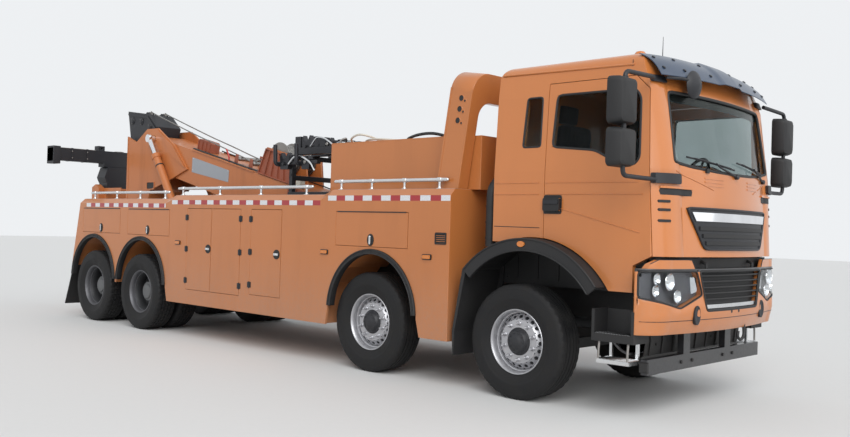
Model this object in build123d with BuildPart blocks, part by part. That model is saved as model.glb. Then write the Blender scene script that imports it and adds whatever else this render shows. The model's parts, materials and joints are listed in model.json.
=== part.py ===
from build123d import *
import math
import os

# A heavy four-axle tow truck with a lifting boom, a folded rear lift arm and side lockers.
# Millimetres. +X is forward, +Y is the truck's left, +Z is up, and the ground is Z = 0.
# The origin is below the middle of the whole truck's box.

# Driving dimensions: overall
front_reach = 1570.0      # front axle to the front of the grille
rear_reach = 9790.0       # front axle to the back of the folded lift arm
half_width = 1250.0       # locker sides
front_axle_x = (rear_reach - front_reach) / 2

# Driving dimensions: wheels and axles
axle_2_gap = 1950.0
axle_3_gap = 4625.0
axle_4_gap = 1350.0
tyre_radius = 525.0
tyre_width = 315.0
rim_flange_radius = 298.0
rim_seat_radius = 284.0
steer_tyre_y = 1022.0
twin_middle_y = 917.0
twin_spacing = 352.0
kingpin_y = 880.0
kingpin_radius = 25.0
kingpin_fit = 0.05
spindle_radius = 45.0
spindle_fit = 0.05
hub_radius = 110.0
disc_thickness = 14.0

# Driving dimensions: chassis
rail_outer_y = 430.0
rail_flange = 85.0
rail_web = 12.0
rail_bottom = 740.0
rail_height = 300.0
rail_front_gap = 1240.0
rail_rear_gap = 8150.0
cab_mount_gaps = [200.0, -1150.0]
cab_mount_radius = 40.0
subframe_height = 120.0
subframe_width = 80.0

# Driving dimensions: lockers
locker_inner_y = 520.0
locker_bottom = 450.0
locker_chamfer = 65.0
locker_front_gap = 755.0
locker_rear_gap = 8380.0
locker_foot_gap = 8607.0
locker_foot_z = 840.0
front_step_gap = 2690.0
front_step_run = 130.0
rear_step_gap = 5920.0
rear_step_run = 160.0
heel_z = 800.0
rear_side_top = 1763.0
mid_side_top = 1809.0
front_side_top = 1862.0
arch_radius = 672.0
arch_centre_z = 628.0
arch_2_shift = 100.0
deck_plate = 30.0
deck_rear_gap = 7950.0
door_sheet = 22.0
door_seam = 5.0
door_rebate = 22.0
seat_gap = 0.3
locker_depth = 560.0

# Driving dimensions: cab
cab_rear_gap = 330.0
cab_bottom = 1050.0
cab_front_bottom = 1360.0
cab_rear_bottom = 1433.0
cab_top = 3070.0
cab_wall = 45.0
cab_door_wall = 55.0
cab_seam = 3.0
cab_floor_z = 1490.0
cab_floor_plate = 40.0
fender_centre_gap = 130.0
fender_centre_z = 520.0
fender_radius = 955.0
fender_plate = 28.0
fender_lip = 118.0
fender_to_cab = 8.0
glass_depth = 14.0
glass_thickness = 6.0

# Driving dimensions: boom
boom_pivot_gap = 3950.0
boom_pivot_z = 1668.0
boom_angle = 13.1
boom_half_width = 285.0
boom_half_depth = 250.0
boom_wall = 22.0
boom_pin_radius = 60.0
boom_pin_fit = 0.05
boom_tail = 220.0
boom_length = 4200.0
inner_half_width = 235.0
inner_half_depth = 190.0
inner_start = 1600.0
head_half_width = 220.0
cheek_plate = 25.0
mast_rear_gap = 8750.0
mast_foot_z = 600.0
lift_eye_u = 4130.0
lift_eye_v = 215.0
lift_base_gap = 6806.0
lift_base_z = 1300.0
lift_y = 382.0
lift_barrel_radius = 62.0
lift_rod_radius = 40.0
lift_pin_radius = 38.0

# Driving dimensions: rear lift arm
arm_pivot_gap = 9000.0
arm_pivot_z = 800.0
arm_pin_radius = 45.0
arm_depth = 340.0
arm_half_width = 300.0
arm_top = 2050.0
arm_wall = 20.0
stinger_clearance = 12.0
stinger_head_top = 2410.0
crossbar_half = 1200.0
crossbar_height = 270.0
crossbar_depth = 190.0
crossbar_pin_radius = 55.0

# Places worked out from the driving dimensions
axle_x = [
    front_axle_x,
    front_axle_x - axle_2_gap,
    front_axle_x - axle_2_gap - axle_3_gap,
    front_axle_x - axle_2_gap - axle_3_gap - axle_4_gap,
]
rail_top = rail_bottom + rail_height
subframe_top = rail_top + subframe_height
deck_top = subframe_top + deck_plate
rail_front_x = front_axle_x + rail_front_gap
rail_rear_x = front_axle_x - rail_rear_gap
locker_front_x = front_axle_x - locker_front_gap
front_step_x = front_axle_x - front_step_gap
bulkhead_x = front_step_x + front_step_run
locker_rear_x = front_axle_x - locker_rear_gap
locker_foot_x = front_axle_x - locker_foot_gap
cab_rear_x = front_axle_x - cab_rear_gap
fender_x = front_axle_x + fender_centre_gap
boom_pivot_x = front_axle_x - boom_pivot_gap
mast_rear_x = front_axle_x - mast_rear_gap
lift_base_x = front_axle_x - lift_base_gap
arm_pivot_x = front_axle_x - arm_pivot_gap
arm_back_x = front_axle_x - rear_reach

os.makedirs("parts", exist_ok=True)


def save(piece, name):
    piece.label = name
    export_step(piece, "parts/" + name + ".step")


def block(x, y, z, mode=Mode.ADD):
    """A box between two X, two Y and two Z values."""
    with Locations(((x[0] + x[1]) / 2, (y[0] + y[1]) / 2, (z[0] + z[1]) / 2)):
        Box(abs(x[1] - x[0]), abs(y[1] - y[0]), abs(z[1] - z[0]), mode=mode)


def side_plate(points, y, mode=Mode.ADD):
    """A plate whose outline is given as (x, z) points, between two Y values."""
    low_y, high_y = sorted(y)
    with BuildSketch(Plane.XZ.offset(-low_y)) as outline:
        with BuildLine():
            Polyline(points, close=True)
        make_face()
    extrude(outline.sketch, amount=low_y - high_y, mode=mode)


def cross_pin(x, z, radius, y, mode=Mode.ADD):
    """A round pin along Y."""
    low_y, high_y = sorted(y)
    with BuildSketch(Plane.XZ.offset(-low_y)) as outline:
        with Locations((x, z)):
            Circle(radius)
    extrude(outline.sketch, amount=low_y - high_y, mode=mode)


def post(x, y, radius, z, mode=Mode.ADD):
    """A round post along Z."""
    with BuildSketch(Plane.XY.offset(z[0])) as outline:
        with Locations((x, y)):
            Circle(radius)
    extrude(outline.sketch, amount=z[1] - z[0], mode=mode)


def shaft(y, z, radius, x, mode=Mode.ADD):
    """A round shaft along X."""
    with BuildSketch(Plane.YZ.offset(x[0])) as outline:
        with Locations((y, z)):
            Circle(radius)
    extrude(outline.sketch, amount=x[1] - x[0], mode=mode)


# Chassis frame: two channel rails, cross members, the subframe and the tail beam
frame_cross_gaps = [-1100, 1300, 2700, 3900, 5200, 6200, 7250, 8090]
with BuildPart() as chassis_frame:
    block((rail_rear_x, rail_front_x), (-rail_outer_y, -rail_outer_y + rail_flange), (rail_bottom, rail_top))
    block(
        (rail_rear_x, rail_front_x),
        (-rail_outer_y + rail_web, -rail_outer_y + rail_flange),
        (rail_bottom + rail_web, rail_top - rail_web),
        mode=Mode.SUBTRACT,
    )
    block(
        (rail_rear_x, front_axle_x - 1300),
        (-rail_outer_y, -rail_outer_y + subframe_width),
        (rail_top, subframe_top),
    )
    mirror(about=Plane.XZ)
    for gap in frame_cross_gaps:
        cross_x = front_axle_x - gap
        block(
            (cross_x - 60, cross_x + 60),
            (-rail_outer_y + rail_web, rail_outer_y - rail_web),
            (rail_bottom + 90, rail_top - rail_web),
        )
    for gap in (1360, 4600, 8090):
        cross_x = front_axle_x - gap
        block(
            (cross_x - 60, cross_x + 60),
            (-rail_outer_y + subframe_width, rail_outer_y - subframe_width),
            (rail_top, subframe_top),
        )
    for mount_gap in cab_mount_gaps:
        for side in (-1, 1):
            post(
                front_axle_x - mount_gap,
                side * (rail_outer_y - rail_flange / 2),
                cab_mount_radius,
                (rail_top - rail_web, cab_floor_z),
            )
save(chassis_frame.part, "chassis_frame")

# Suspension: steered beam axles with kingpins, leaf springs and hangers
beam_half = kingpin_y - 60
beam_bottom = 400.0
beam_top = 500.0
boss_radius = 58.0
boss_half = 70.0
spring_y = rail_outer_y - rail_flange / 2
spring_half_width = 42.0
spring_reach = 720.0
bogie_spring_y = rail_outer_y + 42
bogie_spring_half = 36.0
with BuildPart() as suspension:
    for beam_x in axle_x[:2]:
        block((beam_x - 50, beam_x + 50), (-beam_half, beam_half), (beam_bottom, beam_top))
        block((beam_x - 50, beam_x + 50), (beam_half - 120, beam_half), (beam_bottom, tyre_radius + 40))
        block((beam_x - 50, beam_x + 50), (-beam_half, -beam_half + 120), (beam_bottom, tyre_radius + 40))
        for side in (-1, 1):
            post(beam_x, side * kingpin_y, boss_radius, (tyre_radius - boss_half, tyre_radius + boss_half))
            post(beam_x, side * kingpin_y, kingpin_radius, (tyre_radius - 135, tyre_radius + 135))
            block(
                (beam_x - 45, beam_x + 45),
                (side * (beam_half - 20), side * kingpin_y),
                (tyre_radius - 60, tyre_radius + 40),
            )
            with BuildSketch(Plane.XZ.offset(-side * spring_y + spring_half_width)):
                with BuildLine():
                    low_leaf = ThreePointArc(
                        (beam_x - spring_reach, 640),
                        (beam_x, beam_top + 40),
                        (beam_x + spring_reach, 640),
                    )
                    front_end = Line(low_leaf @ 1, (beam_x + spring_reach, 690))
                    high_leaf = ThreePointArc(
                        front_end @ 1,
                        (beam_x, beam_top + 130),
                        (beam_x - spring_reach, 690),
                    )
                    Line(high_leaf @ 1, low_leaf @ 0)
                make_face()
            extrude(amount=-2 * spring_half_width)
            block(
                (beam_x - 70, beam_x + 70),
                (side * spring_y - 50, side * spring_y + 50),
                (beam_top - 10, beam_top + 140),
            )
            for end in (-1, 1):
                block(
                    (beam_x + end * spring_reach - 30, beam_x + end * spring_reach + 30),
                    (side * spring_y - spring_half_width, side * spring_y + spring_half_width),
                    (640, rail_bottom),
                )
    bogie_x = (axle_x[2] + axle_x[3]) / 2
    for side in (-1, 1):
        with BuildSketch(Plane.XZ.offset(-side * bogie_spring_y + bogie_spring_half)):
            with BuildLine():
                Polyline(
                    (axle_x[3] - 60, 610),
                    (axle_x[2] + 60, 610),
                    (axle_x[2] + 60, 650),
                    (bogie_x + 200, 760),
                    (bogie_x - 200, 760),
                    (axle_x[3] - 60, 650),
                    close=True,
                )
            make_face()
        extrude(amount=-2 * bogie_spring_half)
        block(
            (bogie_x - 160, bogie_x + 160),
            (side * rail_outer_y, side * (bogie_spring_y + bogie_spring_half)),
            (480, 900),
        )
save(suspension.part, "suspension")

# Drivetrain: engine block, gearbox, propeller shafts and the two driven axles
bowl_radius = 215.0
tube_radius = 78.0
propshaft_z = 640.0
radiator_half = rail_outer_y - rail_flange - 10
with BuildPart() as drivetrain:
    block((front_axle_x - 250, front_axle_x + 820), (-300, 300), (600, 1400))
    for mount_gap in (-620, -60):
        for side in (-1, 1):
            block(
                (front_axle_x - mount_gap - 50, front_axle_x - mount_gap + 50),
                (side * 290, side * (rail_outer_y - rail_web)),
                (rail_bottom + 90, rail_bottom + 160),
            )
    block((front_axle_x + 880, front_axle_x + 1010), (-radiator_half, radiator_half), (800, 1400))
    shaft(0, 830, 40, (front_axle_x + 820, front_axle_x + 880))
    shaft(0, 800, 190, (front_axle_x - 1150, front_axle_x - 250))
    shaft(0, propshaft_z, 55, (axle_x[2] + 150, front_axle_x - 1150))
    shaft(0, 600, 45, (axle_x[3] + 150, axle_x[2] - 150))
    for drive_x in axle_x[2:]:
        with Locations((drive_x, 0, tyre_radius)):
            Sphere(bowl_radius)
        cross_pin(drive_x, tyre_radius, tube_radius, (-680, 680))
        cross_pin(drive_x, tyre_radius, spindle_radius, (-1090, 1090))
        for side in (-1, 1):
            seat_y = side * bogie_spring_y
            block(
                (drive_x - 60, drive_x + 60),
                (seat_y - bogie_spring_half, seat_y + bogie_spring_half),
                (tyre_radius + 40, 610),
            )
save(drivetrain.part, "drivetrain")

# Knuckles: an arm above and below the beam's boss, and the spindle
arm_thickness = 44.0
axial_gap = 0.5
low_arm_bottom = tyre_radius - boss_half - axial_gap - arm_thickness
high_arm_bottom = tyre_radius + boss_half + axial_gap
for axle_number, beam_x in enumerate(axle_x[:2], start=1):
    for side_name, side in (("right", -1), ("left", 1)):
        web_y = kingpin_y + boss_radius + 6
        with BuildPart() as knuckle:
            for arm_bottom in (low_arm_bottom, high_arm_bottom):
                post(beam_x, side * kingpin_y, 52, (arm_bottom, arm_bottom + arm_thickness))
                block(
                    (beam_x - 52, beam_x + 52),
                    (side * kingpin_y, side * (web_y + 10)),
                    (arm_bottom, arm_bottom + arm_thickness),
                )
                post(
                    beam_x,
                    side * kingpin_y,
                    kingpin_radius + kingpin_fit,
                    (arm_bottom - 1, arm_bottom + arm_thickness + 1),
                    mode=Mode.SUBTRACT,
                )
            block(
                (beam_x - 75, beam_x + 75),
                (side * web_y, side * (web_y + 26)),
                (tyre_radius - 120, tyre_radius + 120),
            )
            cross_pin(beam_x, tyre_radius, spindle_radius, (side * web_y, side * (steer_tyre_y + 110)))
            block(
                (beam_x - 200, beam_x - 60),
                (side * (web_y - 30), side * (web_y + 10)),
                (tyre_radius - 115, tyre_radius - 85),
            )
        save(knuckle.part, f"knuckle_{axle_number}_{side_name}")

# Wheels: each is a tyre or twin tyres, and the rims with their hub
tyre_shoulder = 38.0
bead_half = 113.0
nut_circle = 167.0
nut_radius = 16.0
nut_count = 10
vent_circle = 212.0
vent_radius = 17.0
vent_count = 20


def tyre_ring(middle_y, half_wide):
    """One tyre's section turned about the Y axis at the origin."""
    with BuildSketch(Plane.XY) as section:
        with BuildLine():
            Polyline(
                (rim_seat_radius + seat_gap, middle_y - bead_half),
                (rim_seat_radius + 22, middle_y - bead_half),
                (rim_seat_radius + 110, middle_y - half_wide),
                (tyre_radius - tyre_shoulder, middle_y - half_wide + 8),
                (tyre_radius, middle_y - half_wide + tyre_shoulder),
                (tyre_radius, middle_y + half_wide - tyre_shoulder),
                (tyre_radius - tyre_shoulder, middle_y + half_wide - 8),
                (rim_seat_radius + 110, middle_y + half_wide),
                (rim_seat_radius + 22, middle_y + bead_half),
                (rim_seat_radius + seat_gap, middle_y + bead_half),
                close=True,
            )
        make_face()
    revolve(section.sketch, axis=Axis.Y)


def rim_ring(middle_y):
    """One rim's barrel and flanges turned about the Y axis at the origin."""
    barrel = rim_seat_radius - 14
    edge = bead_half + 13
    with BuildSketch(Plane.XY) as section:
        with BuildLine():
            Polyline(
                (barrel, middle_y - edge),
                (rim_flange_radius, middle_y - edge),
                (rim_flange_radius, middle_y - bead_half - seat_gap),
                (rim_seat_radius, middle_y - bead_half - seat_gap),
                (rim_seat_radius, middle_y + bead_half + seat_gap),
                (rim_flange_radius, middle_y + bead_half + seat_gap),
                (rim_flange_radius, middle_y + edge),
                (barrel, middle_y + edge),
                close=True,
            )
        make_face()
    revolve(section.sketch, axis=Axis.Y)


def turned(points):
    """A solid turned about the Y axis from (radius, y) points."""
    with BuildSketch(Plane.XY) as section:
        with BuildLine():
            Polyline(points, close=True)
        make_face()
    revolve(section.sketch, axis=Axis.Y)


def steer_rim():
    """The single wheel: its outward side is +Y."""
    rim_ring(0)
    disc_y = 66
    turned([
        (spindle_radius + 20, disc_y + 24),
        (150, disc_y + 24),
        (205, disc_y + 6),
        (rim_seat_radius - 10, disc_y - 34),
        (rim_seat_radius - 10, disc_y - 34 - disc_thickness),
        (205, disc_y + 6 - disc_thickness),
        (150, disc_y + 24 - disc_thickness),
        (spindle_radius + 20, disc_y + 24 - disc_thickness),
    ])
    turned([
        (spindle_radius + spindle_fit, -45),
        (hub_radius + 15, -45),
        (hub_radius + 15, disc_y + 15),
        (hub_radius, disc_y + 60),
        (hub_radius - 20, disc_y + 84),
        (0, disc_y + 84),
        (0, disc_y + 60),
        (spindle_radius + spindle_fit, disc_y + 60),
    ])
    with BuildSketch(Plane.XZ.offset(-disc_y - 100)) as vents:
        with PolarLocations(vent_circle + 4, vent_count):
            Circle(vent_radius)
    extrude(vents.sketch, amount=200, mode=Mode.SUBTRACT)
    with BuildSketch(Plane.XZ.offset(-disc_y - 16)) as nuts:
        with PolarLocations(nut_circle - 24, nut_count):
            RegularPolygon(nut_radius, 6)
    extrude(nuts.sketch, amount=-40)


def twin_rim():
    """Twin wheels: the discs meet in the middle, and the outward side is +Y."""
    for offset in (-twin_spacing / 2, twin_spacing / 2):
        rim_ring(offset)
    for face in (-1, 1):
        turned([
            (spindle_radius + 20, 0),
            (205, 0),
            (rim_seat_radius - 10, face * 60),
            (rim_seat_radius - 10, face * (60 + disc_thickness)),
            (205, face * disc_thickness),
            (spindle_radius + 20, face * disc_thickness),
        ])
    turned([
        (spindle_radius + spindle_fit, -150),
        (hub_radius + 40, -150),
        (hub_radius + 40, 60),
        (hub_radius, 70),
        (hub_radius - 12, 215),
        (0, 215),
        (0, 190),
        (spindle_radius + spindle_fit, 190),
    ])
    with BuildSketch(Plane.XZ.offset(-100)) as vents:
        with PolarLocations(vent_circle + 18, 10):
            Circle(vent_radius + 5)
    extrude(vents.sketch, amount=200, mode=Mode.SUBTRACT)
    with BuildSketch(Plane.XZ.offset(-disc_thickness)) as nuts:
        with PolarLocations(nut_circle, nut_count):
            RegularPolygon(nut_radius, 6)
    extrude(nuts.sketch, amount=-26)


for axle_number, wheel_x in enumerate(axle_x, start=1):
    for side_name, side in (("right", -1), ("left", 1)):
        steered = axle_number <= 2
        wheel_y = steer_tyre_y if steered else twin_middle_y
        turn = 0 if side > 0 else 180
        middles = [0] if steered else [-twin_spacing / 2, twin_spacing / 2]
        with BuildPart() as tyre:
            for middle in middles:
                tyre_ring(middle, tyre_width / 2)
        with BuildPart() as rim:
            if steered:
                steer_rim()
            else:
                twin_rim()
        place = Location((wheel_x, side * wheel_y, tyre_radius), (0, 0, turn))
        save(tyre.part.moved(place), f"tyre_{axle_number}_{side_name}")
        save(rim.part.moved(place), f"rim_{axle_number}_{side_name}")

# Locker body: side lockers with a chamfered top, wheel arches, the deck and the front bulkhead
front_top = front_side_top + locker_chamfer
mid_top = mid_side_top + locker_chamfer
rear_top = rear_side_top + locker_chamfer
# gap behind the front axle, height of the side below the chamfer
locker_stations = [
    (locker_foot_gap, rear_side_top),
    (rear_step_gap, rear_side_top),
    (rear_step_gap - rear_step_run, mid_side_top),
    (front_step_gap, mid_side_top),
    (front_step_gap - front_step_run, front_side_top),
    (locker_front_gap, front_side_top),
]
# name, rear gap, front gap, bottom, top, latch gap, latch Z (None where the leaf has no latch)
locker_doors = [
    ("flip_4", 8290, 7145, 1323, 1684, 7706, 1398),
    ("flip_3", 6930, 5810, 1320, 1680, 6374, 1392),
    ("double_rear", 5376, 4812, 640, 1700, 4870, 1186),
    ("double_front", 4808, 4180, 640, 1700, None, None),
    ("single", 3970, 3370, 670, 1700, 3450, 1175),
    ("flip_2", 2420, 1318, 1320, 1687, 1862, 1394),
]
latch_radius = 42.0
latch_depth = 9.0
latch_rim = 10.0
arches = [
    (axle_x[1] + arch_2_shift, arch_radius),
    (axle_x[2] + 25, arch_radius),
    (axle_x[3], arch_radius),
]
well_reach = 740.0
deck_half = locker_inner_y - seat_gap
with BuildPart() as locker_body:
    for station_gap, side_top in locker_stations:
        with BuildSketch(Plane.YZ.offset(front_axle_x - station_gap)):
            with BuildLine():
                Polyline(
                    (-half_width, locker_bottom),
                    (-half_width, side_top),
                    (-half_width + locker_chamfer, side_top + locker_chamfer),
                    (-locker_inner_y, side_top + locker_chamfer),
                    (-locker_inner_y, locker_bottom),
                    close=True,
                )
            make_face()
    loft(ruled=True)
    side_plate(
        [
            (locker_foot_x - 10, locker_bottom - 10),
            (locker_foot_x, locker_foot_z),
            (locker_rear_x, rear_top + 10),
            (locker_foot_x - 10, rear_top + 10),
        ],
        (-half_width - 10, -locker_inner_y + 10),
        mode=Mode.SUBTRACT,
    )
    block(
        (locker_foot_x - 20, axle_x[3] - arch_radius + 30),
        (-half_width - 10, -locker_inner_y + 10),
        (locker_bottom - 10, heel_z),
        mode=Mode.SUBTRACT,
    )
    for arch_x, radius in arches:
        cross_pin(arch_x, arch_centre_z, radius, (-half_width - 10, -locker_inner_y + 10), mode=Mode.SUBTRACT)
        side_plate(
            [
                (arch_x - radius, arch_centre_z),
                (arch_x + radius, arch_centre_z),
                (arch_x + radius + 90, locker_bottom - 160),
                (arch_x - radius - 60, locker_bottom - 160),
            ],
            (-half_width - 10, -locker_inner_y + 10),
            mode=Mode.SUBTRACT,
        )
    block(
        (axle_x[3] - well_reach, axle_x[2]),
        (-half_width - 10, -locker_inner_y + 10),
        (locker_bottom - 10, arch_centre_z - 10),
        mode=Mode.SUBTRACT,
    )
    side_plate(
        [
            (axle_x[1] - 660, locker_bottom - 10),
            (axle_x[1] - 660, 900),
            (axle_x[1] - 500, 1080),
            (axle_x[1] + 500, 1080),
            (axle_x[1] + 680, 900),
            (axle_x[1] + 680, locker_bottom - 10),
        ],
        (-half_width + 30, -locker_inner_y + 10),
        mode=Mode.SUBTRACT,
    )
    for name, rear_gap, front_gap, bottom, top, latch_gap, latch_z in locker_doors:
        block(
            (front_axle_x - rear_gap, front_axle_x - front_gap),
            (-half_width - 1, -half_width + door_sheet + seat_gap),
            (bottom, top),
            mode=Mode.SUBTRACT,
        )
        block(
            (front_axle_x - rear_gap + door_rebate, front_axle_x - front_gap - door_rebate),
            (-half_width - 1, -half_width + locker_depth),
            (bottom + door_rebate, top - door_rebate),
            mode=Mode.SUBTRACT,
        )
    mirror(about=Plane.XZ)
    block(
        (front_axle_x - deck_rear_gap, bulkhead_x),
        (-deck_half, deck_half),
        (subframe_top, deck_top),
    )
    block(
        (bulkhead_x, bulkhead_x + deck_plate),
        (-deck_half, deck_half),
        (subframe_top, front_top),
    )
    block(
        (bulkhead_x, locker_front_x),
        (-deck_half, deck_half),
        (front_top - deck_plate, front_top),
    )
    block(
        (locker_front_x - deck_plate, locker_front_x),
        (-deck_half, deck_half),
        (subframe_top, front_top),
    )
save(locker_body.part, "locker_body")

# Locker doors: flush panels with a round latch
for side_name, side in (("right", -1), ("left", 1)):
    for name, rear_gap, front_gap, bottom, top, latch_gap, latch_z in locker_doors:
        outer_y = side * half_width
        inner_y = side * (half_width - door_sheet)
        latch_floor = side * (half_width - latch_depth)
        with BuildPart() as locker_door:
            block(
                (front_axle_x - rear_gap + door_seam, front_axle_x - front_gap - door_seam),
                (outer_y, inner_y),
                (bottom + door_seam, top - door_seam),
            )
            if latch_gap:
                latch_x = front_axle_x - latch_gap
                cross_pin(latch_x, latch_z, latch_radius, (latch_floor, outer_y), mode=Mode.SUBTRACT)
                cross_pin(latch_x, latch_z, latch_radius - latch_rim, (latch_floor, outer_y))
        save(locker_door.part, f"locker_{name}_{side_name}")

# Cab: outer form as a loft of plan sections, rounded over the roof
# Z, half width, front end of the side, knee X, knee Y, nose X (gaps from the front axle)
cab_levels = [
    (cab_bottom, 1118.0, 1335.0, 1475.0, 800.0, 1560.0),
    (2080.0, 1120.0, 1300.0, 1415.0, 820.0, 1525.0),
    (2760.0, 1085.0, 1262.0, 1305.0, 880.0, 1385.0),
    (cab_top, 1050.0, 1150.0, 1180.0, 880.0, 1262.0),
]
roof_radius = 125.0


def cab_form(inset, rounded=True):
    """The cab's outside, moved inwards by the inset."""
    with BuildPart() as form:
        for level_z, wide, side_end, knee_gap, knee_y, nose_gap in cab_levels:
            rear = cab_rear_x + inset
            half = wide - inset
            corner_x = front_axle_x + side_end - 0.4 * inset
            knee_x = front_axle_x + knee_gap - inset
            nose_x = front_axle_x + nose_gap - inset
            knee = knee_y - 0.3 * inset
            mid_x = corner_x + 0.66 * (knee_x - corner_x)
            mid_y = half - 0.3 * (half - knee)
            plan_z = level_z - inset if level_z == cab_top else level_z
            with BuildSketch(Plane.XY.offset(plan_z)):
                with BuildLine():
                    Line((rear, half), (rear, -half))
                    Line((rear, -half), (corner_x, -half))
                    ThreePointArc((corner_x, -half), (mid_x, -mid_y), (knee_x, -knee))
                    ThreePointArc((knee_x, -knee), (nose_x, 0), (knee_x, knee))
                    ThreePointArc((knee_x, knee), (mid_x, mid_y), (corner_x, half))
                    Line((corner_x, half), (rear, half))
                make_face()
        loft(ruled=True)
        if rounded:
            fillet(form.faces().sort_by(Axis.Z)[-1].edges(), radius=roof_radius - inset)
    return form.part


cab_outer = cab_form(0)
cab_inner = cab_form(cab_wall)
door_inner = cab_form(cab_door_wall)
glass_outer = cab_form(glass_depth)
glass_inner = cab_form(glass_depth + glass_thickness)

door_rear_gap = 250.0
door_top_z = 2865.0
door_heel_gap = 1165.0
door_heel_z = 1275.0
cab_arch_radius = fender_radius + fender_to_cab
cab_arch_front_x = fender_x + math.sqrt(cab_arch_radius**2 - (cab_bottom - fender_centre_z) ** 2)
cab_arch_rear_x = front_axle_x + door_rear_gap
cab_arch_rear_z = fender_centre_z + math.sqrt(cab_arch_radius**2 - (cab_arch_rear_x - fender_x) ** 2)
door_arc_x = (cab_arch_front_x + cab_arch_rear_x) / 2
door_arc_z = fender_centre_z + math.sqrt(cab_arch_radius**2 - (door_arc_x - fender_x) ** 2)


def door_outline():
    """The right cab door's outline in X and Z."""
    with BuildLine() as edge:
        Polyline(
            (cab_arch_rear_x, cab_arch_rear_z),
            (cab_arch_rear_x, door_top_z),
            (front_axle_x + 1130, door_top_z),
            (front_axle_x + 1262, 2745),
            (front_axle_x + 1335, cab_front_bottom),
            (front_axle_x + door_heel_gap, door_heel_z),
            (front_axle_x + door_heel_gap, cab_bottom),
            (cab_arch_front_x, cab_bottom),
        )
        ThreePointArc(
            (cab_arch_front_x, cab_bottom),
            (door_arc_x, door_arc_z),
            (cab_arch_rear_x, cab_arch_rear_z),
        )
    make_face(edge.edges())


def side_window_outline():
    """The cab door's window in X and Z."""
    with BuildLine() as edge:
        Polyline(
            (front_axle_x + 315, 2293),
            (front_axle_x + 759, 2249),
            (front_axle_x + 1000, 2130),
            (front_axle_x + 1150, 2112),
            (front_axle_x + 1200, 2170),
            (front_axle_x + 1187, 2680),
            (front_axle_x + 1130, 2752),
            (front_axle_x + 345, 2755),
            close=True,
        )
    make_face(edge.edges())


def quarter_outline():
    """The small fixed window behind the door in X and Z."""
    with BuildLine() as edge:
        Polyline(
            (front_axle_x - 15, 2300),
            (front_axle_x + 185, 2300),
            (front_axle_x + 185, 2750),
            (front_axle_x + 15, 2750),
            close=True,
        )
    make_face(edge.edges())


def windscreen_outline():
    """The windscreen in Y and Z."""
    with BuildLine() as edge:
        Polyline((-905, 2150), (-905, 2190), (-885, 2740), (885, 2740), (905, 2190), (905, 2150))
        ThreePointArc((905, 2150), (0, 2085), (-905, 2150))
    make_face(edge.edges())


with BuildPart() as glass_skin:
    add(glass_outer)
    add(glass_inner, mode=Mode.SUBTRACT)
with BuildPart() as door_skin:
    add(cab_outer)
    add(door_inner, mode=Mode.SUBTRACT)

with BuildPart() as cab_shell:
    add(cab_outer)
    add(cab_inner, mode=Mode.SUBTRACT)
    with BuildPart(mode=Mode.PRIVATE) as floor_slab:
        add(cab_form(cab_wall - 1))
        block(
            (cab_rear_x - 50, front_axle_x + 2000),
            (-1300, 1300),
            (cab_floor_z, cab_floor_z + cab_floor_plate),
            mode=Mode.INTERSECT,
        )
    add(floor_slab.part)
    for y in ((-1300, -1000), (1000, 1300)):
        cross_pin(fender_x, fender_centre_z, cab_arch_radius, y, mode=Mode.SUBTRACT)
    block(
        (cab_rear_x - 10, front_axle_x + 600),
        (-1300, 1300),
        (cab_bottom - 10, cab_rear_bottom),
        mode=Mode.SUBTRACT,
    )
    block(
        (front_axle_x + door_heel_gap - 15, front_axle_x + 1700),
        (-1300, 1300),
        (cab_bottom - 10, cab_front_bottom),
        mode=Mode.SUBTRACT,
    )
    for plane_y in (1300, -900):
        with BuildSketch(Plane.XZ.offset(plane_y)):
            door_outline()
            offset(amount=cab_seam)
        extrude(amount=-400, mode=Mode.SUBTRACT)
        with BuildSketch(Plane.XZ.offset(plane_y)):
            quarter_outline()
        extrude(amount=-400, mode=Mode.SUBTRACT)
    with BuildSketch(Plane.YZ.offset(front_axle_x + 1000)):
        windscreen_outline()
    extrude(amount=800, mode=Mode.SUBTRACT)
save(cab_shell.part, "cab_shell")

def side_pane(side):
    """A flat glass slab that leans in as the cab's side does between two levels."""
    low_z, low_half = cab_levels[1][:2]
    high_z, high_half = cab_levels[2][:2]
    with BuildSketch(Plane.YZ.offset(cab_rear_x + cab_wall)) as section:
        with BuildLine():
            Polyline(
                (side * (low_half - glass_depth), low_z),
                (side * (high_half - glass_depth), high_z),
                (side * (high_half - glass_depth - glass_thickness), high_z),
                (side * (low_half - glass_depth - glass_thickness), low_z),
                close=True,
            )
        make_face()
    extrude(section.sketch, amount=cab_rear_gap + 1300)


with BuildPart() as windscreen:
    with BuildSketch(Plane.YZ.offset(front_axle_x + 1000)):
        windscreen_outline()
        offset(amount=-seat_gap)
    extrude(amount=800)
    add(glass_skin.part, mode=Mode.INTERSECT)
with BuildPart() as quarter_panes:
    for side in (-1, 1):
        side_pane(side)
    with BuildSketch(Plane.XZ.offset(1300)):
        quarter_outline()
        offset(amount=-seat_gap)
    extrude(amount=-2600, mode=Mode.INTERSECT)
with BuildPart() as cab_glass:
    add(windscreen.part)
    add(quarter_panes.part)
save(cab_glass.part, "cab_glass")

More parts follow.
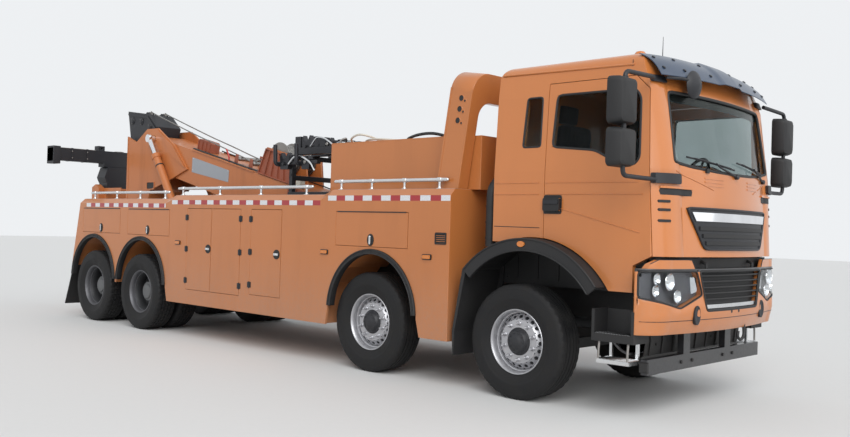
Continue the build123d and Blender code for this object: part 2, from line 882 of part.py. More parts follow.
handle_x = front_axle_x + 300
handle_z = 1779.0
for side_name, side in (("right", -1), ("left", 1)):
    plane_y = 1300 if side < 0 else -900
    with BuildPart() as cab_door:
        with BuildSketch(Plane.XZ.offset(plane_y)):
            door_outline()
            offset(amount=-cab_seam)
        extrude(amount=-400)
        add(door_skin.part, mode=Mode.INTERSECT)
        with BuildSketch(Plane.XZ.offset(plane_y)):
            side_window_outline()
        extrude(amount=-400, mode=Mode.SUBTRACT)
        block(
            (handle_x - 40, handle_x + 130),
            (side * 1115, side * 1150),
            (handle_z - 55, handle_z + 55),
        )
    save(cab_door.part, f"cab_door_{side_name}")
    with BuildPart() as door_glass:
        side_pane(side)
        with BuildSketch(Plane.XZ.offset(plane_y)):
            side_window_outline()
            offset(amount=-seat_gap)
        extrude(amount=-400, mode=Mode.INTERSECT)
    save(door_glass.part, f"door_glass_{side_name}")

# Cab interior: seats, bunk, dashboard and steering wheel, all standing on the floor
floor_top = cab_floor_z + cab_floor_plate
seat_x = front_axle_x + 260
with BuildPart() as cab_interior:
    for seat_y in (-560, 560):
        block((seat_x - 60, seat_x + 380), (seat_y - 200, seat_y + 200), (floor_top, floor_top + 260))
        block((seat_x - 100, seat_x + 430), (seat_y - 250, seat_y + 250), (floor_top + 260, floor_top + 400))
        block((seat_x - 200, seat_x - 60), (seat_y - 240, seat_y + 240), (floor_top + 300, floor_top + 1010))
        block((seat_x - 170, seat_x - 70), (seat_y - 130, seat_y + 130), (floor_top + 1010, floor_top + 1190))
    block((front_axle_x + 1010, front_axle_x + 1270), (-1000, 1000), (floor_top + 180, floor_top + 520))
    block((front_axle_x + 1080, front_axle_x + 1180), (-980, 980), (floor_top, floor_top + 180))
    with BuildPart(mode=Mode.PRIVATE) as wheel_ring:
        with Locations(Location((front_axle_x + 830, 560, floor_top + 560), (0, -62, 0))):
            Torus(225, 17)
            Box(430, 34, 12)
            Cylinder(52, 40)
    add(wheel_ring.part)
    with BuildSketch(Plane((front_axle_x + 830, 560, floor_top + 560), z_dir=(0.88, 0, -0.47))):
        Circle(32)
    extrude(amount=260)
save(cab_interior.part, "cab_interior")

# Front bumper: a curved shell with lamp pockets and the middle opening, and the under-run bar
bumper_bottom = 720.0
bumper_top = 1262.0
bumper_wall = 60.0
bumper_leg_y = rail_outer_y - 30
lamp_depth = 70.0
lamp_outline = [(-1230, 1240), (-640, 1240), (-560, 1040), (-862, 934), (-1230, 1020)]


def bumper_form(inset):
    """The bumper's outside from plan arcs, moved inwards by the inset."""
    with BuildPart() as form:
        for level_z, reach in ((bumper_bottom, -40), (870, 0), (bumper_top, -10)):
            side_y = 1240 - inset
            knee_x = front_axle_x + 1455 + reach - inset
            knee_y = 960 - 0.4 * inset
            corner_x = front_axle_x + 1265 - 0.4 * inset
            with BuildSketch(Plane.XY.offset(level_z)):
                with BuildLine():
                    Line((front_axle_x + 1150, side_y), (front_axle_x + 1150, -side_y))
                    Line((front_axle_x + 1150, -side_y), (corner_x, -side_y))
                    ThreePointArc(
                        (corner_x, -side_y),
                        (corner_x + 0.68 * (knee_x - corner_x), -side_y + 0.34 * (side_y - knee_y)),
                        (knee_x, -knee_y),
                    )
                    nose_x = front_axle_x + 1548 + reach - inset
                    ThreePointArc((knee_x, -knee_y), (nose_x, 0), (knee_x, knee_y))
                    ThreePointArc(
                        (knee_x, knee_y),
                        (corner_x + 0.68 * (knee_x - corner_x), side_y - 0.34 * (side_y - knee_y)),
                        (corner_x, side_y),
                    )
                    Line((corner_x, side_y), (front_axle_x + 1150, side_y))
                make_face()
        loft(ruled=True)
    return form.part


bumper_outer = bumper_form(0)
bumper_inner = bumper_form(bumper_wall)
lower_grille = [(-600, 1240), (600, 1240), (492, 905), (-492, 905)]
with BuildPart() as front_bumper:
    add(bumper_outer)
    add(bumper_inner, mode=Mode.SUBTRACT)
    block(
        (front_axle_x + 1100, front_axle_x + 1252),
        (-1300, 1300),
        (bumper_bottom - 5, bumper_top + 5),
        mode=Mode.SUBTRACT,
    )
    for side in (-1, 1):
        with BuildSketch(Plane.YZ.offset(front_axle_x + 1100)):
            with BuildLine():
                Polyline([(side * -y, z) for y, z in lamp_outline], close=True)
            make_face()
            offset(amount=2)
        extrude(amount=700, mode=Mode.SUBTRACT)
    with BuildSketch(Plane.YZ.offset(front_axle_x + 1300)):
        with BuildLine():
            Polyline(lower_grille, close=True)
        make_face()
    extrude(amount=400, mode=Mode.SUBTRACT)
    block((front_axle_x + 1240, front_axle_x + 1300), (-1080, 1080), (380, 510))
    for side in (-1, 1):
        leg_y = (side * (bumper_leg_y - 60), side * (bumper_leg_y + 60))
        block((rail_front_x, rail_front_x + 60), leg_y, (505, rail_top))
        block((rail_front_x, front_axle_x + 1490), leg_y, (bumper_bottom + 100, bumper_bottom + 160))
save(front_bumper.part, "front_bumper")

# Lamps: head lamps in the bumper, and tail lamps on the locker ends
with BuildPart() as lamps:
    with BuildPart(mode=Mode.PRIVATE) as lamp_skin:
        add(bumper_form(4))
        add(bumper_form(lamp_depth), mode=Mode.SUBTRACT)
        block(
            (front_axle_x + 1100, front_axle_x + 1258),
            (-1300, 1300),
            (bumper_bottom - 5, bumper_top + 5),
            mode=Mode.SUBTRACT,
        )
    for side in (-1, 1):
        with BuildSketch(Plane.YZ.offset(front_axle_x + 1100)):
            with BuildLine():
                Polyline([(side * -y, z) for y, z in lamp_outline], close=True)
            make_face()
            offset(amount=1.7)
        extrude(amount=700)
    add(lamp_skin.part, mode=Mode.INTERSECT)
save(lamps.part, "lamps")

# Cab trim: the upper and lower grilles, the sun visor and the mirrors
upper_grille = [(-770, 1770), (770, 1770), (550, 1425), (-550, 1425)]
visor_top = [(1120, 3062), (1190, 3075), (1470, 2880), (1455, 2862), (1215, 3020)]
with BuildPart() as cab_trim:
    with BuildPart(mode=Mode.PRIVATE) as upper_skin:
        add(cab_form(-22))
        add(cab_form(-seat_gap), mode=Mode.SUBTRACT)
        with BuildSketch(Plane.YZ.offset(front_axle_x + 1200)):
            with BuildLine():
                Polyline(upper_grille, close=True)
            make_face()
        extrude(amount=600, mode=Mode.INTERSECT)
    add(upper_skin.part)
    with BuildPart(mode=Mode.PRIVATE) as visor_skin:
        add(cab_form(-150, rounded=False))
        with BuildSketch(Plane.XZ.offset(1080)):
            with BuildLine():
                Polyline([(front_axle_x + gap, z) for gap, z in visor_top], close=True)
            make_face()
        extrude(amount=-2160, mode=Mode.INTERSECT)
        add(cab_form(-seat_gap), mode=Mode.SUBTRACT)
    add(visor_skin.part)
    for side in (-1, 1):
        mirror_y = (side * 1430, side * 1700)
        block((front_axle_x + 1235, front_axle_x + 1375), mirror_y, (2390, 2770))
        block((front_axle_x + 1235, front_axle_x + 1375), mirror_y, (2060, 2370))
        block(
            (front_axle_x + 1290, front_axle_x + 1330),
            (side * 1560 - 20, side * 1560 + 20),
            (2010, 2820),
        )
        arm_y = (side * 1115, side * 1580)
        for arm_z in (1990, 2815):
            block((front_axle_x + 1285, front_axle_x + 1335), arm_y, (arm_z - 22, arm_z + 22))
    add(cab_form(-seat_gap), mode=Mode.SUBTRACT)
    with BuildPart(mode=Mode.PRIVATE) as lower_skin:
        add(bumper_form(8))
        add(bumper_form(bumper_wall), mode=Mode.SUBTRACT)
        with BuildSketch(Plane.YZ.offset(front_axle_x + 1300)):
            with BuildLine():
                Polyline(lower_grille, close=True)
            make_face()
            offset(amount=-seat_gap)
        extrude(amount=400, mode=Mode.INTERSECT)
    add(lower_skin.part)
save(cab_trim.part, "cab_trim")

# Fenders: front wheel arches with mudguards, arch trims and flaps
fender_inner_y = 700.0
fender_front_angle = 36.0
fender_rear_angle = 138.0


def arc_band(centre_x, centre_z, outer, inner, start, end, y):
    """A curved plate along an arc in X and Z, between two Y values."""
    def spot(radius, angle):
        return (
            centre_x + radius * math.cos(math.radians(angle)),
            centre_z + radius * math.sin(math.radians(angle)),
        )
    middle = (start + end) / 2
    with BuildSketch(Plane.XZ.offset(-y[0])) as outline:
        with BuildLine():
            ThreePointArc(spot(outer, start), spot(outer, middle), spot(outer, end))
            Line(spot(outer, end), spot(inner, end))
            ThreePointArc(spot(inner, end), spot(inner, middle), spot(inner, start))
            Line(spot(inner, start), spot(outer, start))
        make_face()
    extrude(outline.sketch, amount=y[0] - y[1])


with BuildPart() as fenders:
    arc_band(
        fender_x, fender_centre_z, fender_radius, fender_radius - fender_plate,
        fender_front_angle, fender_rear_angle, (-half_width, -fender_inner_y),
    )
    arc_band(
        fender_x, fender_centre_z, fender_radius, fender_radius - fender_lip,
        fender_front_angle, fender_rear_angle, (-half_width, -half_width + 30),
    )
    side_plate(
        [
            (front_axle_x - 590, 1167),
            (front_axle_x - 700, 560),
            (front_axle_x - 690, 330),
            (front_axle_x - 678, 330),
            (front_axle_x - 672, 560),
            (front_axle_x - 550, 1150),
        ],
        (-half_width + 10, -fender_inner_y),
    )
    block(
        (front_axle_x - 600, front_axle_x - 520),
        (-fender_inner_y - 10, -rail_outer_y),
        (960, 1010),
    )
    side_plate(
        [
            (front_axle_x - 620, 1010),
            (front_axle_x - 520, 1010),
            (front_axle_x - 500, 1260),
            (front_axle_x - 560, 1200),
        ],
        (-fender_inner_y - 10, -fender_inner_y + 20),
    )
    for arch_x, radius in arches:
        arc_band(
            arch_x, arch_centre_z, radius - seat_gap, radius - 52, 3, 177,
            (-half_width - 12, -half_width + 60),
        )
    side_plate(
        [
            (locker_foot_x + 3, heel_z),
            (locker_foot_x - 250, 185),
            (locker_foot_x - 235, 180),
            (locker_foot_x + 25, heel_z),
        ],
        (-half_width + 20, -locker_inner_y - 60),
    )
    mirror(about=Plane.XZ)
save(fenders.part, "fenders")

# Steps and rails: cab steps with their brackets, and handrails along the body top
rail_tube = 19.0
rail_rise = 92.0
rail_y = half_width - locker_chamfer - 40
# rear gap, front gap, top Z of the body below
rail_runs = [
    (8230, 6010, rear_top),
    (5760, 2960, mid_top),
    (2560, 900, front_top),
]
with BuildPart() as steps_and_rails:
    block((front_axle_x + 890, front_axle_x + 1235), (-1240, -1000), (645, 700))
    block((front_axle_x + 890, front_axle_x + 1235), (-1040, -1000), (700, 900))
    block((front_axle_x + 910, front_axle_x + 1220), (-1235, -1040), (460, 490))
    for bracket_gap in (940, 1190):
        block(
            (front_axle_x + bracket_gap - 12, front_axle_x + bracket_gap + 12),
            (-1060, -1036),
            (490, 645),
        )
    block((front_axle_x + 1000, front_axle_x + 1080), (-1000, -rail_outer_y), (780, 860))
    for rear_gap, front_gap, body_top in rail_runs:
        rail_z = body_top + rail_rise
        shaft(-rail_y, rail_z, rail_tube, (front_axle_x - rear_gap, front_axle_x - front_gap))
        span = rear_gap - front_gap - 200
        for number in range(4):
            post(
                front_axle_x - front_gap - 100 - span * number / 3,
                -rail_y,
                rail_tube * 0.7,
                (body_top, rail_z),
            )
    mirror(about=Plane.XZ)
save(steps_and_rails.part, "steps_and_rails")

# Cabinet and portal: the upper cabinet behind the cab and the leaning frame around it
portal_half = 1100.0
portal_inner_half = 962.0
portal_top = 3110.0
portal_beam_z = 2830.0
portal_lean = 9.0
portal_depth = 290.0
cabinet_half = 950.0
cabinet_top = 2460.0
cabinet_rear_x = front_axle_x - 2880
cabinet_front_x = front_axle_x - 640
portal_foot_x = front_axle_x - 1088
lean = math.radians(portal_lean)
portal_plane = Plane(
    origin=(portal_foot_x, 0, front_top),
    x_dir=(0, 1, 0),
    z_dir=(math.cos(lean), 0, -math.sin(lean)),
)
portal_rise = (portal_top - front_top) / math.cos(lean)
beam_rise = (portal_beam_z - front_top) / math.cos(lean)
with BuildPart() as cabinet_and_portal:
    with BuildSketch(portal_plane):
        with BuildLine():
            FilletPolyline(
                (-portal_half, -120),
                (-portal_half, portal_rise),
                (portal_half, portal_rise),
                (portal_half, -120),
                radius=210,
            )
            Line((portal_half, -120), (-portal_half, -120))
        make_face()
        with BuildLine():
            FilletPolyline(
                (-portal_inner_half, -130),
                (-portal_inner_half, beam_rise),
                (portal_inner_half, beam_rise),
                (portal_inner_half, -130),
                radius=150,
            )
            Line((portal_inner_half, -130), (-portal_inner_half, -130))
        make_face(mode=Mode.SUBTRACT)
    extrude(amount=portal_depth)
    block(
        (portal_foot_x - 400, portal_foot_x + 900),
        (-1300, 1300),
        (front_top - 300, front_top),
        mode=Mode.SUBTRACT,
    )
    side_plate(
        [
            (cabinet_rear_x, mid_top),
            (front_step_x, mid_top),
            (bulkhead_x, front_top),
            (cabinet_front_x, front_top),
            (cabinet_front_x, cabinet_top),
            (cabinet_rear_x, cabinet_top),
        ],
        (-cabinet_half, cabinet_half),
    )
save(cabinet_and_portal.part, "cabinet_and_portal")

# Boom plane: u runs back along the boom from its pivot, v runs up across it
slope = math.radians(boom_angle)


def boom_spot(u, v):
    """The X and Z of a point given along and across the boom."""
    return (
        boom_pivot_x - u * math.cos(slope) + v * math.sin(slope),
        boom_pivot_z + u * math.sin(slope) + v * math.cos(slope),
    )


def boom_bar(u, v, half_y, mode=Mode.ADD):
    """A straight box along the boom."""
    side_plate(
        [boom_spot(u[0], v[0]), boom_spot(u[1], v[0]), boom_spot(u[1], v[1]), boom_spot(u[0], v[1])],
        (-half_y, half_y),
        mode=mode,
    )


# Boom base: the seat plate, two ears with the boom's pin, and the lift cylinders' ears
ear_plate = 30.0
ear_gap = 8.0
ear_inner_y = boom_half_width + ear_gap
lift_ear = 24.0
lift_eye_half = 32.0
with BuildPart() as boom_base:
    block((boom_pivot_x - 480, boom_pivot_x + 420), (-450, 450), (deck_top, deck_top + 30))
    for y in ((-ear_inner_y - ear_plate, -ear_inner_y), (ear_inner_y, ear_inner_y + ear_plate)):
        side_plate(
            [
                (boom_pivot_x - 420, deck_top + 30),
                (boom_pivot_x + 360, deck_top + 30),
                (boom_pivot_x + 110, boom_pivot_z),
                (boom_pivot_x - 110, boom_pivot_z),
            ],
            y,
        )
        cross_pin(boom_pivot_x, boom_pivot_z, 110, y)
    cross_pin(boom_pivot_x, boom_pivot_z, boom_pin_radius, (-ear_inner_y - 5, ear_inner_y + 5))
    for side in (-1, 1):
        base_y = side * lift_y
        block((lift_base_x - 220, lift_base_x + 220), (base_y - 90, base_y + 90), (deck_top, deck_top + 20))
        for ear_side in (-1, 1):
            near = base_y + ear_side * (lift_eye_half + 2)
            far = near + ear_side * lift_ear
            side_plate(
                [
                    (lift_base_x - 150, deck_top + 20),
                    (lift_base_x + 150, deck_top + 20),
                    (lift_base_x + 50, lift_base_z + 60),
                    (lift_base_x - 50, lift_base_z + 60),
                ],
                (near, far),
            )
        pin_half = lift_eye_half + 3
        cross_pin(lift_base_x, lift_base_z, lift_pin_radius, (base_y - pin_half, base_y + pin_half))
save(boom_base.part, "boom_base")

# Outer boom: a hollow box with the winch cradle, and the mast hanging from its rear end
elbow_x = front_axle_x - 8128
with BuildPart() as boom_outer:
    boom_bar((-boom_tail, boom_length), (-boom_half_depth, boom_half_depth), boom_half_width)
    boom_bar(
        (480, boom_length + 10),
        (-boom_half_depth + boom_wall, boom_half_depth - boom_wall),
        boom_half_width - boom_wall,
        mode=Mode.SUBTRACT,
    )
    cross_pin(
        boom_pivot_x,
        boom_pivot_z,
        boom_pin_radius + boom_pin_fit,
        (-boom_half_width - 5, boom_half_width + 5),
        mode=Mode.SUBTRACT,
    )
    cheek_y = boom_half_width + cheek_plate
    for y in ((-cheek_y, -boom_half_width), (boom_half_width, cheek_y)):
        side_plate(
            [
                (mast_rear_x, 2890),
                (front_axle_x - 8461, 2785),
                (elbow_x, 2979),
                (front_axle_x - 7805, 2976),
                (front_axle_x - 7300, 2680),
                (front_axle_x - 6930, 2310),
                (front_axle_x - 7420, 2150),
                (front_axle_x - 8000, 2000),
                (front_axle_x - 8150, 1500),
                (mast_rear_x + 400, mast_foot_z),
                (mast_rear_x, mast_foot_z),
            ],
            y,
        )
    block((mast_rear_x, mast_rear_x + 25), (-boom_half_width, boom_half_width), (mast_foot_z, 2440))
    side_plate(
        [
            (mast_rear_x + 400, mast_foot_z),
            (mast_rear_x + 375, mast_foot_z),
            (front_axle_x - 8175, 1500),
            (front_axle_x - 8025, 2000),
            (front_axle_x - 8040, 2280),
            (front_axle_x - 8010, 2280),
            (front_axle_x - 8000, 2000),
            (front_axle_x - 8150, 1500),
        ],
        (-boom_half_width, boom_half_width),
    )
    block(
        (mast_rear_x, mast_rear_x + 400),
        (-boom_half_width, boom_half_width),
        (mast_foot_z, mast_foot_z + 25),
    )
    for y in ((-270, -230), (230, 270)):
        side_plate(
            [
                (mast_rear_x + 30, mast_foot_z),
                (mast_rear_x + 30, 1100),
                (mast_rear_x, 1100),
                (arm_pivot_x + 40, 930),
                (arm_pivot_x - 75, arm_pivot_z + 75),
                (arm_pivot_x - 75, arm_pivot_z - 75),
                (arm_pivot_x + 75, mast_foot_z),
            ],
            y,
        )
    cross_pin(arm_pivot_x, arm_pivot_z, arm_pin_radius, (-275, 275))
    for y in ((-270, -245), (-12, 12), (245, 270)):
        side_plate(
            [boom_spot(560, 245), boom_spot(1360, 245), boom_spot(1240, 640), boom_spot(720, 640)],
            y,
        )
    cross_pin(*boom_spot(980, 540), 60, (-250, 250))
save(boom_outer.part, "boom_outer")

# Winch drums turn on the cradle's shaft
winch_x, winch_z = boom_spot(980, 540)
for side_name, side in (("right", -1), ("left", 1)):
    with BuildPart() as drum:
        near = side * 18
        far = side * 239
        cross_pin(winch_x, winch_z, 150, (near, far))
        cross_pin(winch_x, winch_z, 215, (near, near + side * 14))
        cross_pin(winch_x, winch_z, 215, (far, far - side * 14))
        cross_pin(winch_x, winch_z, 60.05, (near - side, far + side), mode=Mode.SUBTRACT)
    save(drum.part, f"winch_drum_{side_name}")

# Inner boom: the sliding tube with wear pads, and the sheave head
pad_u = (inner_start + 40, inner_start + 260)
pad_v = boom_half_depth - boom_wall - seat_gap
pad_y = boom_half_width - boom_wall - seat_gap
with BuildPart() as boom_inner:
    boom_bar((inner_start, boom_length + 70), (-inner_half_depth, inner_half_depth), inner_half_width)
    boom_bar(
        (inner_start - 10, boom_length - 10),
        (-inner_half_depth + boom_wall, inner_half_depth - boom_wall),
        inner_half_width - boom_wall,
        mode=Mode.SUBTRACT,
    )
    for side in (-1, 1):
        side_plate(
            [
                boom_spot(pad_u[0], side * (inner_half_depth - 1)),
                boom_spot(pad_u[1], side * (inner_half_depth - 1)),
                boom_spot(pad_u[1], side * pad_v),
                boom_spot(pad_u[0], side * pad_v),
            ],
            (-inner_half_width, inner_half_width),
        )
        pad_pair = (side * (inner_half_width - 1), side * pad_y)
        side_plate(
            [
                boom_spot(pad_u[0], -inner_half_depth),
                boom_spot(pad_u[1], -inner_half_depth),
                boom_spot(pad_u[1], inner_half_depth),
                boom_spot(pad_u[0], inner_half_depth),
            ],
            pad_pair,
        )
    side_plate(
        [
            boom_spot(boom_length + 63, -inner_half_depth),
            boom_spot(boom_length + 63, 400),
            boom_spot(boom_length + 366, 550),
            boom_spot(5219, 485),
            boom_spot(5040, 120),
            boom_spot(4900, -inner_half_depth),
        ],
        (-head_half_width, head_half_width),
    )
save(boom_inner.part, "boom_inner")

# Lift cylinders: barrels on the deck ears, rods to the boom's cheeks
lift_eye_x, lift_eye_z = boom_spot(lift_eye_u, lift_eye_v)
lift_dx = lift_eye_x - lift_base_x
lift_dz = lift_eye_z - lift_base_z
lift_length = math.hypot(lift_dx, lift_dz)
lift_dir = (lift_dx / lift_length, 0, lift_dz / lift_length)
barrel_length = lift_length - 330
barrel_start = 135.0
rod_start = 270.0
rod_bore = lift_rod_radius + 1.0


def along_lift(side, distance):
    """A plane square to a lift cylinder, at a distance from its base pin."""
    return Plane(
        origin=(lift_base_x + distance * lift_dir[0], side * lift_y, lift_base_z + distance * lift_dir[2]),
        x_dir=(0, 1, 0),
        z_dir=lift_dir,
    )


with BuildPart() as lift_barrels:
    for side in (-1, 1):
        with BuildSketch(along_lift(side, 0)):
            Rectangle(2 * lift_eye_half, 100)
        extrude(amount=barrel_start + 20)
        with BuildSketch(along_lift(side, barrel_start)):
            Circle(lift_barrel_radius)
        extrude(amount=barrel_length - barrel_start)
        cross_pin(
            lift_base_x,
            lift_base_z,
            lift_pin_radius + 30,
            (side * lift_y - lift_eye_half, side * lift_y + lift_eye_half),
        )
        with BuildSketch(along_lift(side, rod_start - 10)):
            Circle(rod_bore)
        extrude(amount=barrel_length, mode=Mode.SUBTRACT)
        cross_pin(
            lift_base_x,
            lift_base_z,
            lift_pin_radius + 0.05,
            (side * lift_y - 90, side * lift_y + 90),
            mode=Mode.SUBTRACT,
        )
save(lift_barrels.part, "lift_barrels")

with BuildPart() as lift_rods:
    for side in (-1, 1):
        with BuildSketch(along_lift(side, rod_start)):
            Circle(lift_rod_radius)
        extrude(amount=lift_length - rod_start)
        with BuildSketch(along_lift(side, rod_start)):
            Circle(rod_bore - seat_gap)
        extrude(amount=50)
        eye_near = side * (boom_half_width + cheek_plate + 6)
        eye_far = side * (lift_y + 40)
        cross_pin(lift_eye_x, lift_eye_z, 62, (eye_near, eye_far))
save(lift_rods.part, "lift_rods")

# Underlift arm: folded up behind the mast, a sleeve on an elbow around the mast's pin
arm_front_x = arm_back_x + arm_depth
arm_middle_x = arm_back_x + arm_depth / 2
with BuildPart() as underlift_arm:
    block((arm_back_x, arm_front_x), (-arm_half_width, arm_half_width), (arm_pivot_z - 120, arm_top))
    side_plate(
        [
            (arm_front_x - 20, arm_pivot_z - 110),
            (arm_pivot_x + 20, arm_pivot_z - 80),
            (arm_pivot_x + 20, arm_pivot_z + 80),
            (arm_front_x - 20, arm_pivot_z + 350),
        ],
        (-222, 222),
    )
    cross_pin(arm_pivot_x, arm_pivot_z, 80, (-222, 222))
    cross_pin(arm_pivot_x, arm_pivot_z, arm_pin_radius + 0.05, (-230, 230), mode=Mode.SUBTRACT)
    block(
        (arm_back_x + arm_wall, arm_front_x - arm_wall),
        (-arm_half_width + arm_wall, arm_half_width - arm_wall),
        (arm_pivot_z + 120, arm_top + 5),
        mode=Mode.SUBTRACT,
    )
    for y in ((-400, -arm_half_width), (arm_half_width, 400)):
        side_plate(
            [
                (arm_back_x + 40, 1850),
                (arm_front_x - 60, 1850),
                (arm_front_x - 60, 2050),
                (arm_back_x + 160, 2110),
                (arm_back_x + 40, 2060),
            ],
            y,
        )
save(underlift_arm.part, "underlift_arm")

stinger_x = (arm_back_x + arm_wall + stinger_clearance, arm_front_x - arm_wall - stinger_clearance)
stinger_half = arm_half_width - arm_wall - stinger_clearance
with BuildPart() as underlift_stinger:
    block(stinger_x, (-stinger_half, stinger_half), (1100, stinger_head_top - 250))
    block(
        (stinger_x[0] + 20, stinger_x[1] - 20),
        (-stinger_half + 20, stinger_half - 20),
        (1090, stinger_head_top - 300),
        mode=Mode.SUBTRACT,
    )
    for z in ((1130, 1230), (1900, 2000)):
        block(
            (arm_back_x + arm_wall + seat_gap, arm_front_x - arm_wall - seat_gap),
            (-arm_half_width + arm_wall + seat_gap, arm_half_width - arm_wall - seat_gap),
            z,
        )
        block(
            (stinger_x[0] + 20, stinger_x[1] - 20),
            (-stinger_half + 20, stinger_half - 20),
            z,
            mode=Mode.SUBTRACT,
        )
    with BuildSketch(Plane.YZ.offset(arm_back_x + 20)):
        with BuildLine():
            Polyline(
                (-stinger_half, 2140),
                (-310, 2230),
                (-250, stinger_head_top),
                (250, stinger_head_top),
                (310, 2230),
                (stinger_half, 2140),
                close=True,
            )
        make_face()
    extrude(amount=arm_depth - 60)
    pin_top = stinger_head_top + crossbar_height + 15
    post(arm_middle_x, 0, crossbar_pin_radius, (stinger_head_top - 10, pin_top))
save(underlift_stinger.part, "underlift_stinger")

bar_bottom = stinger_head_top + seat_gap
bar_top = bar_bottom + crossbar_height
lug_gap = 350.0
lug_length = 140.0
lug_width = 120.0
lug_height = 80.0
lug_bore_height = 40.0
lug_bore_radius = 20.0
with BuildPart() as underlift_crossbar:
    block(
        (arm_middle_x - crossbar_depth / 2, arm_middle_x + crossbar_depth / 2),
        (-crossbar_half, crossbar_half),
        (bar_bottom + 60, bar_top),
    )
    block(
        (arm_middle_x - crossbar_depth / 2, arm_middle_x + crossbar_depth / 2),
        (-320, 320),
        (bar_bottom, bar_bottom + 70),
    )
    for side in (-1, 1):
        block(
            (arm_middle_x - 120, arm_middle_x + 120),
            (side * (crossbar_half - 60) - 60, side * (crossbar_half - 60) + 60),
            (bar_bottom, bar_top + 20),
        )
        lug_y = side * lug_gap
        block(
            (arm_middle_x - lug_length / 2, arm_middle_x + lug_length / 2),
            (lug_y - lug_width / 2, lug_y + lug_width / 2),
            (bar_top, bar_top + lug_height),
        )
        shaft(
            lug_y,
            bar_top + lug_bore_height,
            lug_bore_radius,
            (arm_middle_x - lug_length, arm_middle_x + lug_length),
            mode=Mode.SUBTRACT,
        )
    post(arm_middle_x, 0, crossbar_pin_radius + 0.05, (bar_bottom - 5, bar_top + 5), mode=Mode.SUBTRACT)
save(underlift_crossbar.part, "underlift_crossbar")

# Tow forks: a rack across the body behind the cabinet, carrying stored forks
rack_front_x = cabinet_rear_x - 60
rack_rear_x = boom_pivot_x - 60
with BuildPart() as tow_forks:
    for side in (-1, 1):
        block((rack_rear_x, rack_front_x), (side * 640 - 40, side * 640 + 40), (mid_top, mid_top + 60))
        for post_x in (rack_rear_x + 40, rack_front_x - 40):
            block(
                (post_x - 30, post_x + 30),
                (side * 640 - 30, side * 640 + 30),
                (mid_top + 60, mid_top + 520),
            )
    for bar_z in (mid_top + 240, mid_top + 500):
        for post_x in (rack_rear_x + 40, rack_front_x - 40):
            block((post_x - 30, post_x + 30), (-670, 670), (bar_z - 30, bar_z + 30))
    for number in range(5):
        fork_y = -560 + 280 * number
        block(
            (rack_rear_x + 10, rack_front_x - 10),
            (fork_y - 45, fork_y + 45),
            (mid_top + 530, mid_top + 620),
        )
        block(
            (rack_rear_x + 20, rack_rear_x + 130),
            (fork_y - 40, fork_y + 40),
            (mid_top + 620, mid_top + 760 + 30 * (number % 2)),
        )
        block(
            (rack_rear_x + 500, rack_rear_x + 600),
            (fork_y - 40, fork_y + 40),
            (mid_top + 620, mid_top + 730),
        )
save(tow_forks.part, "tow_forks")
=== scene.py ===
import json
import math

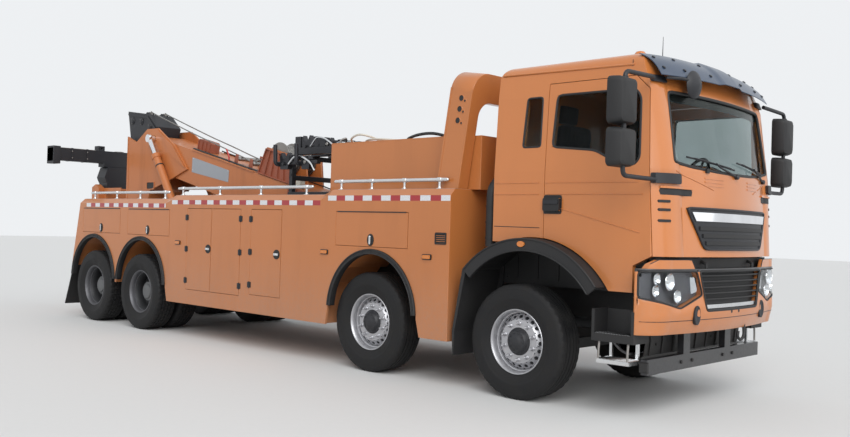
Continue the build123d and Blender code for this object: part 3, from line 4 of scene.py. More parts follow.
import bmesh
import bpy
from mathutils import Matrix, Vector
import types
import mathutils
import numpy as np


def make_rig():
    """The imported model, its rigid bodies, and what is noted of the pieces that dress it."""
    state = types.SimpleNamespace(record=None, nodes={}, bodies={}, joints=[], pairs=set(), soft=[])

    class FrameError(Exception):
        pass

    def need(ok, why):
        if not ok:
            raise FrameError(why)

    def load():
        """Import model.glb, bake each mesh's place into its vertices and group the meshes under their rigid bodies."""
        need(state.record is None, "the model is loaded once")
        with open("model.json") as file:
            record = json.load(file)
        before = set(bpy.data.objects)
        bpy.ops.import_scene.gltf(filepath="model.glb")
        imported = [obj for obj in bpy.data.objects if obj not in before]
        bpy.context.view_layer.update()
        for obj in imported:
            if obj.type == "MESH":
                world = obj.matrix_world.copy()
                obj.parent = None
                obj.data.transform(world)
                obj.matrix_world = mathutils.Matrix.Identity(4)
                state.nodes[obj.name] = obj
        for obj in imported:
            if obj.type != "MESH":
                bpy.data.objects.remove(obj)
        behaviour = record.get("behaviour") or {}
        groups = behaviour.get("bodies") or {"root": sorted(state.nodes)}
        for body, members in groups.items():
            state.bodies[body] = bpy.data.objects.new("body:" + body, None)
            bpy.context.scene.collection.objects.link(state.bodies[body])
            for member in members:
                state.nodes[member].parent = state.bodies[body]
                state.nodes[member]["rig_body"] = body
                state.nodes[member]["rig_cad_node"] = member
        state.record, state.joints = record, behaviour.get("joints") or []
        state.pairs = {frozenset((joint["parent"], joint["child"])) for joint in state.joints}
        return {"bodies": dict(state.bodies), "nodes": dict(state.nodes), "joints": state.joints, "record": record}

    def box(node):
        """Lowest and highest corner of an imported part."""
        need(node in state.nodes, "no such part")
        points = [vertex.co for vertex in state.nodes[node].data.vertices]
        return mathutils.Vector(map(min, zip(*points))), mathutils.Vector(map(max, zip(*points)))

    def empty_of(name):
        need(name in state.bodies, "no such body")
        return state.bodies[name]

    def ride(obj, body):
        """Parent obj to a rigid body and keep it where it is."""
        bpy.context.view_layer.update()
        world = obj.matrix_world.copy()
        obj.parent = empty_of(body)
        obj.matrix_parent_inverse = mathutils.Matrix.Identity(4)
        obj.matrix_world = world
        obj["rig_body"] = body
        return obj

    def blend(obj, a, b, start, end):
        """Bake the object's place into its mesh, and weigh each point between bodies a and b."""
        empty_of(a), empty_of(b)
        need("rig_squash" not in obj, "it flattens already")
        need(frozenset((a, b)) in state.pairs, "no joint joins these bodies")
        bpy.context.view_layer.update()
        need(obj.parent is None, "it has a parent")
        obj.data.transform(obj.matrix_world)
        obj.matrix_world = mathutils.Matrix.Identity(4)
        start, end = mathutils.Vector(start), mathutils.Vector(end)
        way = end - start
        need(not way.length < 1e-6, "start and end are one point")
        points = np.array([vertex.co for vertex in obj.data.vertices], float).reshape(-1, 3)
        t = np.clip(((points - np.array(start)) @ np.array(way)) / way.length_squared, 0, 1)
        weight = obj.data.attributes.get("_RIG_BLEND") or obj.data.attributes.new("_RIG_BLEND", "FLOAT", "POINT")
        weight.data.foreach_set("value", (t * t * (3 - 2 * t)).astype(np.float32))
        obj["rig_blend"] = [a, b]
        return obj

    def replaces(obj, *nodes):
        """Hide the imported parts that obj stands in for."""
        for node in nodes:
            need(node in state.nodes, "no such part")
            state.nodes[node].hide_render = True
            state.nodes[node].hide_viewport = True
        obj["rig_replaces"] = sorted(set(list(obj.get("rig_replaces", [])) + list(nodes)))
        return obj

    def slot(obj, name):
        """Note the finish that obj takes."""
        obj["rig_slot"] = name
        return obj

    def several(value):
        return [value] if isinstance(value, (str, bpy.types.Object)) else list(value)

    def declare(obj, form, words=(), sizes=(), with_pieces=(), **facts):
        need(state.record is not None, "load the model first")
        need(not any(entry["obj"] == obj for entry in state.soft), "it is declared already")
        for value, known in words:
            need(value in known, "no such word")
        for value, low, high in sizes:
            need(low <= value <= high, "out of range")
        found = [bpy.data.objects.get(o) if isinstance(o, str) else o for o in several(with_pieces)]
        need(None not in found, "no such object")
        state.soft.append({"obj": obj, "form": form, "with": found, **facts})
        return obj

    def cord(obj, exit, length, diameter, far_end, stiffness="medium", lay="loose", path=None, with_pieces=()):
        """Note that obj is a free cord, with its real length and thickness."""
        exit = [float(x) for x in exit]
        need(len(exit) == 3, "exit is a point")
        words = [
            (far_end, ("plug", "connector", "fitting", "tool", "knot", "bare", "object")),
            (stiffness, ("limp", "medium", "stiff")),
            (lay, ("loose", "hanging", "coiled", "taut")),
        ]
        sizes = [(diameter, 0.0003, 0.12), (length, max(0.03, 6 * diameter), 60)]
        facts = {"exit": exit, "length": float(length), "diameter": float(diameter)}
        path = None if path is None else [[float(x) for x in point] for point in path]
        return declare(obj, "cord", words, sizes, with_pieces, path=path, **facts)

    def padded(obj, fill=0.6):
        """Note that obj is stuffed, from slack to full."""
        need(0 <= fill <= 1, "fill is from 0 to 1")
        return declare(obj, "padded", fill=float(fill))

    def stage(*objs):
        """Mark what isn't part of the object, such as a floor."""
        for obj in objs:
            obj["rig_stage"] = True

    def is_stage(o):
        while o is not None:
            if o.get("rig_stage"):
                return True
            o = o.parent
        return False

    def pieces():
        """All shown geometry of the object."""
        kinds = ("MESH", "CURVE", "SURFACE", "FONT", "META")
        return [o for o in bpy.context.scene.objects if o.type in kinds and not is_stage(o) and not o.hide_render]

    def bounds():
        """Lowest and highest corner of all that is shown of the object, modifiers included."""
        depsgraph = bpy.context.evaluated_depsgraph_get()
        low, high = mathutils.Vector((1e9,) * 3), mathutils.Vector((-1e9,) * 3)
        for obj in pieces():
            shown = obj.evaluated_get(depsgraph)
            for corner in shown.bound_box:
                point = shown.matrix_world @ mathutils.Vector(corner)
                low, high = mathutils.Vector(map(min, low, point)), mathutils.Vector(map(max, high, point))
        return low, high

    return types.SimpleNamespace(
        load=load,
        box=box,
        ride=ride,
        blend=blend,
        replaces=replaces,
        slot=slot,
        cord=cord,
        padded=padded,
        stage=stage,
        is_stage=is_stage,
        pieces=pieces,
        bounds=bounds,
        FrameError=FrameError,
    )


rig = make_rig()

bl_info = {
    "name": "Four-axle tow truck",
    "version": (1, 0, 0),
    "blender": (4, 5, 0),
    "location": "View3D > Sidebar > Tow Truck",
    "description": "Dresses the packed tow truck with its finishes, trim and fittings",
    "category": "Object",
}

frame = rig.load()
nodes = frame["nodes"]
cad_low, cad_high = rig.bounds()
joint_of = {joint["name"]: joint for joint in frame["joints"]}
SIDES = (("right", -1), ("left", 1))
STEER_AXLES = (1, 2)
ALL_AXLES = (1, 2, 3, 4)


def joint_place(name):
    """Where a joint's pin is, in metres."""
    return Vector(joint_of[name]["pos_m"])


FRONT_AXLE = joint_place("wheel_1_right_spin").x
HALF_WIDTH = abs(joint_place("locker_flip_3_right_hinge").y)
BOOM_PIVOT = joint_place("boom_lift")
BOOM_ALONG = Vector(joint_of["boom_extend"]["axis"])
BOOM_UP = Vector((BOOM_ALONG.z, 0, -BOOM_ALONG.x))


def ahead(distance):
    """X at a distance in front of the front axle (negative is behind it)."""
    return FRONT_AXLE + distance


def boom_point(u, v, y=0.0):
    """A point u back along the boom from its pivot and v up across it."""
    return Vector((BOOM_PIVOT.x, y, BOOM_PIVOT.z)) + BOOM_ALONG * u + BOOM_UP * v


class TowTruckPaints(bpy.types.PropertyGroup):
    """Colours that a user would change."""

    cab: bpy.props.FloatVectorProperty(
        name="Cab paint", description="Colour of the cab and bumper", subtype="COLOR",
        default=(0.55, 0.183, 0.046), min=0, max=1,
    )
    body: bpy.props.FloatVectorProperty(
        name="Body paint", description="Colour of lockers, cabinet and portal", subtype="COLOR",
        default=(0.49, 0.166, 0.045), min=0, max=1,
    )
    boom: bpy.props.FloatVectorProperty(
        name="Boom paint", description="Colour of the boom, mast and lift arm", subtype="COLOR",
        default=(0.48, 0.155, 0.044), min=0, max=1,
    )
    tape_red: bpy.props.FloatVectorProperty(
        name="Tape red", description="Dark blocks of the reflective tape", subtype="COLOR",
        default=(0.38, 0.012, 0.018), min=0, max=1,
    )
    floor: bpy.props.FloatVectorProperty(
        name="Floor", description="Colour of the studio floor", subtype="COLOR",
        default=(0.74, 0.74, 0.73), min=0, max=1,
    )


class TowTruckSizes(bpy.types.PropertyGroup):
    """Sizes of the added trim."""

    tape_height: bpy.props.FloatProperty(
        name="Tape height", description="Height of the reflective tape", unit="LENGTH", default=0.055,
    )
    tape_block: bpy.props.FloatProperty(
        name="Tape block", description="Length of one block of tape", unit="LENGTH", default=0.140,
    )
    tread_depth: bpy.props.FloatProperty(
        name="Tread depth", description="Depth of the tyres' grooves", unit="LENGTH", default=0.012,
    )
    rope: bpy.props.FloatProperty(
        name="Rope", description="Diameter of the winch ropes", unit="LENGTH", default=0.018,
    )
    handrail: bpy.props.FloatProperty(
        name="Handrail", description="Radius of the body's handrails", unit="LENGTH", default=0.019,
    )


def paints():
    return bpy.context.scene.tow_truck_paints


def sizes():
    return bpy.context.scene.tow_truck_sizes


def turns(count, start=0.0):
    """Cosine and sine of angles spread evenly round a circle."""
    for i in range(count):
        angle = start + math.tau * i / count
        yield math.cos(angle), math.sin(angle)


def spots_around(centre, radius, along, count, start=0.0):
    """Places on a circle about the Y line through a centre, moved along that line."""
    return [
        Vector((centre[0] + radius * c, centre[1] + along, centre[2] + radius * s))
        for c, s in turns(count, start)
    ]


def spread(low, high, count):
    """Values from low to high in equal steps."""
    return [low + (high - low) * i / count for i in range(count + 1)]


def rectangle(left, right, low, high):
    """The four corners of an upright rectangle."""
    return [(left, low), (right, low), (right, high), (left, high)]


def add_node(tree, kind, settings=None, sockets=None):
    """Any node: its settings are set first, then its sockets' values or links."""
    made = tree.nodes.new(kind)
    for key, value in (settings or {}).items():
        setattr(made, key, value)
    for key, value in (sockets or {}).items():
        target = made.inputs[key]
        if isinstance(value, Wire):
            value = value.socket
        if isinstance(value, bpy.types.NodeSocket):
            tree.links.new(value, target)
        elif isinstance(value, tuple) and len(value) == 3 and target.type == "RGBA":
            target.default_value = (*value, 1)
        else:
            target.default_value = value
    return made


class Wire:
    """A shader socket that can be used in sums, products and comparisons."""

    def __init__(self, shader, socket):
        self.shader = shader
        self.socket = socket

    def maths(self, operation, first, second=None):
        inputs = {0: first}
        if second is not None:
            inputs[1] = second
        made = self.shader.node("ShaderNodeMath", {"operation": operation}, inputs)
        return Wire(self.shader, made.outputs[0])

    def __add__(self, other):
        return self.maths("ADD", self, other)

    def __radd__(self, other):
        return self.maths("ADD", other, self)

    def __sub__(self, other):
        return self.maths("SUBTRACT", self, other)

    def __rsub__(self, other):
        return self.maths("SUBTRACT", other, self)

    def __mul__(self, other):
        return self.maths("MULTIPLY", self, other)

    def __rmul__(self, other):
        return self.maths("MULTIPLY", other, self)

    def __truediv__(self, other):
        return self.maths("DIVIDE", self, other)

    def __gt__(self, other):
        return self.maths("GREATER_THAN", self, other)

    def __lt__(self, other):
        return self.maths("LESS_THAN", self, other)

    def bounded(self):
        return self.maths("MINIMUM", self.maths("MAXIMUM", self, 0.0), 1.0)


class Shader:
    """One procedural material, built around a Principled shader."""

    def __init__(self, name):
        self.material = bpy.data.materials.new(name)
        self.material.use_nodes = True
        self.tree = self.material.node_tree
        self.tree.nodes.clear()
        self.output = self.node("ShaderNodeOutputMaterial")
        self.place = Wire(self, self.node("ShaderNodeTexCoord").outputs["Object"])

    def node(self, kind, settings=None, sockets=None):
        return add_node(self.tree, kind, settings, sockets)

    def scaled(self, stretch):
        made = self.node("ShaderNodeVectorMath", {"operation": "MULTIPLY"}, {0: self.place, 1: stretch})
        return Wire(self, made.outputs[0])

    def noise(self, scale, detail=3.0, stretch=None):
        vector = self.scaled(stretch) if stretch else self.place
        made = self.node("ShaderNodeTexNoise", None, {"Vector": vector, "Scale": scale, "Detail": detail})
        return Wire(self, made.outputs["Fac"])

    def cells(self, scale, feature="F1", stretch=None):
        vector = self.scaled(stretch) if stretch else self.place
        sockets = {"Vector": vector, "Scale": scale}
        made = self.node("ShaderNodeTexVoronoi", {"feature": feature}, sockets)
        return Wire(self, made.outputs["Distance"])

    def waves(self, scale, direction="X", distortion=0.0):
        made = self.node(
            "ShaderNodeTexWave", {"bands_direction": direction},
            {"Vector": self.place, "Scale": scale, "Distortion": distortion},
        )
        return Wire(self, made.outputs["Fac"])

    def height(self):
        """The point's height above the ground."""
        made = self.node("ShaderNodeSeparateXYZ", None, {0: self.place})
        return Wire(self, made.outputs["Z"])

    def ramp(self, value, low, high):
        """0 below low and 1 above high."""
        made = self.node("ShaderNodeMapRange", {"clamp": True}, {0: value, 1: low, 2: high})
        return Wire(self, made.outputs[0])

    def mix(self, mask, first, second):
        """A colour between two, by the mask."""
        made = self.node("ShaderNodeMix", {"data_type": "RGBA"}, {0: mask, 6: first, 7: second})
        return Wire(self, made.outputs[2])

    def surface(self, colour, roughness, bump=None, strength=0.1, depth=0.001, **constants):
        sockets = {"Base Color": colour, "Roughness": roughness}
        for key, value in constants.items():
            sockets[key.replace("_", " ")] = value
        if bump is not None:
            raised = {"Height": bump, "Strength": strength, "Distance": depth}
            sockets["Normal"] = self.node("ShaderNodeBump", None, raised).outputs[0]
        made = self.node("ShaderNodeBsdfPrincipled", None, sockets)
        self.tree.links.new(made.outputs[0], self.output.inputs["Surface"])
        return self.material


def shade(colour, factor):
    """The colour made lighter or darker."""
    return tuple(min(1.0, part * factor) for part in colour)


ROAD_DUST = (0.27, 0.235, 0.20)
DULL_DUST = (0.085, 0.078, 0.070)
BLACK_PAINT = (0.012, 0.012, 0.014)


def paint_finish(name, colour, roughness, coat, dust_top, wear, black_below=None, black_above=None):
    """Sprayed paint: slight unevenness, road dust near the ground and fine orange peel."""
    shader = Shader(name)
    broad = shader.noise(0.9, 3)
    fine = shader.noise(34, 4)
    streaks = shader.noise(5, 5, (1.0, 1.0, 0.16))
    base = shader.mix(broad, shade(colour, 0.92), shade(colour, 1.07))
    grime = shader.ramp(streaks, 0.50, 0.78) * wear
    base = shader.mix(grime, base, shade(colour, 0.62))
    dust_mask = (1.0 - shader.ramp(shader.height(), 0.35, dust_top)) * shader.ramp(fine + broad, 0.6, 1.35)
    base = shader.mix(dust_mask * 0.42, base, ROAD_DUST)
    if black_below is not None:
        height = shader.height()
        blackened = ((height < black_below) + (height > black_above)).bounded()
        base = shader.mix(blackened, base, BLACK_PAINT)
    rough = roughness + 0.22 * dust_mask + 0.10 * grime
    peel = shader.noise(420, 2) + 0.6 * shader.noise(9, 2)
    return shader.surface(base, rough, peel, 0.10, 0.0012, Coat_Weight=coat, Coat_Roughness=0.08)


def dark_finish(name, colour, roughness, grain, grain_depth=0.0006, dust=0.25):
    """Black paint, plastic or rubber with a grain and a film of dust."""
    shader = Shader(name)
    spots = shader.noise(grain, 4)
    broad = shader.noise(2.2, 4)
    film = shader.ramp(broad, 0.42, 0.80) * dust
    low = (1.0 - shader.ramp(shader.height(), 0.2, 1.2)) * dust
    base = shader.mix(film + low * spots, colour, DULL_DUST)
    rough = roughness + 0.16 * spots + 0.25 * film
    return shader.surface(base, rough, spots, 0.35, grain_depth)


def metal_finish(name, colour, roughness, metallic, stretch, scale=60, scratch=0.25):
    """Bare or plated metal with a drawn grain."""
    shader = Shader(name)
    grain = shader.noise(scale, 5, stretch)
    blotch = shader.noise(3.5, 4)
    base = shader.mix(shader.ramp(blotch, 0.35, 0.75) * 0.5, colour, shade(colour, 0.72))
    rough = roughness + scratch * grain * blotch
    return shader.surface(base, rough, grain, 0.12, 0.0004, Metallic=metallic)


def treaded_finish():
    """Aluminium tread plate with rows of raised bars."""
    shader = Shader("tread_plate")
    bars = shader.cells(34, "F1", (1.0, 0.45, 1.0)) < 0.28
    wear = shader.noise(12, 4)
    base = shader.mix(wear, (0.33, 0.34, 0.35), (0.46, 0.47, 0.48))
    return shader.surface(base, 0.30 + 0.2 * wear, bars, 0.5, 0.002, Metallic=0.85)


def tyre_finish():
    """Rubber: dusty black with fine radial ribs on the wall."""
    shader = Shader("tyre_rubber")
    fine = shader.noise(90, 5)
    patches = shader.noise(7, 4)
    dust = shader.ramp(patches + 0.3 * fine, 0.5, 0.95)
    base = shader.mix(dust * 0.30, (0.007, 0.007, 0.008), (0.038, 0.035, 0.031))
    return shader.surface(base, 0.62 + 0.25 * dust, fine, 0.35, 0.0009, Specular_IOR_Level=0.35)


def glass_finish(name, tint, rough=0.02):
    """Tinted glass with faint dust."""
    shader = Shader(name)
    film = shader.ramp(shader.noise(3.0, 4), 0.45, 0.9)
    return shader.surface(
        shader.mix(film * 0.3, tint, shade(tint, 1.6)), rough + 0.05 * film, None,
        Transmission_Weight=1.0, IOR=1.12, Specular_IOR_Level=1.0,
    )


def smoked_finish():
    """The visor's smoked blue-grey sheet."""
    shader = Shader("smoked_visor")
    film = shader.noise(4.0, 4)
    base = shader.mix(film, (0.020, 0.038, 0.075), (0.036, 0.062, 0.110))
    return shader.surface(
        base, 0.28 + 0.16 * film, shader.noise(14, 2), 0.05, 0.001,
        Coat_Weight=0.25, Coat_Roughness=0.12,
    )


def lens_finish(name, colour, glow):
    """A coloured or clear moulded lens with fine flutes."""
    shader = Shader(name)
    flutes = shader.waves(70, "Z") * 0.7 + 0.3 * shader.waves(70, "X")
    base = shader.mix(flutes, colour, shade(colour, 0.6))
    return shader.surface(
        base, 0.10 + 0.08 * flutes, flutes, 0.3, 0.001,
        Coat_Weight=1.0, Coat_Roughness=0.03, Emission_Color=(*colour, 1), Emission_Strength=glow,
    )


def tape_finish(name, colour):
    """Reflective tape with its honeycomb cells."""
    shader = Shader(name)
    cells = shader.cells(160, "DISTANCE_TO_EDGE")
    grid = cells < 0.07
    base = shader.mix(grid * 0.5, colour, shade(colour, 0.55))
    return shader.surface(base, 0.28 + 0.2 * shader.noise(6, 3), grid, 0.2, 0.0005, Coat_Weight=0.5)


def cloth_finish():
    """Woven seat cloth."""
    shader = Shader("seat_cloth")
    weave = shader.waves(220, "X") * shader.waves(220, "Z")
    base = shader.mix(weave, (0.035, 0.035, 0.040), (0.10, 0.10, 0.11))
    return shader.surface(base, 0.9, weave, 0.4, 0.0008, Sheen_Weight=0.3)


def rope_finish():
    """Wire rope: strands laid at an angle."""
    shader = Shader("wire_rope")
    strands = shader.waves(95, "DIAGONAL", 1.5)
    base = shader.mix(strands, (0.10, 0.095, 0.09), (0.42, 0.41, 0.39))
    return shader.surface(base, 0.42, strands, 0.7, 0.002, Metallic=0.7)


finish = {}


def make_finishes():
    """Every material, by a plain name."""
    colours = paints()
    cab = tuple(colours.cab)
    body = tuple(colours.body)
    boom = tuple(colours.boom)
    finish.update({
        "cab_paint": paint_finish("cab_paint", cab, 0.30, 0.55, 1.5, 0.10),
        "bumper_paint": paint_finish("bumper_paint", cab, 0.32, 0.45, 1.3, 0.15, 0.715, 1.236),
        "body_paint": paint_finish("body_paint", body, 0.36, 0.35, 1.3, 0.22),
        "boom_paint": paint_finish("boom_paint", boom, 0.46, 0.15, 1.2, 0.55),
        "cradle_paint": paint_finish("cradle_paint", (0.30, 0.085, 0.045), 0.55, 0.0, 1.2, 0.6),
        "frame_black": dark_finish("frame_black", (0.011, 0.011, 0.012), 0.50, 40, 0.0008, 0.22),
        "satin_black": dark_finish("satin_black", (0.011, 0.012, 0.016), 0.42, 60, 0.0005, 0.12),
        "grained_black": dark_finish("grained_black", (0.010, 0.010, 0.011), 0.52, 300, 0.0005, 0.10),
        "cast_grey": dark_finish("cast_grey", (0.13, 0.135, 0.14), 0.55, 90, 0.0015, 0.3),
        "seal_rubber": dark_finish("seal_rubber", (0.012, 0.012, 0.013), 0.5, 120, 0.0004, 0.08),
        "lining": dark_finish("lining", (0.075, 0.075, 0.080), 0.7, 240, 0.0005, 0.05),
        "hose_rubber": dark_finish("hose_rubber", (0.016, 0.016, 0.017), 0.5, 160, 0.0006, 0.25),
        "bright_tube": metal_finish("bright_tube", (0.72, 0.73, 0.74), 0.20, 1.0, (0.2, 1, 1), 40, 0.2),
        "chrome": metal_finish("chrome", (0.82, 0.83, 0.85), 0.07, 1.0, (1, 1, 1), 30, 0.08),
        "rim_silver": metal_finish("rim_silver", (0.50, 0.50, 0.52), 0.34, 0.75, (1, 1, 1), 120, 0.25),
        "rim_grey": metal_finish("rim_grey", (0.042, 0.043, 0.046), 0.50, 0.30, (1, 1, 1), 90, 0.2),
        "rim_edge": metal_finish("rim_edge", (0.13, 0.13, 0.14), 0.45, 0.55, (1, 1, 1), 90, 0.2),
        "worn_steel": metal_finish("worn_steel", (0.30, 0.285, 0.27), 0.40, 0.9, (1, 1, 1), 50, 0.35),
        "tool_steel": metal_finish("tool_steel", (0.045, 0.045, 0.05), 0.28, 0.7, (1, 1, 1), 45, 0.3),
        "tread_plate": treaded_finish(),
        "tyre_rubber": tyre_finish(),
        "window_glass": glass_finish("window_glass", (0.34, 0.39, 0.40)),
        "screen_glass": glass_finish("screen_glass", (0.62, 0.68, 0.66)),
        "lens_clear": glass_finish("lens_clear", (0.93, 0.95, 0.96), 0.01),
        "smoked": smoked_finish(),
        "lens_red": lens_finish("lens_red", (0.42, 0.010, 0.012), 0.05),
        "lens_amber": lens_finish("lens_amber", (0.70, 0.20, 0.012), 0.05),
        "lens_white": lens_finish("lens_white", (0.75, 0.76, 0.76), 0.03),
        "tape_red": tape_finish("tape_red", tuple(colours.tape_red)),
        "tape_white": tape_finish("tape_white", (0.72, 0.73, 0.75)),
        "cloth": cloth_finish(),
        "rope": rope_finish(),
        "plate_blank": paint_finish("plate_blank", (0.30, 0.32, 0.35), 0.35, 0.2, 0.5, 0.3),
        "cream": paint_finish("cream", (0.62, 0.58, 0.50), 0.45, 0.0, 0.5, 0.3),
        "hook_red": paint_finish("hook_red", (0.42, 0.02, 0.02), 0.4, 0.2, 0.5, 0.4),
        "mirror_face": metal_finish("mirror_face", (0.75, 0.78, 0.80), 0.03, 1.0, (1, 1, 1), 10, 0.02),
    })


WELD_REACH = 0.00002
NODE_WELD_REACH = 0.00005
PIECE_BEVEL_ANGLE = 40
NODE_BEVEL_ANGLE = 50
BEVEL_SEGMENTS = 2


def add_bevel(made, width, angle):
    """Rounds the edges that turn by more than the angle."""
    rounded = made.modifiers.new("rounded", "BEVEL")
    rounded.width = width
    rounded.segments = BEVEL_SEGMENTS
    rounded.limit_method = "ANGLE"
    rounded.angle_limit = math.radians(angle)
    rounded.harden_normals = True


class Piece:
    """Collects faces in one mesh. `use` picks the finish that the next faces get."""

    def __init__(self, name, first_finish):
        self.name = name
        self.used = []
        self.index = 0
        self.mesh = bmesh.new()
        self.use(first_finish)

    def use(self, name):
        """Picks a finish. Slots are numbered in the order of first use."""
        if name not in self.used:
            self.used.append(name)
        self.index = self.used.index(name)
        return self

    def points(self, places):
        return [self.mesh.verts.new(place) for place in places]

    def face(self, corners):
        made = self.mesh.faces.new(corners)
        made.material_index = self.index
        made.smooth = True
        return made

    def join(self, low, high):
        """Quads between two loops of vertices."""
        for i, corner in enumerate(low):
            j = (i + 1) % len(low)
            self.face((corner, low[j], high[j], high[i]))

    def rings(self, rows, cap=True):
        """Quads between loops of points, with the first and last loop filled if capped."""
        made = [self.points(row) for row in rows]
        for low, high in zip(made, made[1:]):
            self.join(low, high)
        if cap:
            self.face(list(reversed(made[0])))
            self.face(made[-1])
        return self

    def hoop(self, rows):
        """Quads between loops of points, with the last loop joined to the first."""
        made = [self.points(row) for row in rows]
        for low, high in zip(made, made[1:] + made[:1]):
            self.join(low, high)
        return self

    def plate(self, outline, push):
        """A flat outline of 3-D points pushed along a vector."""
        push = Vector(push)
        low = [Vector(place) for place in outline]
        return self.rings([low, [place + push for place in low]])

    def stack(self, layers, axis="Y", cap=True):
        """Outlines in the two other axes, each at its own value on the axis."""
        def lift(pair, depth):
            a, b = pair
            return {"X": (depth, a, b), "Y": (a, depth, b), "Z": (a, b, depth)}[axis]
        return self.rings([[lift(pair, depth) for pair in outline] for outline, depth in layers], cap)

    def prism(self, outline, low, high, axis="Y"):
        """One outline in the two other axes, between two values on the axis."""
        return self.stack(((outline, low), (outline, high)), axis)

    def box(self, x, y, z):
        return self.prism(rectangle(*x, *y), *z, "Z")

    def turned(self, profile, centre, axis="Y", sides=48, closed=False, facing=1, cap=True):
        """A form turned about an axis from (radius, along) pairs. A closed profile makes a ring."""
        centre = Vector(centre)
        rows = []
        for radius, along in profile:
            row = []
            depth = along * facing
            for c, s in turns(sides):
                a, b = radius * c, radius * s
                offset = {"X": (depth, a, b), "Y": (a, depth, b), "Z": (a, b, depth)}[axis]
                row.append(centre + Vector(offset))
            rows.append(row)
        return self.hoop(rows) if closed else self.rings(rows, cap)

    def tube(self, path, radius, sides=12, loop=False):
        """A round tube along points; radius may be one number or one per point."""
        path = [Vector(place) for place in path]
        count = len(path)
        radii = radius if isinstance(radius, (list, tuple)) else [radius] * count
        rows = []
        normal = None
        for i, place in enumerate(path):
            before = path[i - 1] if (i or loop) else place
            after = path[(i + 1) % count] if (i < count - 1 or loop) else place
            along = (after - before).normalized()
            if normal is None:
                normal = along.orthogonal().normalized()
            normal = (normal - along * normal.dot(along)).normalized()
            across = along.cross(normal)
            rows.append([place + (normal * c + across * s) * radii[i] for c, s in turns(sides)])
        return self.hoop(rows) if loop else self.rings(rows)

    def hexagon(self, centre, radius, high, axis="Y", facing=1):
        """A bolt head or nut with a chamfered top."""
        profile = [(radius, 0), (radius, high * 0.8), (radius * 0.8, high)]
        return self.turned(profile, centre, axis, 6, facing=facing)

    def holed(self, place, hole, count=16):
        """A patch over (s, t) in -1..1 with a round hole; place(s, t, depth) gives its points."""
        rim = []
        edge = []
        deep = []
        for c, s in turns(count, math.pi / count):
            reach = 1 / max(abs(c), abs(s))
            edge.append(place(c * reach, s * reach, 0))
            rim.append(place(c * hole, s * hole, 0))
            deep.append(place(c * hole, s * hole, 1))
        return self.rings([edge, rim, deep], cap=False)

    def disc(self, centre, across, outward, profile, sides=40):
        """A round form of (radius, height) pairs that stands on a face leaning about Y."""
        rows = []
        for radius, height in profile:
            rows.append([
                centre + across * (radius * c) + Vector((0, radius * s, 0)) + outward * height
                for c, s in turns(sides)
            ])
        return self.rings(rows)

    def done(self, body, slot=None, bevel=0.0, replaces=(), angle=35, merge=True):
        """Turns the faces into an object that rides on a body, if one is given."""
        if merge:
            bmesh.ops.remove_doubles(self.mesh, verts=self.mesh.verts, dist=WELD_REACH)
        bmesh.ops.recalc_face_normals(self.mesh, faces=self.mesh.faces)
        data = bpy.data.meshes.new(self.name)
        self.mesh.to_mesh(data)
        self.mesh.free()
        for name in self.used:
            data.materials.append(finish[name])
        data.set_sharp_from_angle(angle=math.radians(angle))
        made = bpy.data.objects.new(self.name, data)
        bpy.context.scene.collection.objects.link(made)
        if bevel:
            add_bevel(made, bevel, PIECE_BEVEL_ANGLE)
        if body:
            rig.ride(made, body)
        if slot:
            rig.slot(made, slot)
        if replaces:
            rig.replaces(made, *replaces)
        return made


CORNER_SHARE = 0.45


def round_corner(before, corner, after, radius, steps):
    """A curve in place of a corner, over at most a share of the lines beside it."""
    back = before - corner
    on = after - corner
    reach = min(radius, back.length * CORNER_SHARE, on.length * CORNER_SHARE)
    start = corner + back.normalized() * reach
    end = corner + on.normalized() * reach
    curve = []
    for i in range(steps + 1):
        t = i / steps
        curve.append(start * (1 - t) ** 2 + corner * (2 * t * (1 - t)) + end * t * t)
    return curve


def rounded_path(places, radius, steps=5):
    """The points with each inner corner rounded."""
    places = [Vector(place) for place in places]
    path = [places[0]]
    for before, corner, after in zip(places, places[1:], places[2:]):
        path += round_corner(before, corner, after, radius, steps)
    path.append(places[-1])
    return path


def cut_corners(outline, reach=0.05, steps=3):
    """The closed outline with its corners rounded."""
    flat = [Vector(pair) for pair in outline]
    made = []
    for before, corner, after in zip(flat[-1:] + flat[:-1], flat, flat[1:] + flat[:1]):
        made += [tuple(place) for place in round_corner(before, corner, after, reach, steps)]
    return made


CAD_FINISH = {
    "frame_black": "frame_black",
    "engine_grey": "cast_grey",
    "cab_orange": "cab_paint",
    "body_orange": "body_paint",
    "boom_orange": "boom_paint",
    "boom_black": "satin_black",
    "tool_black": "tool_steel",
    "tinted_glass": "window_glass",
    "cab_lining": "lining",
    "black_plastic": "grained_black",
    "lamp_lens": "lens_white",
    "plated_steel": "bright_tube",
    "chrome_rod": "chrome",
    "tyre_rubber": "tyre_rubber",
    "rim_silver": "rim_silver",
    "rim_grey": "rim_grey",
    "winch_steel": "worn_steel",
}
LOCKER_DOOR_BEVEL = 0.002
SOFTENED = {
    # bevel width of each node that gets one
    "locker_body": 0.004, "cabinet_and_portal": 0.004, "boom_outer": 0.004, "boom_inner": 0.004,
    "underlift_arm": 0.006, "underlift_stinger": 0.006, "underlift_crossbar": 0.008, "boom_base": 0.004,
    "tow_forks": 0.006, "front_bumper": 0.004, "fenders": 0.004, "cab_interior": 0.015,
}


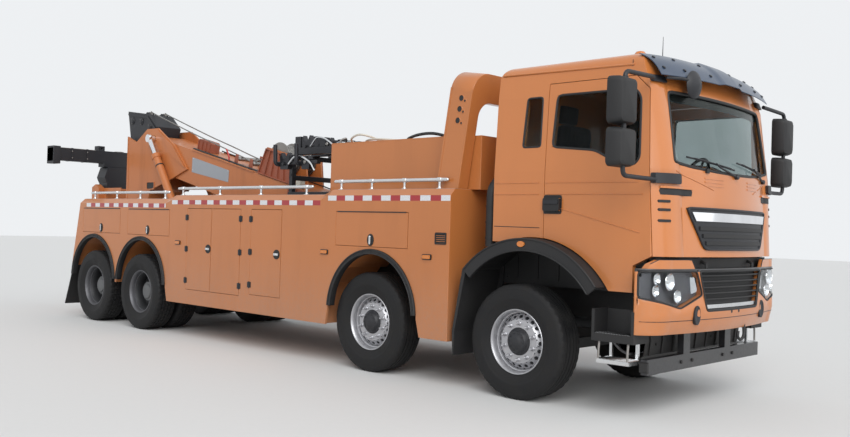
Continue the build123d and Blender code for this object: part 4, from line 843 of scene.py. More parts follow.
class TOWTRUCK_OT_finishes(bpy.types.Operator):
    """Makes the materials and gives each CAD solid its finish"""

    bl_idname = "towtruck.finishes"
    bl_label = "Finishes"

    def execute(self, context):
        make_finishes()
        slots = {row["node"]: row["material_slot"] for row in frame["record"]["subparts"]}
        for name, node in nodes.items():
            node.data.materials.clear()
            node.data.materials.append(finish[CAD_FINISH[slots[name]]])
            width = SOFTENED.get(name)
            if name.startswith("locker_") and name != "locker_body":
                width = LOCKER_DOOR_BEVEL
            if width:
                weld = node.modifiers.new("weld", "WELD")
                weld.merge_threshold = NODE_WELD_REACH
                add_bevel(node, width, NODE_BEVEL_ANGLE)
        nodes["cab_glass"].data.materials[0] = finish["screen_glass"]
        nodes["front_bumper"].data.materials[0] = finish["bumper_paint"]
        return {"FINISHED"}


TYRE_RADIUS = 0.525
TYRE_SIDE = [
    (0.2845, 0.1130), (0.2990, 0.1190), (0.3030, 0.1270), (0.3120, 0.1290), (0.3300, 0.1380),
    (0.3600, 0.1505), (0.3800, 0.1540), (0.3830, 0.1560), (0.3950, 0.1575), (0.4250, 0.1575),
    (0.4550, 0.1545), (0.4780, 0.1500), (0.4810, 0.1510), (0.4870, 0.1490), (0.5000, 0.1440),
    (0.5130, 0.1360),
]
TREAD_EDGES = [0.1195, 0.0770, 0.0660, 0.0320, 0.0210]
GROOVE_WALL = 0.001
TYRE_SEGMENTS = 168
LUG_PITCH = 4
TWIN_SPACING = 0.352


def tyre_profile(depth):
    """(radius, along, is a rib) across one tyre."""
    half = [(radius, along, False) for radius, along in TYRE_SIDE]
    half.append((TYRE_RADIUS, TREAD_EDGES[0], True))
    for rib, groove in zip(TREAD_EDGES[1::2], TREAD_EDGES[2::2]):
        half += [
            (TYRE_RADIUS, rib, True), (TYRE_RADIUS - depth, rib - GROOVE_WALL, False),
            (TYRE_RADIUS - depth, groove + GROOVE_WALL, False), (TYRE_RADIUS, groove, True),
        ]
    mirrored = [(radius, -along, rib) for radius, along, rib in reversed(half)]
    return half + mirrored


def add_tyre(piece, centre, lugged, depth):
    """One tyre turned about Y, with the ribs cut across into blocks."""
    inmost, share = (0.02, 0.9) if lugged else (0.10, 0.45)
    rows = []
    for radius, along, rib in tyre_profile(depth):
        first = 0 if abs(along) > 0.06 else LUG_PITCH // 2
        row = []
        for i, (c, s) in enumerate(turns(TYRE_SEGMENTS)):
            is_cut = rib and abs(along) > inmost and i % LUG_PITCH == first
            reach = radius - (depth * share if is_cut else 0.0)
            row.append((centre[0] + reach * c, centre[1] + along, centre[2] + reach * s))
        rows.append(row)
    piece.hoop(rows)


class TOWTRUCK_OT_tyres(bpy.types.Operator):
    """Treaded tyres, single on the steered axles and twin on the others"""

    bl_idname = "towtruck.tyres"
    bl_label = "Tyres"

    def execute(self, context):
        depth = sizes().tread_depth
        for axle in ALL_AXLES:
            for side_name, _ in SIDES:
                centre = joint_place(f"wheel_{axle}_{side_name}_spin")
                steered = axle in STEER_AXLES
                offsets = (0.0,) if steered else (-TWIN_SPACING / 2, TWIN_SPACING / 2)
                piece = Piece(f"tyre_tread_{axle}_{side_name}", "tyre_rubber")
                for offset in offsets:
                    add_tyre(piece, (centre.x, centre.y + offset, centre.z), not steered, depth)
                piece.done(
                    f"wheel_{axle}_{side_name}", "tyre_rubber",
                    replaces=[f"tyre_{axle}_{side_name}"], angle=28, merge=False,
                )
        return {"FINISHED"}


RIM_BARREL = [
    (0.2840, -0.1130), (0.2980, -0.1150), (0.2980, -0.1245), (0.2900, -0.1260), (0.2720, -0.1200),
    (0.2660, -0.0900), (0.2560, -0.0600), (0.2500, -0.0200), (0.2500, 0.0200), (0.2560, 0.0350),
    (0.2640, 0.0550), (0.2700, 0.0580), (0.2720, 0.0900), (0.2790, 0.1130), (0.2880, 0.1255),
    (0.2945, 0.1270), (0.2985, 0.1235), (0.2980, 0.1150), (0.2840, 0.1130),
]
TWIN_OUTER_LIP = [
    (0.2640, 0.2320), (0.2700, 0.2350), (0.2715, 0.2680), (0.2790, 0.2905), (0.2885, 0.3025),
    (0.2945, 0.3035), (0.2988, 0.2998), (0.2988, 0.2950),
]
FRONT_HUB = [
    (0.262, -0.100), (0.120, -0.100), (0.127, 0.086), (0.122, 0.094), (0.112, 0.098), (0.106, 0.110),
    (0.094, 0.126), (0.060, 0.132), (0.050, 0.140), (0.030, 0.146), (0.004, 0.147),
]
TWIN_HUB = [
    (0.262, -0.250), (0.135, -0.250), (0.135, 0.060), (0.124, 0.070), (0.118, 0.160), (0.132, 0.166),
    (0.132, 0.182), (0.104, 0.190), (0.098, 0.206), (0.060, 0.214), (0.004, 0.215),
]
NUT_CIRCLE = 0.1675
NUTS = 10
NUT_WASHER = [(0.022, 0), (0.022, 0.005), (0.019, 0.008)]
STUD_END = [(0.010, 0.028), (0.010, 0.044), (0.008, 0.047)]
RIM_SHEET = 0.014
FRONT_DISC = [(0.128, 0.066), (0.200, 0.068), (0.200, 0.082), (0.128, 0.084)]
FRONT_DISC_BACK = [(0.200, 0.066), (0.252, 0.020), (0.262, 0.008), (0.262, 0.028), (0.252, 0.0345)]
FRONT_VENTS = 20
FRONT_VENT_CIRCLES = ((0.200, 0.082), (0.252, 0.036))
FRONT_HUB_BOLTS = 10
VALVE = ((0, 0, 0), (0.012, 0.030, 0), (0.014, 0.062, 0))
TWIN_DISC = [(0.130, 0.002), (0.204, 0.002), (0.204, 0.018), (0.130, 0.018)]
TWIN_DISC_BACK = [(0.254, 0.058), (0.262, 0.090), (0.254, 0.070)]
TWIN_VENTS = 10
TWIN_VENT_CIRCLES = ((0.204, 0.018), (0.254, 0.070))
TWIN_HUB_BOLTS = 12


def ring_place(centre, facing, inner, outer, sector, turn):
    """Maps a patch onto a cone between two (radius, along) circles."""
    def place(s, t, depth):
        share = (t + 1) / 2
        radius = inner[0] + (outer[0] - inner[0]) * share
        along = inner[1] + (outer[1] - inner[1]) * share - RIM_SHEET * depth
        angle = turn + s * sector
        return (
            centre[0] + radius * math.cos(angle),
            centre[1] + facing * along,
            centre[2] + radius * math.sin(angle),
        )
    return place


def add_vents(piece, centre, facing, inner, outer, vents, hole, start=0.0):
    """A cone of patches, each with a round vent."""
    for i in range(vents):
        turn = math.tau * (i + start) / vents
        place = ring_place(centre, facing, inner, outer, math.pi / vents, turn)
        piece.holed(place, hole)


def add_nuts(piece, centre, facing, along):
    """Wheel nuts on their washers, with the ends of the studs."""
    for spot in spots_around(centre, NUT_CIRCLE, facing * along, NUTS, math.pi / NUTS):
        piece.turned(NUT_WASHER, spot, "Y", 16, facing=facing)
        piece.hexagon(spot, 0.0175, 0.030, facing=facing)
        piece.turned(STUD_END, spot, "Y", 12, facing=facing)


class TOWTRUCK_OT_rims(bpy.types.Operator):
    """Disc wheels with vents, nuts and hubs"""

    bl_idname = "towtruck.rims"
    bl_label = "Rims"

    def execute(self, context):
        for axle in ALL_AXLES:
            for side_name, side in SIDES:
                centre = joint_place(f"wheel_{axle}_{side_name}_spin")
                if axle in STEER_AXLES:
                    self.single(axle, side_name, side, centre)
                else:
                    self.twin(axle, side_name, side, centre)
        return {"FINISHED"}

    def single(self, axle, side_name, side, centre):
        """A bright dished front wheel with a ring of small vents."""
        piece = Piece(f"wheel_disc_{axle}_{side_name}", "rim_silver")
        piece.turned(RIM_BARREL[:-1], centre, "Y", 96, closed=True, facing=side)
        add_vents(piece, centre, side, *FRONT_VENT_CIRCLES, FRONT_VENTS, 0.56)
        piece.use("satin_black")
        piece.turned(FRONT_DISC_BACK, centre, "Y", 80, facing=side, cap=False)
        piece.use("rim_silver")
        piece.turned(FRONT_DISC, centre, "Y", 80, closed=True, facing=side)
        add_nuts(piece, centre, side, 0.083)
        piece.use("satin_black")
        piece.turned(FRONT_HUB, centre, "Y", 64, facing=side)
        for spot in spots_around(centre, 0.082, side * 0.124, FRONT_HUB_BOLTS):
            piece.hexagon(spot, 0.0085, 0.010, facing=side)
        piece.use("chrome")
        valve = centre + Vector((0.225, side * 0.070, -0.02))
        piece.tube([valve + Vector((x, side * y, z)) for x, y, z in VALVE], 0.0045, 8)
        wheel = f"{axle}_{side_name}"
        piece.done(f"wheel_{wheel}", "rim_silver", replaces=[f"rim_{wheel}"], angle=30)

    def twin(self, axle, side_name, side, centre):
        """Two dark wheels back to back; the outer one's disc lies deep inside."""
        piece = Piece(f"wheel_disc_{axle}_{side_name}", "rim_grey")
        for offset in (-TWIN_SPACING / 2, TWIN_SPACING / 2):
            spot = centre + Vector((0, offset, 0))
            outward = 1 if offset * side > 0 else -1
            piece.turned(RIM_BARREL[:-1], spot, "Y", 96, closed=True, facing=side * outward)
        piece.use("rim_edge")
        piece.turned(TWIN_OUTER_LIP, centre, "Y", 96, facing=side, cap=False)
        piece.use("rim_grey")
        add_vents(piece, centre, side, *TWIN_VENT_CIRCLES, TWIN_VENTS, 0.42, 0.5)
        piece.turned(TWIN_DISC, centre, "Y", 80, closed=True, facing=side)
        piece.turned(TWIN_DISC_BACK, centre, "Y", 80, facing=side, cap=False)
        add_nuts(piece, centre, side, 0.018)
        piece.use("cast_grey")
        piece.turned(TWIN_HUB, centre, "Y", 64, facing=side)
        for spot in spots_around(centre, 0.118, side * 0.182, TWIN_HUB_BOLTS):
            piece.hexagon(spot, 0.0085, 0.010, facing=side)
        wheel = f"{axle}_{side_name}"
        piece.done(f"wheel_{wheel}", "rim_grey", replaces=[f"rim_{wheel}"], angle=30)


SIDE_TOPS = (
    # rear gap, front gap, height of the side's top edge
    (8.19, 5.92, 1.763),
    (5.76, 2.69, 1.809),
    (2.56, 0.76, 1.862),
)
LOCKER_TOPS = (
    # rear gap, front gap, height of the flat top
    (8.36, 5.94, 1.828),
    (5.75, 2.70, 1.874),
    (2.55, 0.77, 1.927),
)
DECK_HEIGHT = 1.190
TREAD_SHEET = 0.0025
TAPE_SHEET = 0.0008
TAPE_DROP = 0.002
MARKERS = (
    # gap, height
    (5.581, 1.245),
    (2.594, 1.241),
    (1.045, 1.252),
)
ARCH_GAPS = (1.850, 6.550, 7.925)
ARCH_ANGLES = (3, 177)
ARCH_Z = 0.628
ARCH_RADIUS = 0.672
ARCH_STEPS = 64
ARCH_SCREWS = 14
CAB_ARCH_ANGLES = (36.5, 137.5)
CAB_ARCH_LIPS = ((0.946, 0.009), (0.842, 0.008))
LATCHES = (
    # door, gap, height, is upright
    ("flip_4", 7.706, 1.398, True),
    ("flip_3", 6.374, 1.392, True),
    ("double_rear", 4.870, 1.186, False),
    ("single", 3.450, 1.175, False),
    ("flip_2", 1.862, 1.394, True),
)
HINGES = (
    # gap of the hinge line, heights
    (5.376, (0.760, 1.170, 1.580)),
    (4.180, (0.760, 1.170, 1.580)),
    (3.970, (0.790, 1.185, 1.580)),
)
HINGE_OUT = 0.006
HINGE_HALF = 0.040
FLIP_HINGES = (
    # rear gap, front gap, height of the hinge line
    (8.290, 7.145, 1.684),
    (6.930, 5.810, 1.680),
    (2.420, 1.318, 1.687),
)
RAIL_RUNS = (
    # rear gap, front gap, height of the body below
    (8.230, 6.010, 1.828),
    (5.760, 2.960, 1.874),
    (2.560, 0.900, 1.927),
)
RAIL_ASIDE = 1.145
RAIL_RISE = 0.092
RAIL_END_GAP = 0.1
RAIL_FEET = 4
REAR_LAMP_FOOT = (-8.607, 0.840)
REAR_LAMP_TOP = (-8.380, 1.790)
REAR_LAMP_INSET = 0.22


def oval(a, b, middle=(0, 0), count=28):
    """An oval outline with half sizes a and b."""
    return [(middle[0] + a * c, middle[1] + b * s) for c, s in turns(count)]


def rounded_box(a, b, radius, middle=(0, 0), steps=4):
    """A rounded rectangle with half sizes a and b."""
    places = []
    for corner in range(4):
        sx = 1 if corner in (0, 3) else -1
        sy = 1 if corner in (0, 1) else -1
        for i in range(steps + 1):
            angle = math.pi / 2 * (corner + i / steps)
            places.append((
                middle[0] + sx * (a - radius) + radius * math.cos(angle),
                middle[1] + sy * (b - radius) + radius * math.sin(angle),
            ))
    return places


def arc_points(x, z, radius, angles):
    """Points of a circle in the X-Z plane, at angles in degrees."""
    return [
        (x + radius * math.cos(math.radians(angle)), z + radius * math.sin(math.radians(angle)))
        for angle in angles
    ]


class TOWTRUCK_OT_body(bpy.types.Operator):
    """Tape, latches, hinges, markers, rails and tread plate of the locker body"""

    bl_idname = "towtruck.body"
    bl_label = "Body fittings"

    def execute(self, context):
        for side_name, side in SIDES:
            self.tape(side_name, side)
            self.latches(side_name, side)
            self.fittings(side_name, side)
            self.arches(side_name, side)
        self.tread()
        self.rails()
        return {"FINISHED"}

    def tape(self, side_name, side):
        """Blocks of tape, white and red in turn, along the sides' top edges."""
        piece = Piece(f"reflective_tape_{side_name}", "tape_red")
        block = sizes().tape_block
        face = side * HALF_WIDTH
        for rear, front, top in SIDE_TOPS:
            upper = top - TAPE_DROP
            levels = (upper - sizes().tape_height, upper)
            start = rear
            number = 0
            while start > front + 0.001:
                end = max(front, start - block)
                piece.use("tape_red" if number % 2 else "tape_white")
                piece.box((ahead(-start), ahead(-end)), (face, face + side * TAPE_SHEET), levels)
                start = end
                number += 1
        piece.done("chassis", "body_orange", merge=False)

    def latches(self, side_name, side):
        """An oval dish with a bar and a lock on each locker door."""
        face = side * HALF_WIDTH
        for door, gap, height, upright in LATCHES:
            piece = Piece(f"latch_{door}_{side_name}", "grained_black")
            centre = (ahead(-gap), height)
            a, b = (0.050, 0.064) if upright else (0.060, 0.056)
            piece.prism(oval(a, b, centre), face - side * 0.004, face + side * 0.005)
            piece.prism(oval(a * 0.80, b * 0.82, centre), face + side * 0.005, face + side * 0.007)
            piece.use("bright_tube")
            a, b = (0.013, 0.046) if upright else (0.044, 0.014)
            piece.prism(rounded_box(a, b, 0.010, centre), face + side * 0.009, face + side * 0.017)
            pin = (centre[0], face + side * 0.006, height + (0.030 if upright else 0.0))
            piece.turned([(0.011, 0), (0.011, 0.014), (0.008, 0.016)], pin, "Y", 20, facing=side)
            aside, below = (0.0, 0.034) if upright else (-0.028, 0.0)
            lock = (centre[0] + aside, face + side * 0.006, height - below)
            piece.turned([(0.008, 0), (0.008, 0.013), (0.006, 0.0135)], lock, "Y", 16, facing=side)
            piece.done(f"locker_{door}_{side_name}", "black_plastic", bevel=0.0012)

    def fittings(self, side_name, side):
        """Hinges, amber side markers and the rear lamps."""
        face = side * HALF_WIDTH
        piece = Piece(f"body_hinges_{side_name}", "satin_black")
        for gap, heights in HINGES:
            for height in heights:
                x = ahead(-gap)
                knuckle = face + side * HINGE_OUT
                piece.tube([(x, knuckle, height + end) for end in (-HINGE_HALF, HINGE_HALF)], 0.007)
                for leaf in (-1, 1):
                    outline = rounded_box(0.017, 0.034, 0.006, (x + leaf * 0.019, height))
                    piece.prism(outline, face + side * 0.0005, face + side * 0.004)
        for rear, front, height in FLIP_HINGES:
            ends = (ahead(-rear + 0.03), ahead(-front - 0.03))
            piece.tube([(x, face + side * 0.003, height) for x in ends], 0.0055)
        piece.done("chassis", "black_plastic", merge=False)
        marker = Piece(f"side_markers_{side_name}", "grained_black")
        for gap, height in MARKERS:
            centre = (ahead(-gap), height)
            marker.use("grained_black")
            marker.prism(rounded_box(0.062, 0.027, 0.012, centre), face, face + side * 0.012)
            marker.use("lens_amber")
            marker.prism(rounded_box(0.052, 0.019, 0.009, centre), face + side * 0.012, face + side * 0.021)
        marker.done("chassis", "lamp_lens", bevel=0.003)
        self.rear_lamps(side_name, side)

    def rear_lamps(self, side_name, side):
        """Round lamps on the body's leaning rear edge."""
        foot, top = (Vector((ahead(gap), 0, z)) for gap, z in (REAR_LAMP_FOOT, REAR_LAMP_TOP))
        along = (top - foot).normalized()
        outward = Vector((-along.z, 0, along.x))
        piece = Piece(f"rear_lamps_{side_name}", "grained_black")
        middle_y = side * (HALF_WIDTH - REAR_LAMP_INSET)
        for share, lens in ((0.24, "lens_red"), (0.40, "lens_amber"), (0.56, "lens_white")):
            centre = foot.lerp(top, share) + Vector((0, middle_y, 0))
            piece.use("grained_black")
            piece.disc(centre, along, outward, ((0.074, 0.0), (0.074, 0.022), (0.066, 0.028)))
            piece.use(lens)
            dome = ((0.063, 0.027), (0.056, 0.038), (0.030, 0.044), (0.004, 0.045))
            piece.disc(centre, along, outward, dome)
        for share in (0.80, 0.88):
            centre = foot.lerp(top, share) + Vector((0, middle_y, 0))
            piece.use("lens_red")
            piece.disc(centre, along, outward, ((0.036, 0.0), (0.034, 0.010), (0.004, 0.012)))
        piece.done("chassis", "lamp_lens")

    def arches(self, side_name, side):
        """Double lips and screws on the arch trims."""
        piece = Piece(f"arch_lips_{side_name}", "grained_black")
        face = side * (HALF_WIDTH + 0.012)
        first, middle, last = ARCH_GAPS
        cusp = (ahead(-last) + ahead(-middle)) / 2
        low, high = ARCH_ANGLES

        def in_arch(gap, x, margin=0.0):
            """Whether a place is on its own arch's side of the cusp between the two rear arches."""
            if gap == last:
                return x <= cusp - margin
            return gap == first or x >= cusp + margin

        for gap in ARCH_GAPS:
            centre = ahead(-gap)
            for radius, thick in ((ARCH_RADIUS - 0.009, 0.009), (ARCH_RADIUS - 0.048, 0.007)):
                arc = arc_points(centre, ARCH_Z, radius, spread(low, high, ARCH_STEPS))
                piece.tube([(x, face, z) for x, z in arc if in_arch(gap, x)], thick, 10)
            angles = spread(low + 6, high - 6, ARCH_SCREWS)
            for x, z in arc_points(centre, ARCH_Z, ARCH_RADIUS - 0.028, angles):
                if in_arch(gap, x, 0.02):
                    piece.hexagon((x, face, z), 0.0085, 0.006, facing=side)
        for radius, thick in CAB_ARCH_LIPS:
            arc = arc_points(ahead(0.130), 0.520, radius, spread(*CAB_ARCH_ANGLES, ARCH_STEPS))
            piece.tube([(x, side * HALF_WIDTH, z) for x, z in arc], thick, 10)
        piece.done("chassis", "black_plastic", merge=False)

    def tread(self):
        """Tread plate on the lockers' tops and along the deck."""
        piece = Piece("tread_plates", "tread_plate")
        for rear, front, top in LOCKER_TOPS:
            for side in (-1, 1):
                x = (ahead(-rear), ahead(-front))
                piece.box(x, (side * 0.530, side * 1.172), (top, top + TREAD_SHEET))
        deck = (DECK_HEIGHT, DECK_HEIGHT + TREAD_SHEET)
        piece.box((ahead(-7.94), ahead(-2.60)), (-0.515, 0.515), deck)
        piece.done("chassis", "body_orange", merge=False)

    def rails(self):
        """Feet, joints and round ends of the handrails."""
        piece = Piece("rail_fittings", "bright_tube")
        radius = sizes().handrail
        foot = [(0.036, 0.0), (0.036, 0.005), (0.020, 0.010), (0.015, 0.022)]
        collar = ((-0.030, 1), (-0.026, 1.28), (0.026, 1.28), (0.030, 1))
        cap = ((0.0, 1), (0.010, 0.86), (0.018, 0.5), (0.021, 0.1))

        def along_rail(x, y, z, profile, way=1):
            path = [(x + way * shift, y, z) for shift, _ in profile]
            piece.tube(path, [radius * share for _, share in profile], 20)

        for rear, front, body_top in RAIL_RUNS:
            gaps = spread(front + RAIL_END_GAP, rear - RAIL_END_GAP, RAIL_FEET - 1)
            z = body_top + RAIL_RISE
            for y in (-RAIL_ASIDE, RAIL_ASIDE):
                for gap in gaps:
                    piece.turned(foot, (ahead(-gap), y, body_top), "Z", 24)
                    along_rail(ahead(-gap), y, z, collar)
                for end, way in ((rear, -1), (front, 1)):
                    along_rail(ahead(-end), y, z, cap, way)
        piece.done("chassis", "plated_steel", merge=False)


class Skin:
    """A rounded front given as plan sections, as the CAD model makes it."""

    def __init__(self, levels, corner_ahead, corner_aside):
        self.levels = levels
        self.corner_ahead = corner_ahead
        self.corner_aside = corner_aside

    def section(self, z):
        """The plan section's sizes at a height."""
        rows = self.levels
        z = min(max(z, rows[0][0]), rows[-1][0])
        for low, high in zip(rows, rows[1:]):
            if z <= high[0]:
                share = (z - low[0]) / (high[0] - low[0])
                return [a + (b - a) * share for a, b in zip(low[1:], high[1:])]
        return list(rows[-1][1:])

    def x(self, y, z, out=0.0):
        """X of the surface at (y, z), moved out along the plan's normal."""
        half, side_end, knee_gap, knee, nose_gap = self.section(z)
        y = abs(y)
        if y <= knee:
            sagitta = nose_gap - knee_gap
            radius = (knee * knee + sagitta * sagitta) / (2 * sagitta)
            reach = math.sqrt(radius * radius - y * y)
            return ahead(nose_gap - radius + reach + out * radius / reach)
        middle = (
            side_end + self.corner_ahead * (knee_gap - side_end),
            half - self.corner_aside * (half - knee),
        )
        first, last = (side_end, half), (knee_gap, knee)
        centre, radius = self.circle(first, middle, last)
        y = min(y, half)
        reach = math.sqrt(max(radius * radius - (y - centre[1]) ** 2, 1e-6))
        return ahead(centre[0] + reach + out * radius / max(reach, radius * 0.25))

    def circle(self, a, b, c):
        """Centre and radius of the circle through three points."""
        (ax, ay), (bx, by), (cx, cy) = a, b, c
        d = 2 * (ax * (by - cy) + bx * (cy - ay) + cx * (ay - by))
        a2, b2, c2 = ax * ax + ay * ay, bx * bx + by * by, cx * cx + cy * cy
        x = (a2 * (by - cy) + b2 * (cy - ay) + c2 * (ay - by)) / d
        y = (a2 * (cx - bx) + b2 * (ax - cx) + c2 * (bx - ax)) / d
        return (x, y), math.hypot(ax - x, ay - y)

    def spot(self, y, z, out=0.0):
        """The point of the surface at (y, z)."""
        return Vector((self.x(y, z, out), y, z))

    def side_y(self, z):
        """Half the width at a height."""
        return self.section(z)[0]


CAB = Skin(
    (
        # height, half width, side's front end, knee X, knee Y, nose X
        (1.050, 1.118, 1.335, 1.475, 0.800, 1.560),
        (2.080, 1.120, 1.300, 1.415, 0.820, 1.525),
        (2.760, 1.085, 1.262, 1.305, 0.880, 1.385),
        (3.070, 1.050, 1.150, 1.180, 0.880, 1.262),
    ),
    0.66, 0.30,
)
BUMPER = Skin(
    (
        (0.720, 1.240, 1.265, 1.415, 0.960, 1.508),
        (0.870, 1.240, 1.265, 1.455, 0.960, 1.548),
        (1.262, 1.240, 1.265, 1.445, 0.960, 1.538),
    ),
    0.68, 0.34,
)


def band(piece, skin, rows, low, high, count=24, side=1):
    """A plate that follows a skin. Each row is a height with its left and right Y."""
    loops = []
    for z, left, right in rows:
        ys = [side * y for y in spread(left, right, count)]
        loops.append([skin.spot(y, z, high) for y in ys] + [skin.spot(y, z, low) for y in reversed(ys)])
    piece.rings(loops)


def crossing(outline, z):
    """Where a level line crosses a convex outline of (y, z) points."""
    found = []
    for (ya, za), (yb, zb) in zip(outline, outline[1:] + outline[:1]):
        if za != zb and min(za, zb) <= z <= max(za, zb):
            found.append(ya + (yb - ya) * (z - za) / (zb - za))
    return min(found), max(found)


def filled_rows(outline, count):
    """The rows that fill a convex outline, for `band`."""
    heights = [pair[1] for pair in outline]
    margin = 0.0002
    levels = spread(min(heights) + margin, max(heights) - margin, count)
    return [(z, *crossing(outline, z)) for z in levels]


def closely(outline, step):
    """Points about a step apart along a closed outline."""
    for (xa, za), (xb, zb) in zip(outline, outline[1:] + outline[:1]):
        count = max(1, int(math.hypot(xb - xa, zb - za) / step))
        for i in range(count):
            yield xa + (xb - xa) * i / count, za + (zb - za) * i / count


def on_skin(skin, outline, out=0.0, step=0.04, side=1):
    """The outline's edge as points on a skin, close together."""
    return [skin.spot(side * y, z, out) for y, z in closely(outline, step)]


def on_side(outline, side, out=0.0, step=0.05):
    """The outline of (gap, z) points laid on the cab's side."""
    return [(ahead(x), side * (CAB.side_y(z) + out), z) for x, z in closely(outline, step)]


def side_line(side, start, end, count, out):
    """A straight line of (gap, z) points laid on the cab's side."""
    pairs = zip(spread(start[0], end[0], count), spread(start[1], end[1], count))
    return [(ahead(x), side * (CAB.side_y(z) + out), z) for x, z in pairs]


WINDSCREEN = [
    (-0.905, 2.150), (-0.905, 2.190), (-0.885, 2.740), (0.885, 2.740), (0.905, 2.190), (0.905, 2.150),
    (0.68, 2.115), (0.34, 2.092), (0.0, 2.085), (-0.34, 2.092), (-0.68, 2.115),
]
CAB_ROOF = 3.068
ROOF_LAMPS = (-0.86, -0.30, 0.0, 0.30, 0.86)
GRILLE_TOP = 1.770
GRILLE_FOOT = 1.427
GRILLE_FOOT_HALF = 0.550
GRILLE_FLARE = 0.641
PRESSED_LINES = (1.975, 1.872)
DOOR_CREASES = (
    # start and end, as (gap, z)
    ((0.26, 1.975), (1.20, 1.972)),
    ((0.26, 1.872), (1.24, 1.870)),
    ((0.41, 1.749), (1.22, 1.552)),
)
DOOR_FACE = 1.1205
DOOR_HANDLE = (0.345, 1.779)
DOOR_WINDOW = [
    (0.315, 2.293), (0.759, 2.249), (1.000, 2.130), (1.150, 2.112), (1.200, 2.170),
    (1.187, 2.680), (1.130, 2.752), (0.345, 2.755),
]
QUARTER_WINDOW = [(-0.015, 2.300), (0.185, 2.300), (0.185, 2.750), (0.015, 2.750)]


class TOWTRUCK_OT_cab(bpy.types.Operator):
    """Seals, creases, grille, wipers, handles and roof fittings of the cab"""

    bl_idname = "towtruck.cab"
    bl_label = "Cab fittings"

    def execute(self, context):
        self.seals()
        self.grille()
        self.front_details()
        self.sides()
        self.wipers()
        return {"FINISHED"}

    def seals(self):
        """Rubber seals round the windows, and a black band behind the windscreen's top that is painted shade of the
        visor.
        """
        piece = Piece("window_seals", "seal_rubber")
        piece.tube(on_skin(CAB, cut_corners(WINDSCREEN, 0.06), -0.004), 0.014, 8, loop=True)
        for side in (-1, 1):
            piece.tube(on_side(cut_corners(QUARTER_WINDOW, 0.03), side, -0.004), 0.010, 8, loop=True)
        # black band set behind the glass along the windscreen's top: painted shade that the visor casts
        strip = [(z, -0.886, 0.886) for z in (2.655, 2.680, 2.705, 2.735)]
        band(piece, CAB, strip, -0.026, -0.0245, 40)
        piece.done("chassis", "black_plastic", merge=False)
        for side_name, side in SIDES:
            piece = Piece(f"door_seal_{side_name}", "seal_rubber")
            piece.tube(on_side(cut_corners(DOOR_WINDOW, 0.05), side, -0.004), 0.011, 8, loop=True)
            piece.done(f"cab_door_{side_name}", "black_plastic", merge=False)

    def grille(self):
        """The upper grille: a black surround, a wide bright bar and three ribs."""
        piece = Piece("upper_grille", "satin_black")
        surround = [(1.430, -0.552, 0.552), (1.600, -0.662, 0.662), (GRILLE_TOP, -0.770, 0.770)]
        band(piece, CAB, surround, 0.0006, 0.008, 40)
        lip = [
            (-0.770, GRILLE_TOP), (0.770, GRILLE_TOP), (GRILLE_FOOT_HALF, GRILLE_FOOT),
            (-GRILLE_FOOT_HALF, GRILLE_FOOT),
        ]
        piece.tube(on_skin(CAB, cut_corners(lip, 0.05), 0.010), 0.011, 10, loop=True)
        for z in (1.478, 1.540, 1.602):
            half = self.grille_half(z) - 0.045
            piece.use("grained_black")
            rows = [(z + rise, -half, half) for rise in (-0.017, -0.010, 0.010, 0.017)]
            band(piece, CAB, rows, 0.004, 0.021, 40)
        piece.use("chrome")
        rows = []
        for z in spread(1.662, 1.738, 6):
            half = self.grille_half(z) - 0.035
            rows.append((z, -half, half))
        band(piece, CAB, rows, 0.006, 0.020, 44)
        piece.done("chassis", "black_plastic", bevel=0.003, replaces=["cab_trim"])

    def grille_half(self, z):
        """Half the grille's width at a height."""
        return GRILLE_FOOT_HALF + (z - GRILLE_FOOT) * GRILLE_FLARE

    def front_details(self):
        """Pressed slits, corner vents, roof lamps and the antenna."""
        piece = Piece("front_slits", "cab_paint")
        for left, right in ((-0.52, -0.24), (0.24, 0.52)):
            for level in (1.97, 2.00, 2.03):
                rows = [
                    (level - 0.006, left, right), (level, left - 0.004, right + 0.004),
                    (level + 0.006, left, right),
                ]
                band(piece, CAB, rows, -0.003, 0.005, 10)
        for side in (-1, 1):
            line = zip(spread(0.90, 0.40, 10), spread(2.070, 1.935, 10))
            piece.tube([CAB.spot(side * y, z, 0.001) for y, z in line], 0.005, 8)
        piece.done("chassis", "cab_orange", merge=False)
        piece = Piece("corner_vents", "grained_black")
        for side in (-1, 1):
            for z in (1.655, 1.745, 1.815):
                rows = [(z - 0.011, 0.985, 1.075), (z, 0.980, 1.080), (z + 0.011, 0.985, 1.075)]
                band(piece, CAB, rows, -0.002, 0.007, 8, side)
            rows = [(1.868, 0.700, 1.060), (1.900, 0.690, 1.070), (1.925, 0.700, 1.060)]
            band(piece, CAB, rows, 0.0005, 0.0025, 20, side)
            piece.use("cab_paint")
            rows = [(1.922, 0.690, 1.070), (1.932, 0.690, 1.070), (1.940, 0.694, 1.066)]
            band(piece, CAB, rows, 0.000, 0.014, 20, side)
            piece.use("grained_black")
        piece.box((ahead(1.475), ahead(1.502)), (-0.515, -0.465), (2.075, 2.112))
        piece.done("chassis", "black_plastic", bevel=0.002)
        piece = Piece("roof_lamps", "lens_amber")
        dome = [(0.052, 0.0), (0.050, 0.018), (0.036, 0.036), (0.010, 0.044)]
        for y in ROOF_LAMPS:
            piece.turned(dome, (ahead(1.03), y, CAB_ROOF), "Z", 28)
        piece.done("chassis", "lamp_lens")
        piece = Piece("antenna", "satin_black")
        foot = Vector((ahead(1.02), -0.46, CAB_ROOF))
        tip = Vector((ahead(0.99), -0.40, 3.318))
        piece.turned([(0.022, 0.0), (0.020, 0.012), (0.010, 0.030)], foot, "Z", 20)
        piece.tube([foot, foot.lerp(tip, 0.5), tip], [0.005, 0.0035, 0.002], 8)
        piece.done("chassis", "black_plastic")

    def sides(self):
        for side_name, side in SIDES:
            self.door(side_name, side)
            self.wall(side_name, side)

